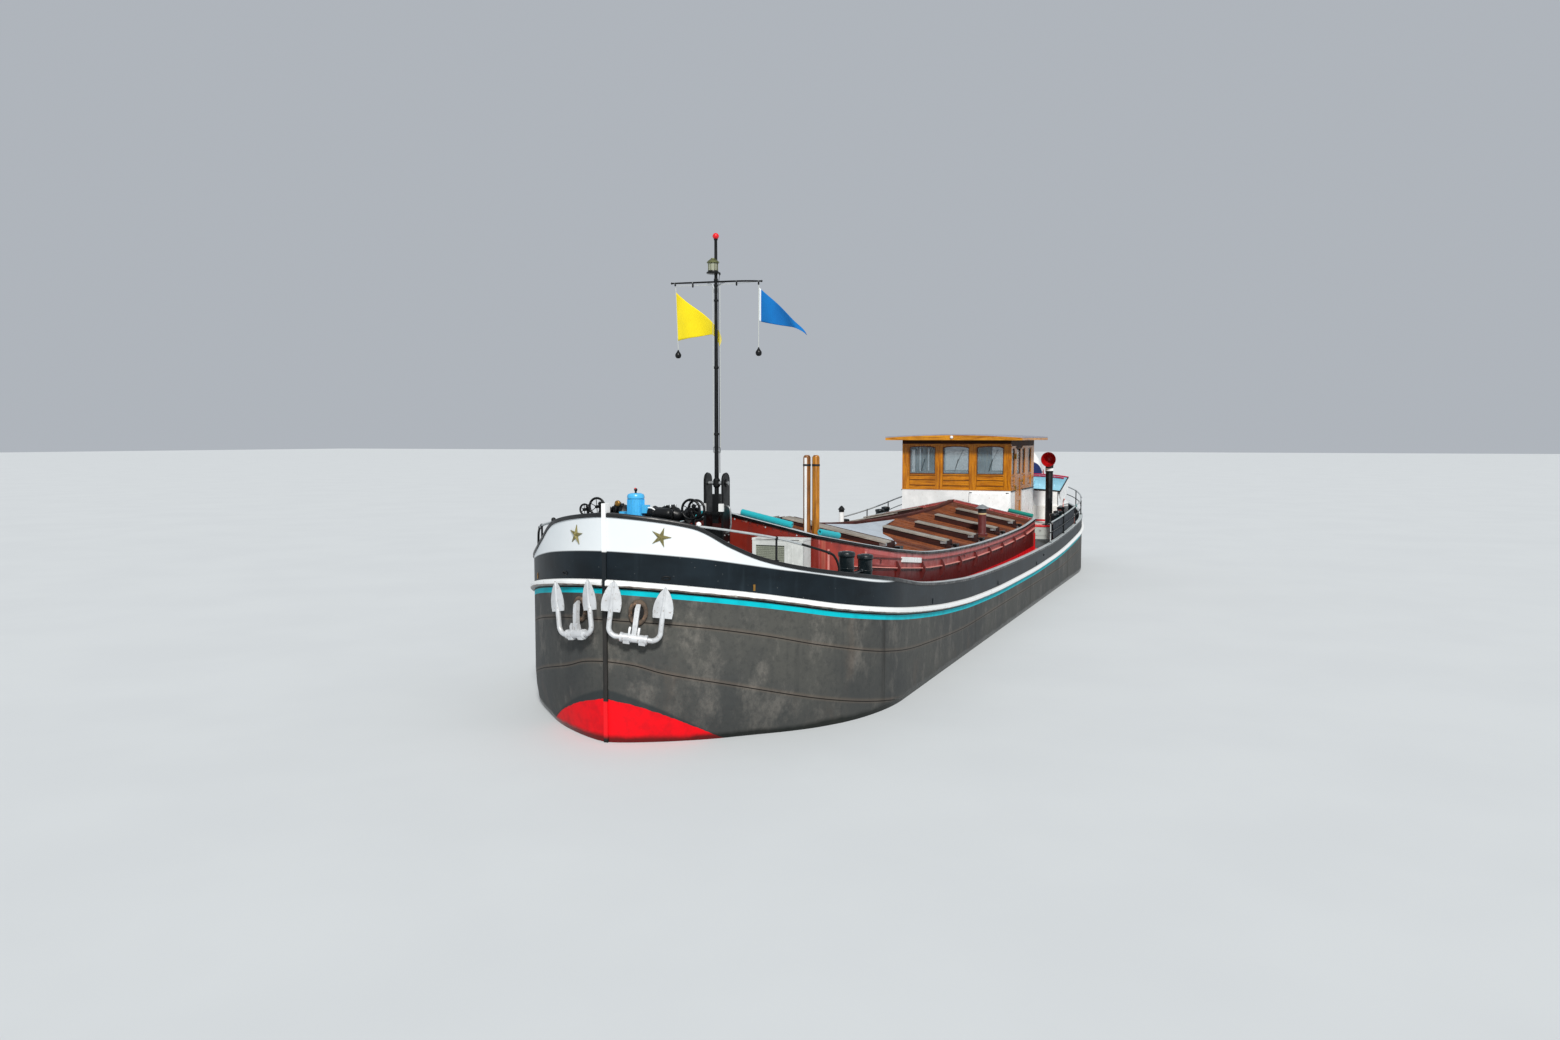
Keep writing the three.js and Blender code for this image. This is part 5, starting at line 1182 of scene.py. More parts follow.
def hand_rail(word, side):
    shape = Shape()
    line = [edge_at(aft, side, 0.03, z) for aft, z in HAND_RAILS[word]]
    end = HAND_RAILS[word][-1][0] + 0.005
    lead = [edge_at(aft, side, 0.03, rail_top(aft) - 0.03) for aft in (0.3, 0.345)]
    count = 4 if word == "port" else 3
    shape.tube(lead + line[:count], 0.0135, worn_rail, 14)
    shape.tube(line[count - 1:] + [edge_at(end, side, 0.03, rail_top(end) - 0.01)], 0.014, black, 14)
    aft = RAIL_POST[word]
    top = read_table(HAND_RAILS[word], aft)
    shape.rod(edge_at(aft, side, 0.03, rail_top(aft) - 0.02), edge_at(aft, side, 0.03, top), 0.012, black)
    shape.lathe(edge_at(aft, side, 0.03, rail_top(aft)), [(0.03, -0.002), (0.03, 0.006), (0.016, 0.012)],
                black, 20)
    for spot in (aft, HAND_RAILS[word][-3][0]):
        shape.ball(edge_at(spot, side, 0.03, read_table(HAND_RAILS[word], spot)), 0.021, black, 16)
    shape.ball(edge_at(0.385, side, 0.03, 2.372), 0.028, white if word == "port" else black, 18)
    return shape.build(f"hand_rail_tube_{word}", replaces=[f"hand_rail_{word}"])


RAIL_INSET, STERN_RAIL_LIFT = 0.03, 0.42
STERN_POSTS = (14.15, 15.9, 17.6, 19.2, 20.5, 21.5)
STERN_LINE = (14.15, 15.0, 15.9, 16.8, 17.6, 18.2, 18.8, 19.4, 19.9, 20.4, 20.8, 21.2, 21.5, 21.8, 22.05,
              22.25, 22.4)


def stern_rail():
    shape = Shape()

    def around(lift):
        port = [edge_at(aft, 1, RAIL_INSET, rail_top(aft) + lift) for aft in STERN_LINE]
        return port + [Vector((p.x, -p.y, p.z)) for p in reversed(port)]

    shape.tube(around(STERN_RAIL_LIFT), 0.0165, worn_rail, 14)
    shape.tube(around(STERN_RAIL_LIFT / 2), 0.0105, black, 12)
    for side in (1, -1):
        for aft in STERN_POSTS:
            foot, top = (edge_at(aft, side, RAIL_INSET, rail_top(aft) + lift)
                         for lift in (-0.02, STERN_RAIL_LIFT))
            shape.rod(foot, top, 0.0135, worn_rail if aft == STERN_POSTS[0] else black)
            shape.lathe(foot, [(0.034, 0.018), (0.034, 0.028), (0.016, 0.034)], black, 20)
            shape.ball(top, 0.023, black, 16)
            shape.ball(foot.lerp(top, 0.523), 0.019, black, 14)
    return shape.build("stern_rail_tube", replaces=["stern_rail"])


for word, side in SIDES:
    bollards(f"bollards_fore_{word}", 2.76, side, 1.9, 0.7, 0.675)
    bollards(f"bollards_aft_{word}", 16.35, side, 2.1, 0.49, 0.74)
    hand_rail(word, side)
stern_rail()


def fairleads():
    """Oval mooring fairleads through the bulwark, and the brass scuppers."""
    shape = Shape()
    for side in (1, -1):
        for aft, z in ((0.2, 1.8), (13.2, 0.9), (20.3, 1.32)):
            spot = edge_at(aft, side, -0.004, z)
            run = (edge_at(aft + 0.02, side, -0.004, z) - spot).normalized()
            loop = []
            for a in round_steps(32):
                loop.append(spot + run * 0.045 * math.cos(a) + Vector((0, 0, 0.018 * math.sin(a))))
            shape.tube(loop, 0.006, black, 10, smooth=False, closed=True)
        for aft, look in ((0.785, yellow_brown), (4.6, slate), (8.8, slate), (12.4, slate), (18.6, slate)):
            low = strake_top(aft) + 0.02
            out = outward(aft, side)
            run = Vector((0, 0, 1)).cross(out) * 0.012
            foot = edge_at(aft, side, -0.001, low)
            shape.slab([foot - run, foot + run, foot + run + Vector((0, 0, 0.07)),
                        foot - run + Vector((0, 0, 0.07))],
                       out * 0.008, look)
    return shape.build("fairleads", bevel=0.0015)


fairleads()

# Hatch
COAMING_FRONT, COAMING_BACK, COAMING_HALF, COAMING_WALL, GABLE = 3.06, 15.13, 1.84, 0.04, 0.39
COAMING_PLAN = ((3.06, 0), (3.06, 1.25), (3.19, 1.33), (4.04, 1.61), (4.7, 1.79), (5.4, 1.84), (6.5, 1.84),
                (8.4, 1.84),
                (10, 1.84), (11.6, 1.84), (13.3, 1.84), (15.13, 1.84), (15.13, 0))
COAMING_TOP = ((3, 1.95), (4, 1.83), (5, 1.72), (6.5, 1.57), (8.4, 1.47), (10, 1.425), (11.6, 1.41),
               (13.6, 1.43), (15.2, 1.525))
ROOF_DROP = 0.055
BEAMS = ((5.0, 0.08), (8.3, 0.55), (10.25, 0.55), (12.1, 0.43), (13.8, 0.43))  # aft, inner end
BRACKETS = [4.8 + 1.135 * i for i in range(9)]
CORNER_HALF = 1.79
POST_X, POST_SIDES, POST_RADIUS = 7.95, (1.035, 1.16), 0.048


def coaming_top(aft, y):
    return read_table(COAMING_TOP, aft) + GABLE * (1 - min(1, abs(y) / COAMING_HALF))


def roof_at(aft, y):
    return coaming_top(aft, y) - ROOF_DROP


def coaming_loop(gap=0.22):
    """The coaming's outline all the way round, with extra points on the long sides."""
    port = list(COAMING_PLAN)
    loop = port + [(aft, -y) for aft, y in reversed(port[1:-1])]
    points = []
    for (a, b), (c, d) in zip(loop, loop[1:] + loop[:1]):
        count = max(1, round(math.hypot(c - a, d - b) / gap))
        points.extend((a + (c - a) * i / count, b + (d - b) * i / count) for i in range(count))
    return points


def inset_loop(points, inset):
    moved = []
    for i, (aft, y) in enumerate(points):
        (a, b), (c, d) = points[i - 1], points[(i + 1) % len(points)]
        into = Vector((aft - a, y - b)).normalized()
        out = Vector((c - aft, d - y)).normalized()
        bisector = Vector((into.y + out.y, -into.x - out.x)).normalized()
        reach = inset / max(0.5, bisector.dot(Vector((into.y, -into.x))))
        moved.append((aft + bisector.x * reach, y + bisector.y * reach))
    return moved


def oxide_paint():
    """Red-brown front as painted shade, lighter bands on the sides, dark maroon under the ledge, a bright red
    foot.
    """
    front, body, low = rgb(124, 32, 20), rgb(146, 60, 56), rgb(98, 18, 14)
    look = Look("oxide_paint", body, 0.42)
    drop, aft = look.mark("drop"), look.mark("aft")
    look.cover(look.span(look.noise(2.2, 5), 0.35, 0.7, 0, 0.6), rgb(128, 48, 44))
    look.cover(look.span(look.noise(9, 7, roughness=0.7, shift=4), 0.48, 0.7, 0, 0.7), rgb(172, 92, 90))
    look.cover(look.band(drop, 0.05, 0.115, 0.006), rgb(180, 88, 86))
    look.cover(look.span(look.math("SUBTRACT", drop, look.mark("ledge")), -0.004, 0.012), low)
    # Painted shade: the front wall a darker red-brown than the sides.
    look.cover(look.band(aft, 0, 3.1, 0.01), front)
    # Painted light: the angled corner panels a lighter red than the front.
    look.cover(look.band(aft, 3.12, 4.0, 0.01),
               look.mix(look.span(look.noise(5, 4), 0.4, 0.7), rgb(168, 56, 42), rgb(142, 42, 34)))
    # Painted highlight: a pale strip down the front edge of the angled panels.
    look.cover(look.math("MULTIPLY", look.band(aft, 3.14, 3.2, 0.004), look.span(drop, 0.03, 0.05)),
               rgb(190, 92, 74))
    streak = look.noise(8, 5, stretch=(1, 1, 0.1), shift=6)
    look.cover(look.span(streak, 0.52, 0.8, 0, 0.6), rgb(70, 24, 22))
    foot = look.mark("foot")
    strip = look.math("MULTIPLY", look.span(foot, 0.004, -0.004), look.span(aft, 7.4, 8.6))
    look.cover(strip, look.mix(look.span(look.noise(6, 4), 0.4, 0.7, 0, 0.5), RED, rgb(190, 16, 30)))
    chips = look.noise(24, 6, shift=9)
    look.cover(look.math("MULTIPLY", look.span(chips, 0.62, 0.66), look.span(drop, 0.09, 0.03)),
               rgb(196, 180, 168))
    look.cover(look.span(chips, 0.73, 0.75), rgb(64, 40, 34))
    look.rough(look.span(look.noise(6, 4), 0.3, 0.7, 0.34, 0.55))
    look.relief(look.noise(2.5, 3), 0.015, 0.3)
    look.relief(look.noise(50, 4), 0.002, 0.25)
    return look


oxide = oxide_paint()
cap_grey = painted("cap_rail_paint", rgb(176, 184, 188), 0.4, 0.35, 3, rgb(120, 60, 50))
pale_red = painted("ledge_paint", rgb(226, 150, 140), 0.5, 0.3, 3)
maroon = painted("maroon_paint", rgb(92, 30, 28), 0.45, 0.4, 2, rgb(60, 44, 38))
board = weathered("hatch_board", rgb(150, 84, 44), rgb(96, 48, 30), "Y")
board_dark = weathered("hatch_board_dark", rgb(112, 60, 38), rgb(72, 38, 28), "Y")
plank_grey = weathered("weathered_plank", rgb(172, 168, 160), rgb(124, 116, 106), "Y")
plank_brown = weathered("brown_plank", rgb(66, 32, 26), rgb(38, 20, 18), "Y")
ridge_brown = weathered("ridge_timber", rgb(96, 46, 40), rgb(60, 34, 30), "X")
sheet_grey = painted("grey_panel", rgb(182, 192, 202), 0.45, 0.35, 1.5, rgb(120, 110, 100))


def ledge_drop(aft):
    return 0.255 - 0.055 * min(1, max(0, (aft - 5) / 8))


def coaming_side(aft):
    """Where the coaming's outer face stands at the port side."""
    plan = [p for p in COAMING_PLAN if p[1] > 0]
    for (a, b), (c, d) in zip(plan, plan[1:]):
        if a <= aft <= c and c > a:
            return b + (d - b) * (aft - a) / (c - a)
    return COAMING_HALF


def coaming():
    shape = Shape()
    loop = coaming_loop()
    marks = {
        "drop": lambda p: coaming_top(BOW_X - p.x, p.y) - p.z,
        "aft": lambda p: BOW_X - p.x,
        "ledge": lambda p: ledge_drop(BOW_X - p.x) if 3.1 < BOW_X - p.x < 15.1 else 9.0,
        "foot": lambda p: p.z - deck_at(BOW_X - p.x) - (0.18 - 0.006 * (BOW_X - p.x - 8)),
    }
    # (inset, drop from the top; None for the foot on the deck)
    profile = ((0, None), (0, 0.6), (0, 0.45), (0, 0.34), (0, 0.27), (0, 0.2), (0, 0.12), (0, 0.07),
               (0, 0.045), (-0.018, 0.045),
               (-0.025, 0.038), (-0.025, 0.008), (-0.019, 0.0), (0.036, 0.0), (0.04, 0.006), (0.04, 0.3),
               (0.04, None))
    rings = [inset_loop(loop, inset) for inset, drop in profile]
    rows = []
    for ring, (inset, drop) in zip(rings, profile):
        row = []
        for (aft, y), (plan_aft, plan_y) in zip(ring, loop):
            foot = deck_at(plan_aft) + 0.0006
            top = coaming_top(plan_aft, plan_y)
            z = foot if drop is None else max(foot + 0.004 * (0.6 - drop), top - drop)
            row.append((BOW_X - aft, y, z))
        rows.append(row)
    for j in range(len(rows) - 1):
        look = cap_grey if 11 <= j <= 13 else (black if 8 <= j <= 10 else oxide)
        shape.grid([rows[j], rows[j + 1]], look, wrap_columns=True)
    shape.grid([rows[-1], rows[0]], oxide, wrap_columns=True)
    return shape.build("hatch_wall", replaces=["hatch_coaming"], marks=marks, crease=30)


def strip_along(shape, first, last, side, drops, prouds, look, gap=0.3):
    """A flat bar on the coaming's side: drops are from its top, prouds from its face."""
    count = max(2, round((last - first) / gap))
    rows = []
    for i in range(count + 1):
        aft = first + (last - first) * i / count
        face, top = coaming_side(aft), coaming_top(aft, COAMING_HALF)
        corners = ((prouds[0], drops[0]), (prouds[1], drops[0]), (prouds[1], drops[1]),
                   (prouds[0], drops[1]))
        rows.append([(BOW_X - aft, side * (face + out), top - (drop(aft) if callable(drop) else drop))
                     for out, drop in corners])
    shape.loft(rows, look)


def coaming_trim():
    shape = Shape()
    for side in (1, -1):
        strip_along(shape, 4.1, 15.1, side, (0.118, 0.136), (-0.002, 0.014), maroon)
        edges = [3.5] + BRACKETS + [15.08]
        for a, b in zip(edges, edges[1:]):
            strip_along(shape, a + 0.05, b - 0.05, side,
                        (lambda s: ledge_drop(s) - 0.004, lambda s: ledge_drop(s) + 0.01),
                        (-0.002, 0.036), pale_red)
            strip_along(shape, a + 0.05, b - 0.05, side,
                        (lambda s: ledge_drop(s) + 0.01, lambda s: ledge_drop(s) + 0.04),
                        (-0.002, 0.012), maroon)
        for aft in BRACKETS:
            y, top = coaming_side(aft), coaming_top(aft, COAMING_HALF)
            x, low = BOW_X - aft, ledge_drop(aft)
            outline = [(y - 0.002, top - low + 0.09), (y + 0.022, top - low + 0.085), (y + 0.062, top - low),
                       (y + 0.062, top - low - 0.05), (y + 0.02, top - low - 0.16),
                       (y - 0.002, top - low - 0.165)]
            shape.slab([(x - 0.014, side * a, b) for a, b in outline], (0.028, 0, 0), maroon)
        corner = BOW_X - COAMING_BACK
        foot, top = deck_at(15.1), coaming_top(COAMING_BACK, COAMING_HALF)
        shape.sided_box(side, (corner - 0.006, CORNER_HALF, foot), (corner + 0.085, 1.852, top - 0.33), red)
        for aft in (3.24, 3.6, 4.0):
            strip_along(shape, aft, aft + 0.022, side, (0.05, 0.5), (-0.002, 0.012), pale_red, 0.1)
        for i in range(3):
            aft = 4.35 + i * 4.2
            y, top = coaming_side(aft), coaming_top(aft, COAMING_HALF)
            shape.ring((BOW_X - aft, side * (y + 0.02), top - 0.17), 0.02, 0.005, maroon, "Y", 24)
            shape.rod((BOW_X - aft, side * (y - 0.002), top - 0.152),
                      (BOW_X - aft, side * (y + 0.022), top - 0.152), 0.007, maroon)
    front = BOW_X - COAMING_FRONT
    for i in range(-11, 12):
        y = i * 0.11
        shape.lathe((front - 0.002, y, coaming_top(COAMING_FRONT, y) - 0.075),
                    [(0.011, 0), (0.011, 0.006), (0.006, 0.01), (1e-4, 0.011)],
                    cap_grey if i % 4 == 1 else maroon, 10, "X")
    for y in (-0.95, -0.35, 0.35):
        top = coaming_top(COAMING_FRONT, y) - 0.1
        shape.box((front - 0.002, y - 0.025, deck_at(COAMING_FRONT)), (front + 0.012, y + 0.025, top), oxide)
    strip_along(shape, 4.98, 5.86, 1, (0.1, 0.175), (-0.002, 0.02), white)
    return shape.build("hatch_wall_trim", bevel=0.003, marks={
        "drop": lambda p: coaming_top(BOW_X - p.x, p.y) - p.z,
        "aft": lambda p: BOW_X - p.x,
        "ledge": lambda p: 9.0,
        "foot": lambda p: 1.0,
    })


def roof_half(aft):
    """How far the roof reaches to the side, inside the coaming."""
    return coaming_side(aft) - COAMING_WALL - 0.004


# Cross-section of a batten: along the boat, up
BATTEN = ((-0.02, 0), (-0.02, 0.012), (0.02, 0.012), (0.02, 0))

# Timbers of a beam: front, back, outer end, underside and top at the inner and outer end, look
BEAM_TIMBERS = (
    (-0.235, 0.235, 1.64, (-0.05, -0.05), (0.095, 0.115), plank_brown),
    (-0.25, 0.02, 1.65, (0.097, 0.117), (0.118, 0.138), plank_grey),
)

# Blocks at a beam's outer end: low corner, high corner, look
BEAM_BLOCKS = (
    ((0.2, 1.56, 0.08), (0.256, 1.655, 0.118), zinc),
    ((-0.245, 1.66, -0.045), (-0.08, 1.76, 0.05), black),
    ((0.1, 1.652, -0.045), (0.235, 1.74, 0.05), plank_brown),
    ((0.11, 1.735, -0.03), (0.2, 1.755, 0.02), zinc),
)


def roof(word, side):
    """Loose hatch boards laid from the ridge to the coaming, with their raised beams."""
    shape = Shape()
    first, last, width = COAMING_FRONT + 0.045, COAMING_BACK - 0.045, 0.62
    count = round((last - first) / width)
    for i in range(count):
        a = first + (last - first) * i / count + 0.003
        b = first + (last - first) * (i + 1) / count - 0.003
        lift = 0.004 * ((i * 7) % 3) - 0.004
        look = board if (i * 5) % 3 else board_dark
        rows = []
        for j in range(5):
            aft = a + (b - a) * j / 4
            reach = roof_half(min(max(aft, 3.115), 15.0))
            row = []
            for k in range(7):
                y = 0.0006 + (reach - 0.0006) * k / 6
                row.append((BOW_X - aft, side * y, roof_at(aft, y) + lift))
            for k in range(6, -1, -1):
                y = 0.0006 + (reach - 0.0006) * k / 6
                row.append((BOW_X - aft, side * y, roof_at(aft, y) - 0.036))
            rows.append(row)
        shape.loft(rows, look)
        middle = a + (b - a) * 0.5
        shape.loft([[(BOW_X - middle + d, side * y, roof_at(middle, y) + lift + h) for d, h in BATTEN]
                    for y in (0.16, roof_half(middle) - 0.12)], look)
    for aft, inner in BEAMS:
        surface = roof_at(aft, inner)
        outer = roof_at(aft, 1.65)
        for front, back, end, low, high, look in BEAM_TIMBERS:
            loops = []
            for d in (front, back):
                x = BOW_X - aft - d
                loops.append([(x, side * inner, surface + low[0]), (x, side * end, outer + low[1]),
                              (x, side * end, outer + high[1]),
                              (x, side * inner, surface + high[0])])
            shape.loft(loops, look)
        x = BOW_X - aft
        for (x0, y0, z0), (x1, y1, z1), look in BEAM_BLOCKS:
            shape.sided_box(side, (x + x0, y0, outer + z0), (x + x1, y1, outer + z1), look)
    if side < 0:
        rows = []
        for i in range(19):
            aft = 3.115 + (15.07 - 3.115) * i / 18
            z = roof_at(aft, 0) - 0.01
            x = BOW_X - aft
            rows.append([(x, -0.0008, z), (x, -0.0008, z + 0.052), (x, -0.02, z + 0.06),
                         (x, -0.12, z + 0.052), (x, -0.135, z - 0.02)])
        shape.loft(rows, ridge_brown)
    return shape.build(f"hatch_boards_{word}", replaces=[f"hatch_roof_{word}"],
                       bevel=0.003, crease=25)


def loose_sheet():
    """The pale grey board on the fore part of the roof's port slope."""
    shape = Shape()
    corners = ((5.32, 0.1), (8.0, 0.085), (9.9, 0.075), (10.25, 0.085), (8.75, 0.33), (7.57, 0.71),
               (7.22, 0.97), (6.6, 1.25), (5.32, 1.42))
    low = [(BOW_X - aft, y, roof_at(aft, y) + 0.012) for aft, y in corners]
    shape.slab(low, (0, 0, 0.012), sheet_grey)
    for aft in (6.1, 7.0):
        shape.slab([(BOW_X - aft, 0.16, roof_at(aft, 0.16) + 0.024),
                    (BOW_X - aft - 0.035, 0.16, roof_at(aft, 0.16) + 0.024),
                    (BOW_X - aft - 0.035, 1.02, roof_at(aft, 1.02) + 0.024),
                    (BOW_X - aft, 1.02, roof_at(aft, 1.02) + 0.024)],
                   (0, 0, 0.01), sheet_grey)
    return shape.build("roof_panel_grey", bevel=0.003)


coaming()
coaming_trim()
for word, side in SIDES:
    roof(word, side)
loose_sheet()


def waterway():
    """The bright red margin along the coaming's foot and behind it."""
    shape = Shape()
    for side in (1, -1):
        rows = []
        for i in range(25):
            aft = 9.2 + 5.93 * i / 24
            z = deck_at(aft) + 0.001
            wide = 0.06 + 0.1 * min(1, (aft - 9.2) / 4)
            face = COAMING_HALF + 0.0005
            rows.append([(BOW_X - aft, side * face, z), (BOW_X - aft, side * face, z + 0.016),
                         (BOW_X - aft, side * (face + wide), z + 0.007),
                         (BOW_X - aft, side * (face + wide), z)])
        shape.loft(rows, red)
        shape.sided_box(side, (BOW_X - 15.62, 1.5, deck_at(15.2) - 0.05),
                        (BOW_X - 15.135, 1.97, deck_at(15.4) + 0.014), red)
    return shape.build("waterway_red", bevel=0.002)


waterway()

# Things on the hatch and before it
golden_post = varnished("golden_timber", rgb(190, 124, 30), rgb(96, 56, 14), "Z", 0.35)
timber_brown = varnished("brown_timber", rgb(150, 96, 40), rgb(84, 50, 22), "Z", 0.45)


def timber_posts():
    shape = Shape()
    foot, top = deck_at(3.3), 3.08
    for y, look in zip(POST_SIDES, (timber_brown, golden_post)):
        profile = [(POST_RADIUS, foot), (POST_RADIUS, top - 0.03), (POST_RADIUS - 0.012, top - 0.006),
                   (0.02, top), (1e-4, top)]
        shape.lathe((POST_X, y, 0), profile, look, 28)
        for z in (foot + 0.12, 1.95, 2.95):
            shape.lathe((POST_X, y, 0), [(POST_RADIUS, z - 0.014), (POST_RADIUS + 0.004, z - 0.013),
                                         (POST_RADIUS + 0.004, z + 0.013),
                                         (POST_RADIUS, z + 0.014)], dark_iron, 28)
    rows = []
    for z in (foot + 0.3, 1.2, 2.0, 2.6, top - 0.035):
        rows.append([(POST_X + (POST_RADIUS + r) * math.cos(a),
                      POST_SIDES[0] + (POST_RADIUS + r) * math.sin(a), z)
                     for r, a in ((0.003, -0.35), (0.003, 0), (0.003, 0.35), (-0.004, 0.35),
                                  (-0.004, -0.35))])
    shape.loft(rows, white)
    shape.box((POST_X - 0.025, 1.035, 1.42), (POST_X + 0.025, 1.16, 1.5), dark_iron)
    return shape.build("timber_pair", replaces=["timber_posts"], bevel=0.002)


def chimney(name, aft, y, radius, height, cap, body, node, bands):
    shape = Shape()
    x, base = BOW_X - aft, roof_at(aft, y)
    shape.lathe((x, y, base), [(0.02, -0.03), (radius + 0.03, -0.024), (radius + 0.03, 0.02),
                               (radius + 0.022, 0.026), (radius + 0.004, 0.032),
                               (radius, 0.045), (radius, height - 0.1), (radius * 0.8, height - 0.1)], body,
                36)
    for low, high, look in bands:
        shape.lathe((x, y, base), [(radius - 0.002, low), (radius + 0.003, low + 0.002),
                                   (radius + 0.003, high - 0.002), (radius - 0.002, high)],
                    look, 36)
    for a in round_steps(3):
        shape.rod((x + radius * math.cos(a), y + radius * math.sin(a), base + height - 0.13),
                  (x + radius * math.cos(a), y + radius * math.sin(a), base + height - 0.062), 0.006,
                  dark_iron, sides=8)
    shape.lathe((x, y, base), [(radius * 0.9, height - 0.078), (cap, height - 0.08), (cap, height - 0.074),
                               (cap * 0.55, height - 0.03), (0.012, height - 0.002), (1e-4, height)],
                zinc if node == "stove_pipe" else black, 36)
    bolts(shape, [(x + (radius + 0.02) * math.cos(a), y + (radius + 0.02) * math.sin(a), base + 0.024)
                  for a in round_steps(6)], 0.007, 0.008, zinc)
    return shape.build(name, replaces=[node], bevel=0.0015)


def roof_pot():
    shape = Shape()
    aft, y = 11.6, -1.4
    base = roof_at(aft, y)
    shape.lathe((BOW_X - aft, y, base), [(0.02, -0.03), (0.1, -0.03), (0.1, 0.02), (0.085, 0.03),
                                         (0.085, 0.11), (0.02, 0.11)], maroon, 32)
    shape.lathe((BOW_X - aft, y, base), [(0.02, 0.105), (0.088, 0.107), (0.09, 0.115), (0.09, 0.135),
                                         (0.02, 0.137)], white, 32)
    shape.lathe((BOW_X - aft, y, base), [(0.02, 0.133), (0.098, 0.137), (0.104, 0.146), (0.104, 0.176),
                                         (0.09, 0.19), (0.03, 0.2), (1e-4, 0.201)],
                black, 32)
    return shape.build("roof_vent_pot", bevel=0.002)


def cooler():
    """The air conditioner's outdoor unit: one meshed opening and a plain panel."""
    shape = Shape()
    shell = painted("cooler_shell", rgb(222, 226, 224), 0.38, 0.3, 3)
    dark = painted("cooler_mesh", rgb(158, 164, 150), 0.6, 0.5, 5)
    front, back, inner, outer, low, top = BOW_X - 2.75, BOW_X - 3.02, 0.5, 1.2, 1.42, 2.03
    shape.box((back, inner, low + 0.012), (front - 0.024, outer, top - 0.006), shell)
    shape.box((back - 0.002, inner - 0.003, top - 0.03), (front + 0.001, outer + 0.003, top), shell)
    shape.box((back - 0.002, inner - 0.002, low), (front - 0.004, outer + 0.002, low + 0.035), shell)
    a, b = 0.55, 0.945
    for y0, y1 in ((inner, a), (b, outer)):
        shape.box((front - 0.03, y0, low + 0.03), (front - 0.003, y1, top - 0.025), shell)
    shape.box((front - 0.03, a, top - 0.09), (front - 0.003, b, top - 0.025), shell)
    shape.box((front - 0.03, a, low + 0.03), (front - 0.003, b, low + 0.07), shell)
    shape.box((front - 0.028, a - 0.002, low + 0.065), (front - 0.022, b + 0.002, top - 0.085), dark)
    for i in range(round((top - low - 0.16) / 0.022)):
        z = low + 0.075 + i * 0.022
        shape.rod((front - 0.008, a, z), (front - 0.008, b, z), 0.0026, dark, sides=6)
    for i in range(14):
        y = a + i * 0.03
        shape.rod((front - 0.012, y, low + 0.066), (front - 0.012, y, top - 0.086), 0.0026, dark, sides=6)
    for y in (0.985, 1.04):
        shape.box((front - 0.004, y, low + 0.06), (front, y + 0.016, top - 0.05), shell)
    shape.box((front - 0.004, 1.08, low + 0.05), (front, 1.17, top - 0.05), shell)
    for z in (1.49, 1.56):
        shape.rod((BOW_X - 2.88, 1.2, z), (BOW_X - 2.88, 1.255, z), 0.021, zinc)
        shape.rod((BOW_X - 2.86, 1.235, z), (BOW_X - 2.83, 1.235, z), 0.014, zinc)
    shape.box((BOW_X - 2.97, 1.196, 1.47), (BOW_X - 2.86, 1.25, 1.62), shell)
    shape.tube([(BOW_X - 2.9, 1.25, 1.56), (BOW_X - 2.92, 1.29, 1.55), (BOW_X - 2.97, 1.29, 1.5),
                (BOW_X - 3.02, 1.24, 1.46)], 0.014, white)
    for y in (0.6, 1.04):
        shape.box((BOW_X - 3.0596, y, low - 0.04), (BOW_X - 2.77, y + 0.06, low + 0.004), zinc)
        shape.slab([(BOW_X - 3.0596, y + 0.02, low - 0.04), (BOW_X - 3.0596, y + 0.02, low - 0.2),
                    (BOW_X - 2.82, y + 0.02, low - 0.04)],
                   (0, 0.012, 0), zinc)
    shape.slab([(front - 0.002, inner + 0.05, top - 0.012), (front - 0.002, outer - 0.05, top - 0.012),
                (front - 0.002, outer - 0.05, top - 0.02), (front - 0.002, inner + 0.05, top - 0.02)],
               (0.003, 0, 0), grey)
    return shape.build("cooler_unit", replaces=["air_conditioner"], bevel=0.003)


def edge_pad(name, start, end, look):
    """Soft foam tube laid on the coaming's edge, with its bore showing at the ends."""
    shape = Shape()
    radius, bore = 0.0435, 0.02
    a, b = (Vector((BOW_X - aft, y, coaming_top(aft, y) + 0.0425)) for aft, y in (start, end))
    run = (b - a).normalized()
    turn = run.to_track_quat("Z", "Y")
    length = (b - a).length
    count = max(8, round(length / 0.025))
    profile = [(bore, 0.035), (bore, 0.0), (radius * 0.82, 0.0), (radius * 0.95, 0.004), (radius, 0.012)]
    profile += [(radius - 0.001 * (1 + math.sin(i * 1.7)), 0.012 + (length - 0.024) * i / count)
                for i in range(1, count)]
    profile += [(radius, length - 0.012), (radius * 0.95, length - 0.004), (radius * 0.82, length),
                (bore, length), (bore, length - 0.035)]
    rows = [[a + turn @ Vector((r * math.cos(t), r * math.sin(t), h)) for t in round_steps(28)]
            for r, h in profile]
    shape.loft(rows, look)
    made = shape.build(name.replace("edge_pad", "foam_pad"), replaces=[name], crease=50)
    return made


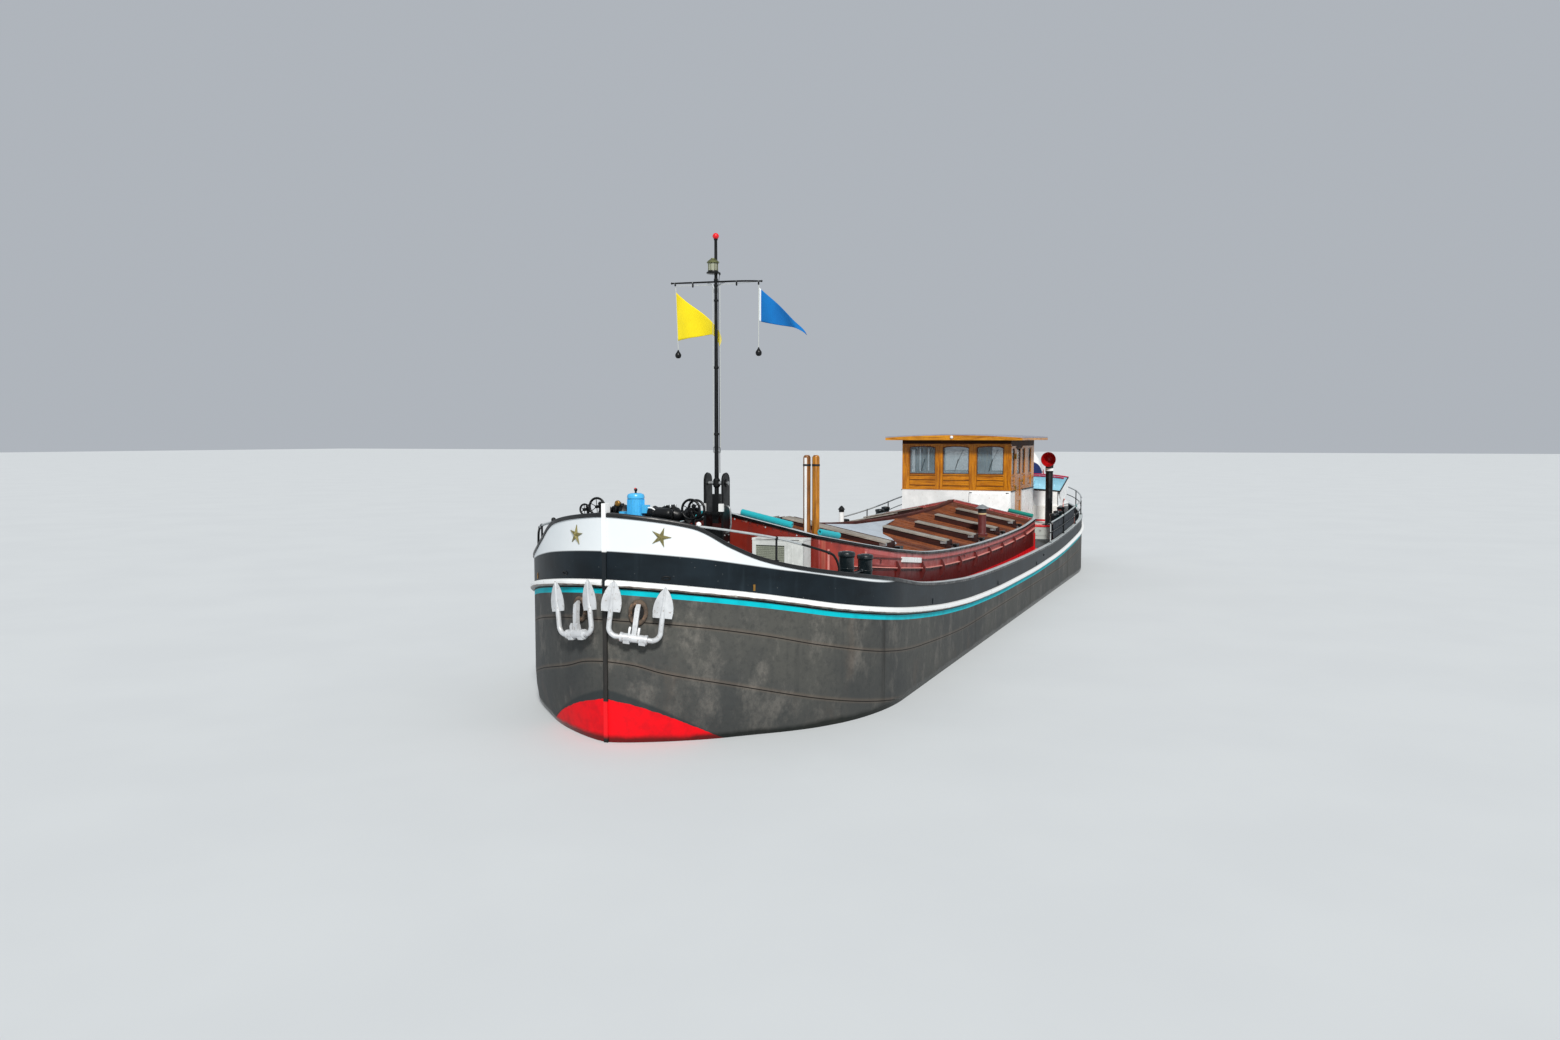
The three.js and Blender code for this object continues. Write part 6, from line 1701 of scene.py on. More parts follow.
cyan_foam = cloth("cyan_foam", rgb(16, 166, 178), 0.8)
teal_foam = cloth("teal_foam", rgb(14, 128, 116), 0.8)
timber_posts()
chimney("stove_chimney", 11.4, 1.5, 0.078, 0.59, 0.13, maroon, "stove_pipe",
        ((0.395, 0.425, painted("tan_band", rgb(206, 178, 132), 0.5)), (0.425, 0.5, dark_iron)))
chimney("vent_chimney", 11.0, -1.25, 0.05, 0.47, 0.07, white, "vent_pipe", ((0.34, 0.4, black),))
roof_pot()
cooler()
PAD_AFT = COAMING_FRONT + 0.02
edge_pad("edge_pad_inner", (PAD_AFT, 0.2), (PAD_AFT, 0.92), cyan_foam)
edge_pad("edge_pad_outer", (3.15, 1.27), (3.5, 1.405), cyan_foam)
edge_pad("edge_pad_starboard", (PAD_AFT, -0.8), (PAD_AFT, -0.2), cyan_foam)
edge_pad("edge_pad_aft", (COAMING_BACK - 0.02, 1.25), (COAMING_BACK - 0.02, 1.8), teal_foam)

# Wheelhouse
HOUSE = {"front": -3.99, "back": -6.74, "half": 1.27, "wall": 0.05, "floor": 1.18, "wood": 2.11, "top": 3.25}
SILL, HEAD, ARCH = 2.47, 3.07, 0.045
SIDE_LIGHTS = ((15.48, 0.3), (16.66, 0.27), (17.42, 0.32))
DOOR = {"front": -4.47, "back": -5.23, "low": 1.23, "top": 3.06, "thick": 0.045, "gap": 0.006}
HINGES = (1.42, 2.15, 2.88)

# Painted shadow: the header under the roof's overhang is dark wood.
wood_in_painted_shadow = weathered("header_wood_painted_shadow", rgb(74, 38, 14), rgb(40, 20, 8), "Y", 0.65)
wood_shade = varnished("frame_wood", rgb(112, 62, 18), rgb(70, 36, 10), "Z", 0.35)
# Painted reflection: the pale blue-grey tint and darker patches stand for sky seen in the panes.
glass = Look("window_glass", rgb(150, 172, 182), 0.04, Alpha=0.32, IOR=1.45)
glass.cover(glass.span(glass.noise(1.4, 3), 0.4, 0.7, 0, 0.6), rgb(96, 116, 128))
glass.rough(glass.span(glass.noise(5, 3), 0.4, 0.7, 0.03, 0.09))


def arch(centre, width, head=HEAD, inset=0.0):
    """A window's outline with an arched head, as (along, height) points."""
    half = width / 2 - inset
    points = [(centre - half, SILL + inset), (centre + half, SILL + inset)]
    for i in range(13):
        t = math.pi * i / 12
        points.append((centre + half * math.cos(t), head - ARCH - inset + ARCH * math.sin(t) ** 0.8))
    return points


class Wall:
    """Joinery in one plane. 'along' runs in the wall, and 'out' is 0 at its outer face, negative inside."""

    def __init__(self, shape, kind, place):
        self.shape = shape
        self.kind = kind
        self.face = place
        self.head = HEAD + 0.05 if kind == "cross" else HEAD

    def spot(self, along, out, z):
        if self.kind == "cross":
            sign = 1 if self.face > (HOUSE["back"] + HOUSE["front"]) / 2 else -1
            return (self.face + sign * out, along, z)
        sign = 1 if self.face > 0 else -1
        return (along, self.face + sign * out, z)

    def panel(self, outline, low, high, look):
        self.shape.loft([[self.spot(a, out, z) for a, z in outline] for out in (low, high)], look)

    def board(self, a, b, z0, z1, low, high, look):
        self.panel([(a, z0), (b, z0), (b, z1), (a, z1)], low, high, look)

    def light(self, centre, width):
        """Frame, bead and glass of one window."""
        outer, inner = (arch(centre, width, self.head, inset) for inset in (0, 0.02))
        rows = []
        for outline, out in ((outer, -0.04), (outer, -0.008), (inner, -0.012), (inner, -0.036)):
            rows.append([self.spot(a, out, z) for a, z in outline])
        self.shape.grid(rows, wood_shade, wrap_rows=True, wrap_columns=True)
        self.panel(arch(centre, width, self.head, 0.016), -0.027, -0.022, glass)

    def header(self, centre, width, look):
        """The wood over one window, cut to its arch."""
        top = arch(centre, width, self.head)[2:]
        beam = self.head + 0.03
        outline = [(centre + width / 2, beam), (centre - width / 2, beam)] + list(reversed(top))
        self.panel(outline, -0.05, 0, look)


# Boards under a window: inset at each end, low, high, inner and outer face, look
UNDER_SILL = (
    (0, SILL - 0.022, SILL, -0.05, 0.012, wood_across),
    (0.004, 2.34, SILL - 0.026, -0.045, -0.01, wood_across),
    (0.004, 2.326, 2.338, -0.045, -0.024, wood_shade),
    (0.004, 2.215, 2.324, -0.045, -0.01, wood_across),
    (0.004, 2.203, 2.213, -0.045, -0.024, wood_shade),
    (0, HOUSE["wood"], 2.2, -0.05, 0.004, wood_across),
)


def light_wall(wall, start, end, lights, skip=None):
    """One wall of posts, windows, boards and rails. skip is the doorway's span."""
    edges = [start]
    doorway = [((skip[0] + skip[1]) / 2, skip[1] - skip[0])] if skip else []
    for centre, width in sorted(lights + doorway):
        edges += [centre - width / 2, centre + width / 2]
    edges.append(end)
    for a, b in zip(edges[::2], edges[1::2]):
        wall.board(a, b, HOUSE["wood"], wall.head + 0.03, -0.05, 0.0, wood)
        if b - a > 0.1:
            wall.board(a + 0.02, b - 0.02, HOUSE["wood"] + 0.005, wall.head + 0.01, 0.0, 0.006, wood)
    spans = [(c - w / 2, c + w / 2) for c, w in lights]
    for centre, width in lights:
        wall.light(centre, width)
        wall.header(centre, width, wood)
    for a, b in spans:
        for inset, low, high, inner, outer, look in UNDER_SILL:
            wall.board(a + inset, b - inset, low, high, inner, outer, look)
    top_spans = [(start, skip[0]), (skip[1], end)] if skip else [(start, end)]
    for a, b in top_spans:
        # The dark header boards under the roof are a painted shadow.
        wall.board(a, b, wall.head + 0.03, HOUSE["top"], -0.05, 0, wood_in_painted_shadow)
        wall.board(a, b, wall.head + 0.022, wall.head + 0.048, -0.004, 0.012, wood_across)
        wall.board(a, b, HOUSE["wood"] + 0.001, HOUSE["wood"] + 0.022, 0.0, 0.01, wood_across)
    if skip:
        # Over the doorway too, the dark header board is a painted shadow.
        wall.board(*skip, DOOR["top"] + DOOR["gap"], HOUSE["top"], -0.05, 0, wood_in_painted_shadow)


def house_front():
    shape = Shape()
    wall = Wall(shape, "cross", HOUSE["front"])
    light_wall(wall, -HOUSE["half"], HOUSE["half"], [(-0.79, 0.62), (0, 0.62), (0.79, 0.62)])
    face, pivot = HOUSE["front"], HEAD - 0.05
    for y in (-0.62, 0.17, 0.96):
        shape.rod((face + 0.004, y, pivot), (face + 0.02, y, pivot), 0.008, black)
        shape.rod((face + 0.016, y, pivot), (face + 0.01, y - 0.16, SILL + 0.2), 0.004, black, sides=8)
        shape.rod((face + 0.002, y - 0.11, SILL + 0.35), (face, y - 0.19, SILL + 0.08), 0.006, black,
                  sides=8)
    return shape.build("house_front", replaces=["wheelhouse_front"], bevel=0.003)


def house_back():
    shape = Shape()
    wall = Wall(shape, "cross", HOUSE["back"])
    light_wall(wall, -HOUSE["half"], HOUSE["half"], [(-0.6, 0.76), (0.6, 0.76)])
    return shape.build("house_back", replaces=["wheelhouse_back"], bevel=0.003)


def house_side(word, side):
    shape = Shape()
    wall = Wall(shape, "side", side * HOUSE["half"])
    lights = [(BOW_X - aft, width) for aft, width in SIDE_LIGHTS]
    front, back = HOUSE["front"] - 0.0504, HOUSE["back"] + 0.0504
    skip = (DOOR["back"] - DOOR["gap"], DOOR["front"] + DOOR["gap"])
    light_wall(wall, back, front, lights, skip)
    return shape.build(f"house_side_{word}", replaces=[f"wheelhouse_side_{word}"],
                       bevel=0.003)


def door(word, side):
    shape = Shape()
    wall = Wall(shape, "side", side * HOUSE["half"])
    a, b, low, top = DOOR["back"], DOOR["front"], DOOR["low"], DOOR["top"]
    middle = (a + b) / 2
    for left, right in ((a, middle - 0.2), (middle + 0.2, b)):
        wall.board(left, right, low, top, -DOOR["thick"], 0, wood)
    outline = [(middle + 0.2, top), (middle - 0.2, top)] + arch(middle, 0.4)[:1:-1]
    wall.panel(outline, -DOOR["thick"], 0, wood)
    for z0, z1 in ((SILL - 0.09, SILL), (1.86, 1.96), (low, low + 0.13)):
        wall.board(middle - 0.2, middle + 0.2, z0, z1, -DOOR["thick"], 0.0, wood_across)
    for z0, z1 in ((low + 0.13, 1.86), (1.96, SILL - 0.09)):
        for i in range(4):
            left = middle - 0.2 + i * 0.1
            wall.board(left + 0.0015, left + 0.0985, z0, z1, -0.034, -0.012, wood)
    wall.light(middle, 0.4)
    wall.board(a + 0.01, b - 0.01, low + 0.02, low + 0.1, 0.0, 0.003, yellow_brown)
    y = side * HOUSE["half"]
    x, z = a + 0.06, 2.3
    knob = [(0.03, 0), (0.03, 0.006), (0.011, 0.01), (0.011, 0.03), (0.02, 0.036), (0.0255, 0.045),
            (0.02, 0.0535),
            (1e-4, 0.055)]
    inner_knob = [(0.026, 0), (0.026, 0.005), (0.011, 0.009), (0.011, 0.026), (0.02, 0.032), (0.02, 0.044),
                  (1e-4, 0.046)]
    shape.lathe((x, y, z), knob, brass, 28, "Y", side)
    shape.lathe((x, y - side * DOOR["thick"], z), inner_knob, brass, 28, "Y", -side)
    shape.rod((x, y, z - 0.07), (x, y + side * 0.005, z - 0.07), 0.012, brass)
    for height in HINGES:
        pin = (b + 0.003, side * (HOUSE["half"] + 0.0145))
        strap = HOUSE["half"] + 0.007
        shape.rod((*pin, height - 0.055), (*pin, height + 0.055), 0.0135, brass, sides=24)
        shape.ball((*pin, height + 0.057), 0.012, brass, 14)
        shape.sided_box(side, (b - 0.13, HOUSE["half"] + 0.001, height - 0.026),
                        (b - 0.006, strap, height + 0.026), brass)
        bolts(shape, [(b - d, side * strap, height + h) for d in (0.115, 0.075, 0.04)
                      for h in (-0.013, 0.013)], 0.005,
              side * 0.002, zinc, "Y")
    return shape.build(f"door_leaf_{word}", body=f"door_{word}", replaces=[f"wheelhouse_door_{word}"],
                       bevel=0.002)


ROOF = {"front": -3.65, "back": -6.86, "half": 1.58, "base": 3.2504, "edge": 0.08, "camber": 0.06}
roof_top_paint = painted("roof_top_paint", rgb(150, 152, 164), 0.55, 0.4, 1.5, rgb(196, 196, 198))
fascia = varnished("fascia_wood", rgb(214, 146, 30), rgb(150, 88, 14), "Y", 0.25)
fascia_side = varnished("fascia_wood_side", rgb(214, 146, 30), rgb(150, 88, 14), "X", 0.25)
soffit = weathered("soffit_wood", rgb(84, 46, 18), rgb(48, 26, 10), "X", 0.65)


def roof_camber(y):
    return ROOF["base"] + ROOF["edge"] + ROOF["camber"] * (1 - (y / ROOF["half"]) ** 2)


def house_roof():
    shape = Shape()
    front, back, half, base = ROOF["front"], ROOF["back"], ROOF["half"], ROOF["base"]
    steps = [half * (i / 12 - 1) for i in range(25)]
    rows = []
    for x in (back + 0.004, front - 0.004):
        over = [(x, y, roof_camber(y)) for y in steps]
        under = [(x, y, roof_camber(y) - 0.027) for y in reversed(steps)]
        rows.append(over + under)
    shape.loft(rows, roof_top_paint)
    for x0, x1 in ((front - 0.03, front), (back, back + 0.03)):
        outline = [(y, roof_camber(y) - 0.0274) for y in steps] + [(y, base) for y in reversed(steps)]
        shape.loft([[(x, y, z) for y, z in outline] for x in (x0, x1)], fascia)
    for side in (1, -1):
        y0, y1 = sorted((side * (half - 0.03), side * half))
        shape.box((back + 0.0302, y0, base), (front - 0.0302, y1, base + ROOF["edge"] - 0.0276), fascia_side)
        shape.box((back + 0.0302, y0 + 0.001, base + 0.03), (front - 0.0302, y1, base + 0.035), wood_shade)
    boards, span = 24, 2 * half - 0.064
    for i in range(boards):
        y = -half + 0.032 + span * i / boards
        shape.box((back + 0.0305, y + 0.001, base + 0.012),
                  (front - 0.0305, y + span / boards - 0.001, base + 0.028), soffit)
    for x in (front - 0.5, front - 1.35, front - 2.2):
        reach = HOUSE["half"] - 0.06
        shape.box((x - 0.03, -reach, base), (x + 0.03, reach, base + 0.012), wood_across)
    return shape.build("house_roof", replaces=["wheelhouse_roof"], bevel=0.003)


def roof_fittings():
    shape = Shape()
    front = ROOF["front"]
    shape.rod((front, -0.014, 3.318), (front + 0.004, -0.014, 3.318), 0.04, wood_shade, sides=28)
    shape.lathe((front + 0.004, -0.014, 3.318),
                [(0.034, 0), (0.036, 0.01), (0.03, 0.024), (0.024, 0.03), (1e-4, 0.033)], white, 28, "X")
    return shape.build("roof_fittings", bevel=0.0015)


def helm_wheel():
    shape = Shape()
    centre = Vector((-4.65, 0, 2.06))
    shape.ring(centre, 0.33, 0.019, wood_shade, "X", 64)
    for d in (0.017, -0.017):
        shape.ring(centre + Vector((d, 0, 0)), 0.33, 0.006, brass, "X", 64)
    shape.lathe(centre, [(0.001, -0.04), (0.03, -0.04), (0.046, -0.03), (0.048, 0.0), (0.046, 0.04),
                         (0.034, 0.055), (0.001, 0.0594)], brass, 32, "X")
    for i in range(8):
        a = i * math.pi / 4
        out = Vector((0, math.cos(a), math.sin(a)))
        line = [centre + out * r for r in (0.03, 0.12, 0.2, 0.28, 0.345, 0.37, 0.395, 0.418)]
        size = (0.012, 0.0095, 0.0125, 0.0095, 0.012, 0.0085, 0.0125, 0.006)
        shape.tube(line, lambda share, size=size: size[min(7, round(share * 7))], wood, 14, smooth=False)
    return shape.build("helm_wheel", body="helm", replaces=["steering_wheel"],
                       bevel=0.0)


def helm_desk():
    shape = Shape()
    low, front, back = HOUSE["floor"] + SEAT, HOUSE["front"] - 0.0504, -4.49
    shape.box((back + 0.01, -0.44, low), (front, 0.44, 2.16), wood)
    shape.slab([(back, -0.45, 2.16), (front, -0.45, 2.16), (front, -0.45, 2.2), (back, -0.45, 2.185)],
               (0, 0.9, 0), wood_across)
    for y0, y1 in ((-0.42, -0.015), (0.015, 0.42)):
        shape.box((back, y0, low + 0.08), (back + 0.012, y1, 1.86), wood_across)
        shape.box((back - 0.006, y0 + 0.05, low + 0.14), (back + 0.002, y1 - 0.05, 1.8), wood)
    for y in (-0.045, 0.045):
        shape.ball((back - 0.012, y, 1.6), 0.014, brass, 14)
    for y, r in ((-0.32, 0.045), (-0.2, 0.032), (0.22, 0.045), (0.34, 0.032)):
        shape.lathe((back + 0.06, y, 2.183), [(r, -0.004), (r + 0.008, 0.0), (r + 0.008, 0.01), (r, 0.014),
                                              (r * 0.9, 0.01), (1e-4, 0.009)], brass, 28)
    shape.lathe((front - 0.18, 0, 2.19), [(0.075, 0), (0.08, 0.03), (0.07, 0.07), (0.04, 0.095),
                                          (1e-4, 0.1)], black, 32)
    shape.lathe((-4.59, 0, 2.06), [(0.055, 0), (0.055, 0.09), (0.075, 0.1), (0.075, 0.115), (0.001, 0.115)],
                brass, 32, "X")
    for y in (0.405, 0.43):
        shape.tube([(back + 0.1, y, 2.18), (back + 0.09, y, 2.24), (back + 0.06, y, 2.3)], 0.006, zinc)
        shape.ball((back + 0.06, y, 2.305), 0.012, red if y > 0.42 else black, 14)
    return shape.build("helm_desk", replaces=["steering_console"], bevel=0.003)


def house_trim():
    """The slanted hatch on the front, the floor boards inside, and the strips round the base."""
    shape = Shape()
    front, base_low = HOUSE["front"], deck_at(15.2) + 0.012
    lean = [(front + SEAT, base_low), (front + 0.098, base_low), (front + 0.098, 1.52),
            (front + 0.03, 2.055),
            (front + 0.012, 2.085), (front + SEAT, 2.09)]
    shape.loft([[(x, y, z) for x, z in lean] for y in (0.33, 1.245)], white_steel)
    shape.slab([(front + 0.1, 0.36, 1.6), (front + 0.1, 1.215, 1.6), (front + 0.042, 1.215, 2.03),
                (front + 0.042, 0.36, 2.03)], (0.008, 0, 0.001), white_steel)
    for y in (0.36, 1.2):
        shape.rod((front + 0.034, y - 0.03, 2.06), (front + 0.034, y + 0.03, 2.06), 0.012, zinc)
    face = HOUSE["half"] + 0.0005
    for side, end in ((1, front), (-1, front + 0.012)):
        for a, b in ((HOUSE["back"], -5.245), (-4.455, end)):
            shape.sided_box(side, (a, face, 2.086), (b, face + 0.016, 2.108), black)
        shape.sided_box(side, (-5.25, face, 1.205), (-4.45, face + 0.03, 1.226), zinc)
    boards, floor = 18, HOUSE["floor"]
    for i in range(boards):
        y = -1.2 + i * 2.4 / boards
        shape.box((HOUSE["back"] + 0.06, y + 0.001, floor + 0.0002),
                  (front - 0.06, y + 2.4 / boards - 0.001, floor + 0.014), floor_board)
    return shape.build("house_trim", bevel=0.003)


def gloss(name, look, bevel=0.004):
    """Finishes a node whose shape stays as it is."""
    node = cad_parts[name]
    node.data.materials.clear()
    node.data.materials.append(look.material)
    if bevel:
        soften(node, bevel)


white_steel = painted("white_steel", rgb(236, 238, 238), 0.32, 0.14, 1, rgb(150, 110, 84))
# Painted shade and reflection: the near-black glass stands for the dark cabin behind it, its lighter patches
# for reflected sky.
portlight_painted_shade = Look("port_glass", rgb(20, 26, 30), 0.05)
portlight_painted_shade.cover(portlight_painted_shade.span(portlight_painted_shade.noise(3), 0.4, 0.7, 0, 0.6), rgb(52, 64, 72))
floor_board = weathered("floor_board", rgb(132, 92, 54), rgb(94, 62, 36), "X", 0.55)


def base_paint():
    """White, with rust run down its lower part."""
    look = painted("base_paint", rgb(238, 240, 240), 0.3, 0.12, 0.8, rgb(170, 140, 120))
    z = look.axis("Z")
    run = look.noise(9, 5, stretch=(1, 1, 0.08), shift=12)
    look.cover(look.math("MULTIPLY", look.span(z, 1.5, 0.9), look.span(run, 0.5, 0.75)), rgb(168, 140, 116))
    return look


def cabin_paint():
    look = painted("cabin_paint", rgb(240, 240, 236), 0.3, 0.12, 0.8, rgb(170, 140, 120))
    z = look.axis("Z")
    look.cover(look.band(z, 1.255, 1.3, 0.003), rgb(214, 24, 34))
    look.cover(look.span(z, 1.257, 1.253), rgb(206, 210, 208))
    return look


gloss("wheelhouse_base", base_paint(), 0.006)
house_front()
house_back()
for word, side in SIDES:
    house_side(word, side)
    door(word, side)
house_roof()
roof_fittings()
helm_wheel()
helm_desk()
house_trim()

# Aft cabin, locker and what stands on the side deck
pale_blue = painted("pale_blue_paint", rgb(150, 204, 224), 0.35, 0.15, 1.5, rgb(210, 226, 230))
crimson = painted("crimson_paint", rgb(176, 16, 62), 0.3, 0.15, 2)
cowl_red = painted("cowl_red", rgb(170, 12, 16), 0.3, 0.25, 3)
cowl_rim = painted("cowl_rim", rgb(120, 24, 30), 0.35, 0.3, 3)
teal_line = cloth("teal_line", rgb(30, 140, 140))
locker_paint = painted("locker_paint", rgb(186, 192, 188), 0.4, 0.25, 2, rgb(120, 110, 100))
bronze = bare_metal("bronze", rgb(166, 126, 72), 0.35, rgb(84, 96, 78), 1.0)
CABIN = ((-6.7404, 1.88), (-8.15, 1.9), (-8.85, 1.75), (-9.45, 1.45), (-9.8, 1.0), (-9.91, 0.45))
CABIN_TOP = 1.64
LOCKER = {"front": -5.75, "back": -6.7394, "inner": 1.33, "outer": 1.96, "top": 1.215}


def cabin_edge(out=0.0):
    """The cabin's outline from its front port corner round the stern, moved outward."""
    port = []
    for i, (x, y) in enumerate(CABIN):
        a, b = CABIN[max(0, i - 1)], CABIN[min(len(CABIN) - 1, i + 1)]
        run = Vector((b[0] - a[0], b[1] - a[1])).normalized()
        port.append((x + run.y * out, y - run.x * out))
    return port + [(x, -y) for x, y in reversed(port)]


def cabin_trim():
    shape = Shape()
    edge = [Vector((x, y, CABIN_TOP + 0.004)) for x, y in cabin_edge(0.004)]
    shape.tube(edge, 0.016, white_steel, 12, smooth=False)
    for side in (1, -1):
        for x in (-7.35, -8.0):
            y = side * (1.88 + 0.02 * (-6.74 - x) / 1.41)
            shape.lathe((x, y, 1.4), [(0.075, 0), (0.085, 0.004), (0.085, 0.014), (0.07, 0.018),
                                      (0.066, 0.01), (1e-4, 0.008)],
                        brass, 36, "Y", side)
            shape.lathe((x, y, 1.4), [(0.064, 0.006), (0.06, 0.012), (1e-4, 0.013)], portlight_painted_shade, 30, "Y",
                        side)
            bolts(shape, [(x + 0.077 * math.cos(a), y + side * 0.012, 1.4 + 0.077 * math.sin(a))
                          for a in round_steps(6)], 0.005,
                  side * 0.006, brass, "Y")
        shape.tube([(-7.0, side * 1.7, CABIN_TOP), (-7.0, side * 1.7, CABIN_TOP + 0.05),
                    (-7.08, side * 1.7, CABIN_TOP + 0.062),
                    (-9.0, side * 1.5, CABIN_TOP + 0.062), (-9.08, side * 1.49, CABIN_TOP + 0.05),
                    (-9.08, side * 1.49, CABIN_TOP)], 0.014,
                   wood_across, 12)
    shape.box((-9.5, -0.35, CABIN_TOP - 0.002), (-8.75, 0.35, CABIN_TOP + 0.06), white_steel)
    shape.box((-9.53, -0.38, CABIN_TOP + 0.06), (-8.72, 0.38, CABIN_TOP + 0.085), wood_across)
    for y in (-0.3, 0.3):
        shape.box((-8.72, y - 0.025, CABIN_TOP), (-8.55, y + 0.025, CABIN_TOP + 0.03), wood_across)
    return shape.build("cabin_trim", bevel=0.003)


def tender_apron():
    """The white screen between the cabin's top and the tender."""
    shape = Shape()
    low, front = CABIN_TOP + SEAT, -6.775
    face = [(-1.5, low), (1.862, low), (1.862, 1.98), (0.9, 2.02), (-1.5, 1.99)]
    shape.slab([(front, y, z) for y, z in face], (-0.012, 0, 0), white_steel)
    for side, y, back in ((1, 1.862, -8.7), (-1, -1.5, -7.6)):
        outline = [(front, low), (back, low), (back, 1.69), (-7.2, 1.76), (-6.9, 1.86), (front, 1.98)]
        shape.slab([(x, y, z) for x, z in outline], (0, -0.012 * side, 0), white_steel)
    for y in (-1.4, -0.7, 0.0, 0.7, 1.4):
        shape.slab([(-6.787, y, low), (-6.88, y, low), (-6.787, y, low + 0.2)], (0, 0.01, 0), white_steel)
    return shape.build("tender_apron", bevel=0.003)


def locker_trim():
    shape = Shape()
    front, back, inner, outer, top = (LOCKER[k] for k in ("front", "back", "inner", "outer", "top"))
    shape.box((back, inner, top - 0.028), (front + 0.012, outer + 0.012, top + 0.0004), red)
    shape.box((back + 0.01, inner + 0.01, top), (front - 0.34, outer - 0.01, top + 0.018), locker_paint)
    for x in (back + 0.12, front - 0.42):
        shape.rod((x - 0.05, inner + 0.012, top + 0.018), (x + 0.05, inner + 0.012, top + 0.018), 0.011,
                  zinc)
    shape.box((front - 0.001, inner + 0.09, 0.98), (front + 0.008, outer - 0.09, 1.15), locker_paint)
    shape.rod((front + 0.004, inner + 0.3, 1.1), (front + 0.022, inner + 0.3, 1.1), 0.016, zinc)
    bolts(shape, [(front + 0.008, y, z) for y in (inner + 0.11, outer - 0.11) for z in (1.0, 1.13)], 0.008,
          0.005, zinc, "X")
    return shape.build("locker_trim", bevel=0.003)


def deck_box():
    """A black cabinet with louvres on the port side deck, and its bent vent pipe."""
    shape = Shape()
    x0, x1, y0, y1, top = -6.5, -5.95, 1.985, 2.15, 1.655
    foot = deck_at(17.5) + 0.01
    shape.box((x0, y0, foot), (x1, y1, top - 0.04), black)
    shape.box((x0 - 0.012, y0 - 0.006, top - 0.04), (x1 + 0.012, y1 + 0.012, top), black)
    for i in range(5):
        z = 1.36 + i * 0.035
        shape.slab([(x1, y0 + 0.03, z), (x1, y1 - 0.03, z), (x1 + 0.012, y1 - 0.03, z - 0.012),
                    (x1 + 0.012, y0 + 0.03, z - 0.012)],
                   (0, 0, 0.004), black)
    shape.box((x1, y0 + 0.03, 1.555), (x1 + 0.006, y0 + 0.1, 1.6), maroon)
    shape.box((x1, y1 - 0.05, 1.46), (x1 + 0.007, y1 - 0.02, 1.49), white)
    shape.box((x1, y1 - 0.055, 1.3), (x1 + 0.007, y1 - 0.03, 1.33), white)
    shape.tube([(x1 - 0.06, y1 - 0.035, top - 0.002), (x1 - 0.06, y1 - 0.035, top + 0.13),
                (x1 - 0.05, y1 - 0.025, top + 0.18),
                (x1 - 0.02, y1 - 0.005, top + 0.2), (x1 + 0.01, y1 + 0.005, top + 0.17)], 0.011, pale_red,
               12)
    shape.ring((x1 - 0.06, y1 - 0.035, top + 0.004), 0.017, 0.006, black)
    return shape.build("deck_box", bevel=0.003)


def fender():
    """An inflated fender tied up short to the stern rail."""
    shape = Shape()
    aft, z = 17.7, rail_top(17.7) + 0.1
    spot = edge_at(aft, 1, 0.12, z)
    body = [(1e-4, -0.15), (0.03, -0.15), (0.055, -0.135), (0.072, -0.1), (0.075, -0.03), (0.075, 0.05),
            (0.07, 0.09), (0.05, 0.125),
            (0.028, 0.14), (0.022, 0.16), (0.022, 0.18), (1e-4, 0.182)]
    start = len(shape.looks)
    shape.lathe(spot, body, white, 32)
    for i in range(start + 32 * 2, start + 32 * 5):
        shape.looks[i] = pale_red
    top = edge_at(aft, 1, RAIL_INSET, rail_top(aft) + STERN_RAIL_LIFT)
    shape.rod(spot + Vector((0, 0, 0.17)), top, 0.006, teal_line)
    shape.ring(top, 0.021, 0.006, teal_line, "X", 20)
    return shape.build("fender", crease=50)


DODGER_HIGH = 0.375


def dodger():
    """A dark canvas screen laced to the stern rail."""
    shape = Shape()
    canvas = cloth("dodger_canvas", rgb(26, 36, 46), sheen=0.03)
    first, last = 14.62, 17.58
    rows = []
    for i in range(61):
        aft = first + (last - first) * i / 60
        row = []
        for k in range(13):
            lift = 0.02 + DODGER_HIGH * k / 12
            wave = 0.006 * math.sin(aft * 14 + k) * math.sin(math.pi * k / 12) + 0.004 * math.sin(aft * 31)
            row.append(edge_at(aft, 1, 0.052 + wave, rail_top(aft) + lift))
        rows.append(row)
    shape.grid(rows, canvas)
    made = shape.build("rail_dodger", crease=80)
    thick = made.modifiers.new("cloth", "SOLIDIFY")
    thick.thickness = 0.002
    lacing = Shape()
    for i in range(12):
        aft = first + 0.04 + (last - first - 0.08) * i / 11
        eye = edge_at(aft, 1, 0.054, rail_top(aft) + DODGER_HIGH)
        bar = edge_at(aft, 1, RAIL_INSET, rail_top(aft) + STERN_RAIL_LIFT)
        lacing.ring(eye, 0.011, 0.0035, zinc, "Y", 18)
        turns = [eye] + [bar + Vector((0, *place)) for place in ((-0.017, 0.006), (0, 0.019), (0.018, 0))]
        for a, b in zip(turns, turns[1:]):
            lacing.rod(a, b, 0.003, teal_line, sides=8)
    return lacing.build("dodger_lacing")


# Tender, lying across the cabin and tipped towards the bow
TENDER = {"half": 1.65, "length": 3.3, "wide": 0.7, "tip": -14, "turn": -90, "place": (-7.9, 0.2, 1.765)}
TENDER_PLATE = 0.024
TENDER_SIDE = ((0, 0), (0.2, 0), (0.35, 0.0), (0.56, 0.055), (0.75, 0.16), (0.86, 0.29), (0.93, 0.45),
               (0.972, 0.7), (1, 1))


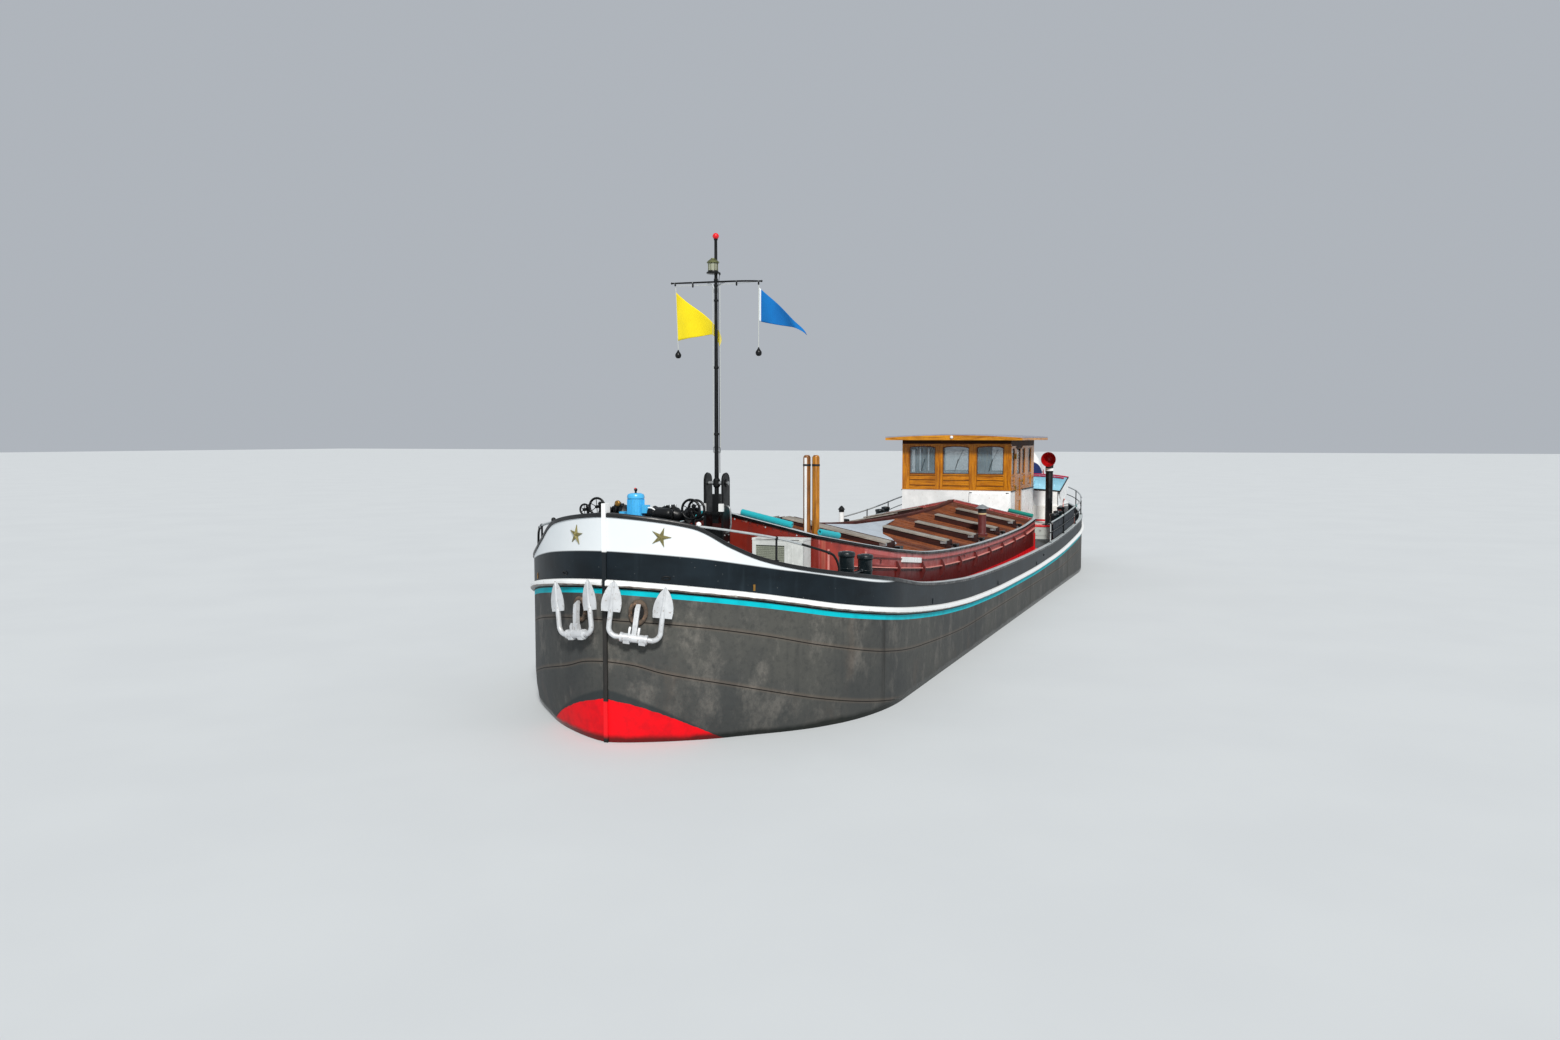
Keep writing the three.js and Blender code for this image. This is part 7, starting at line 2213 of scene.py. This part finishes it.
def on_cabin():
    turn = Matrix.Rotation(math.radians(TENDER["turn"]), 4, "Z")
    tip = Matrix.Rotation(math.radians(TENDER["tip"]), 4, "X")
    return Matrix.Translation(TENDER["place"]) @ (turn @ tip)


def tender_side(t, inset):
    swell = 0.82 + 0.18 * math.sin(math.pi * min(1, t + 0.25))
    share = max(0.06, max(0, 1 - t**4) ** 0.6 * swell)
    half = TENDER["wide"] * share - inset
    keel = inset + 0.15 * t**5
    top = 0.43 + 0.07 * t * t - 0.06 * max(0, 1 - 4 * t) ** 2
    x = -TENDER["half"] + inset + t * (TENDER["length"] - 2.6 * inset)
    return [(x, spread * half, keel + rise * (top - keel)) for spread, rise in TENDER_SIDE]


def tender_loop(t, inset):
    side = tender_side(t, inset)
    return [Vector(p) for p in reversed(side)] + [Vector((x, -y, z)) for x, y, z in side[1:]]


def tender():
    shape = Shape()
    steps = [i / 30 for i in range(31)]
    outer = [tender_loop(t, 0.0) for t in steps]
    inner = [tender_loop(t, TENDER_PLATE) for t in steps]
    shape.grid(outer, white_steel)
    shape.grid(inner, pale_blue)
    for k in (0, -1):
        shape.grid([[row[k] for row in outer], [row[k] for row in inner]], crimson)
    for rows, look in ((outer, white_steel), (inner, pale_blue)):
        for end in (0, -1):
            shape.add(rows[end], [list(range(len(rows[end])))], look)
    shape.grid([outer[0], inner[0]], white_steel)
    # The near gunwale's top bar is black and the far one crimson: the black is painted shade.
    for k, sign, look in ((0, 1, black), (-1, -1, crimson)):
        rim = [row[k] for row in outer]
        shape.tube([p + Vector((0, 0.008 * sign, -0.03)) for p in rim], 0.019, black, 10, smooth=False)
        shape.tube([p + Vector((0, -0.012 * sign, 0.006)) for p in rim], 0.019, look, 12, smooth=False)
        shape.tube([p + Vector((0, -0.03 * sign, -0.034)) for p in rim[1:-1]], 0.02, crimson, 10,
                   smooth=False)
    corner = outer[0]
    shape.tube([corner[0] + Vector((0, -0.012, 0.006)), corner[-1] + Vector((0, 0.012, 0.006))], 0.015,
               black, 12, smooth=False)
    for x in (-0.7, 0.25):
        t = (x + TENDER["half"]) / TENDER["length"]
        half = tender_side(t, TENDER_PLATE)[-1][1] * 0.945
        shape.box((x - 0.11, -half, 0.27), (x + 0.11, half, 0.297), pale_blue)
        shape.box((x - 0.02, -half, 0.235), (x + 0.02, half, 0.27), white_steel)
    for i in range(7):
        t = 0.1 + i * 0.12
        loop = tender_loop(t, 0.028)
        for row in (loop[:9], loop[-9:]):
            shape.tube(row, 0.008, pale_blue, 8, smooth=False)
    for y in (-0.3, -0.1, 0.1, 0.3):
        shape.box((-1.35, y - 0.06, 0.03), (0.75, y + 0.06, 0.042), pale_blue)
    for x in (-0.35, -0.3):
        for side in (1, -1):
            shape.rod((x, side * 0.66, 0.42), (x, side * 0.66, 0.5), 0.009, brass)
    shape.move(on_cabin())
    return shape.build("tender_boat", replaces=["tender"], bevel=0.0)


# Cowl vent
COWL = {"x": -6.05, "y": 1.77, "low": 1.2154, "top": 2.48}


def cowl_pipe():
    shape = Shape()
    x, y, low, top = (COWL[k] for k in ("x", "y", "low", "top"))
    shape.lathe((x, y, 0), [(0.05, low), (0.15, low), (0.15, low + 0.012), (0.144, low + 0.018),
                            (0.1, low + 0.022), (0.088, low + 0.035),
                            (0.085, low + 0.06), (0.085, 1.85), (0.0855, 1.852), (0.0855, 1.862),
                            (0.085, 1.864), (0.085, top - 0.006),
                            (0.083, top), (0.05, top)], black, 48)
    bolts(shape, [(x + 0.125 * math.cos(a), y + 0.125 * math.sin(a), low + 0.017) for a in round_steps(8)],
          0.011, 0.01, zinc)
    return shape.build("cowl_pipe", replaces=["cowl_tube"], crease=40)


def cowl_bell():
    shape = Shape()
    x, y = COWL["x"], COWL["y"]
    shape.lathe((x, y, 0), [(0.05, 2.4806), (0.091, 2.4806), (0.093, 2.486), (0.093, 2.514),
                            (0.0925, 2.516)], black, 48)
    shape.lathe((x, y, 0), [(0.05, 2.516), (0.0935, 2.516), (0.0945, 2.52), (0.0945, 2.576), (0.0935, 2.58),
                            (0.05, 2.58)], white, 48)
    shape.lathe((x, y, 0), [(0.05, 2.58), (0.092, 2.58), (0.091, 2.6), (0.094, 2.63), (0.1, 2.652),
                            (0.05, 2.652)], black, 48)
    bell = [(1e-4, -0.152), (0.03, -0.15), (0.07, -0.138), (0.105, -0.11), (0.13, -0.07), (0.145, -0.025),
            (0.15, 0.02), (0.152, 0.07),
            (0.158, 0.12), (0.168, 0.15), (0.175, 0.163), (0.177, 0.168), (0.175, 0.175), (0.17, 0.176),
            (0.163, 0.168), (0.155, 0.15),
            (0.147, 0.11), (0.138, 0.06), (0.122, 0.0), (0.095, -0.05), (0.05, -0.09), (1e-4, -0.1)]
    start = len(shape.looks)
    shape.lathe((x, y, 2.79), bell, black, 56, "X")
    for i in range(start, start + 56 * (len(bell) - 1)):
        strip = (i - start) // 56
        shape.looks[i] = cowl_red if strip >= 14 else (cowl_rim if strip >= 7 else black)
    shape.looks[-1] = cowl_red
    for a in (2.2, 4.08):
        out = Vector((0, math.cos(a), math.sin(a)))
        shape.rod(Vector((x + 0.05, y, 2.79)) + out * 0.15, Vector((x + 0.05, y, 2.79)) + out * 0.176, 0.01,
                  brass)
    return shape.build("cowl_bell", body="cowl", replaces=["cowl_head"], crease=50)


# Flags
def staff_x(z):
    return BOW_X - (22.25 + 0.31 * (z - 1.38) / 1.92)


def staff():
    shape = Shape()
    foot, top = Vector((-11.0, 0, 1.38)), Vector((-11.31, 0, 3.3))
    shape.rod(foot - (top - foot) * 0.03, top, 0.0195, wood, 0.016, 24)
    start = len(shape.points)
    shape.lathe((0, 0, 0), [(0.021, -0.08), (0.045, -0.08), (0.045, -0.066), (0.034, -0.06), (0.03, 0.0),
                            (0.034, 0.034), (0.021, 0.036)], brass, 32)
    collar = Matrix.Translation(foot) @ (top - foot).to_track_quat("Z", "Y").to_matrix().to_4x4()
    shape.move(collar, start)
    shape.ball(top, 0.031, wood, 24)
    for z in (2.47, 3.19):
        spot = Vector((staff_x(z), 0, z))
        shape.ring(spot, 0.022, 0.004, brass, "Z", 20)
    shape.rod((staff_x(1.7) + 0.018, 0, 1.7), (staff_x(3.2) + 0.016, 0, 3.2), 0.003, white, sides=8)
    return shape.build("flag_staff", replaces=["ensign_staff"], crease=45)


def curve_at(points, t):
    """A place on a smooth line through points that lie evenly along it."""
    line = smooth_line([(*p, 0) for p in points], steps=8)
    at = t * (len(line) - 1)
    i = min(int(at), len(line) - 2)
    return line[i].lerp(line[i + 1], at - i)


def flag(name, node, body, place, across, down, paint):
    """A thin sheet whose places come from place(share along, share up)."""
    shape = Shape()
    rows = [[place(i / across, k / down) for k in range(down + 1)] for i in range(across + 1)]
    shape.grid(rows, paint)
    made = shape.build(name, body=body, replaces=[node], crease=80)
    shares = [(k / down, i / across) for i in range(across + 1) for k in range(down + 1)]
    for mark, values in zip(("up", "along"), zip(*shares)):
        layer = made.data.attributes.new(mark, "FLOAT", "POINT")
        layer.data.foreach_set("value", values)
    thick = made.modifiers.new("cloth", "SOLIDIFY")
    thick.thickness = 0.0016
    thick.offset = 0
    return made


ENSIGN_FOLD = ((0.022, 2.947), (0.24, 2.985), (0.43, 2.915), (0.6, 2.68), (0.735, 2.43))
ENSIGN_MIDDLE = ((0.022, 2.713), (0.22, 2.73), (0.42, 2.635), (0.59, 2.53), (0.7, 2.33))
ENSIGN_LOW = ((0.022, 2.48), (0.2, 2.475), (0.38, 2.37), (0.51, 2.24), (0.6, 2.1))


def ensign_place(along, up):
    fold, middle, low = (curve_at(line, along) for line in (ENSIGN_FOLD, ENSIGN_MIDDLE, ENSIGN_LOW))
    ripple = 0.045 * math.sin(along * 9.5 + up * 1.4) * min(1, along * 3)
    if up <= 1 / 3:
        p = low.lerp(middle, up * 3)
    elif up <= 2 / 3:
        p = middle.lerp(fold, up * 3 - 1)
    else:
        rest = (up * 3 - 2) * 0.233
        turn = min(1, along / 0.4)
        turn = turn * turn * (3 - 2 * turn)
        angle = math.pi / 2 - turn * math.radians(165)
        p = fold + Vector((0.1 * turn * rest / 0.233, math.sin(angle), 0)) * rest
        ripple += 0.04 * turn * math.sin(min(1, rest / 0.06) * math.pi / 2)
    hoist = staff_x(max(2.48, min(3.18, p.y))) * (1 - min(1, along * 4)) + staff_x(2.6) * min(1, along * 4)
    return Vector((hoist - ripple * 0.8, p.x, p.y))


def ensign():
    paint = cloth("ensign_cloth", rgb(232, 234, 236))
    up = paint.mark("up")
    paint.cover(paint.span(up, 0.332, 0.335, 1, 0), rgb(22, 40, 92))
    paint.cover(paint.span(up, 0.665, 0.668), rgb(190, 28, 38))
    made = flag("ensign_flag", "ensign", "boat", ensign_place, 60, 36, paint)


YELLOW_HIGH = ((-0.577, 5.184), (-0.4, 5.035), (-0.2, 4.89), (-0.06, 4.765), (0.002, 4.67), (0.018, 4.57),
               (-0.002, 4.475))
YELLOW_LOW = ((-0.553, 4.556), (-0.41, 4.582), (-0.28, 4.603), (-0.15, 4.625), (-0.08, 4.622), (-0.03, 4.55),
              (-0.004, 4.472))
BLUE_HIGH = ((0.603, 5.185), (0.73, 5.075), (0.87, 4.95), (1.0, 4.83), (1.1, 4.73), (1.18, 4.65),
             (1.232, 4.58))
BLUE_LOW = ((0.6, 4.765), (0.73, 4.735), (0.86, 4.71), (0.98, 4.69), (1.08, 4.668), (1.17, 4.625),
            (1.23, 4.574))


def pennant_place(high, low, shift, ripple):
    def place(along, up):
        p = curve_at(low, along).lerp(curve_at(high, along), up)
        ease = min(1, along * 1.15)
        wave = ripple * math.sin(along * 11 + up * 1.6) * min(1, along * 4)
        return Vector((MAST["x"] + wave + shift * ease * ease * (3 - 2 * ease), p.x, p.y))
    return place


def pennants():
    yellow = cloth("yellow_cloth", rgb(236, 214, 8))
    yellow.cover(yellow.span(yellow.noise(4, 3, (1, 1, 0.4), shift=2), 0.5, 0.75, 0, 0.4), rgb(196, 170, 14))
    blue = cloth("blue_cloth", rgb(0, 108, 182), sheen=0.05)
    blue.cover(blue.span(blue.noise(4, 3, (1, 1, 0.4), shift=2), 0.5, 0.75, 0, 0.4), rgb(8, 84, 150))
    blue.cover(blue.span(blue.mark("along"), 0.052, 0.046), rgb(226, 234, 240))
    made = flag("pennant_cloth_yellow", "pennant_yellow", "mast",
                pennant_place(YELLOW_HIGH, YELLOW_LOW, -0.1, 0.022), 48, 20,
                yellow)
    made = flag("pennant_cloth_blue", "pennant_blue", "mast",
                pennant_place(BLUE_HIGH, BLUE_LOW, -0.03, 0.024), 48, 20,
                blue)


gloss("aft_cabin", cabin_paint(), 0.012)
gloss("side_locker", locker_paint, 0.004)
gloss("tender_chocks", weathered("chock_wood", rgb(150, 112, 70), rgb(104, 74, 44), "X"), 0.004)
gloss("propeller", bronze, 0.0015)
under_paint = painted("rudder_paint", rgb(40, 34, 34), 0.5, 0.4, 2, rgb(96, 62, 48))
gloss("rudder", under_paint, 0.004)
gloss("skeg", under_paint, 0.004)
gloss("engine", painted("engine_paint", rgb(66, 84, 84), 0.4, 0.5, 3, rgb(140, 140, 130)), 0.004)
cabin_trim()
tender_apron()
locker_trim()
deck_box()
fender()
dodger()
tender()
cowl_pipe()
cowl_bell()
staff()
ensign()
pennants()

# Light, floor and camera
CAMERA = {"place": (21.87, 6.51, 3.3), "pitch": 4.0785, "heading": (-0.9218, -0.3877), "lens": 26.54}


def add_camera():
    data = bpy.data.cameras.new("camera")
    data.lens = CAMERA["lens"]
    data.sensor_width = 36
    data.clip_end = 500
    made = bpy.data.objects.new("camera", data)
    bpy.context.scene.collection.objects.link(made)
    pitch = math.radians(CAMERA["pitch"])
    ahead_x, ahead_y = CAMERA["heading"]
    look = Vector((ahead_x * math.cos(pitch), ahead_y * math.cos(pitch), -math.sin(pitch)))
    made.location = CAMERA["place"]
    made.rotation_mode = "QUATERNION"
    made.rotation_quaternion = look.to_track_quat("-Z", "Y")
    bpy.context.scene.camera = made


def add_floor():
    mesh = bpy.data.meshes.new("floor")
    reach = 260
    mesh.from_pydata([(-reach, -reach, 0), (reach, -reach, 0), (reach, reach, 0), (-reach, reach, 0)], [],
                     [(0, 1, 2, 3)])
    look = Look("floor", rgb(206, 210, 212), 0.75)
    look.cover(look.span(look.noise(0.4, 3), 0.3, 0.7, 0, 0.3), rgb(196, 200, 203))
    mesh.materials.append(look.material)
    made = bpy.data.objects.new("floor", mesh)
    bpy.context.scene.collection.objects.link(made)


def add_light():
    world = bpy.data.worlds.new("studio")
    world.use_nodes = True
    backdrop = world.node_tree.nodes["Background"]
    backdrop.inputs["Color"].default_value = (0.86, 0.92, 1.0, 1)
    backdrop.inputs["Strength"].default_value = 0.5
    bpy.context.scene.world = world
    data = bpy.data.lights.new("sun", "SUN")
    data.energy = 3.4
    data.angle = math.radians(9)
    data.color = (1.0, 0.97, 0.92)
    made = bpy.data.objects.new("sun", data)
    made.rotation_mode = "QUATERNION"
    made.rotation_quaternion = Vector((-0.7, -0.42, -0.66)).to_track_quat("-Z", "Y")
    bpy.context.scene.collection.objects.link(made)


add_camera()
add_floor()
add_light()
bpy.context.scene.view_settings.view_transform = "Standard"
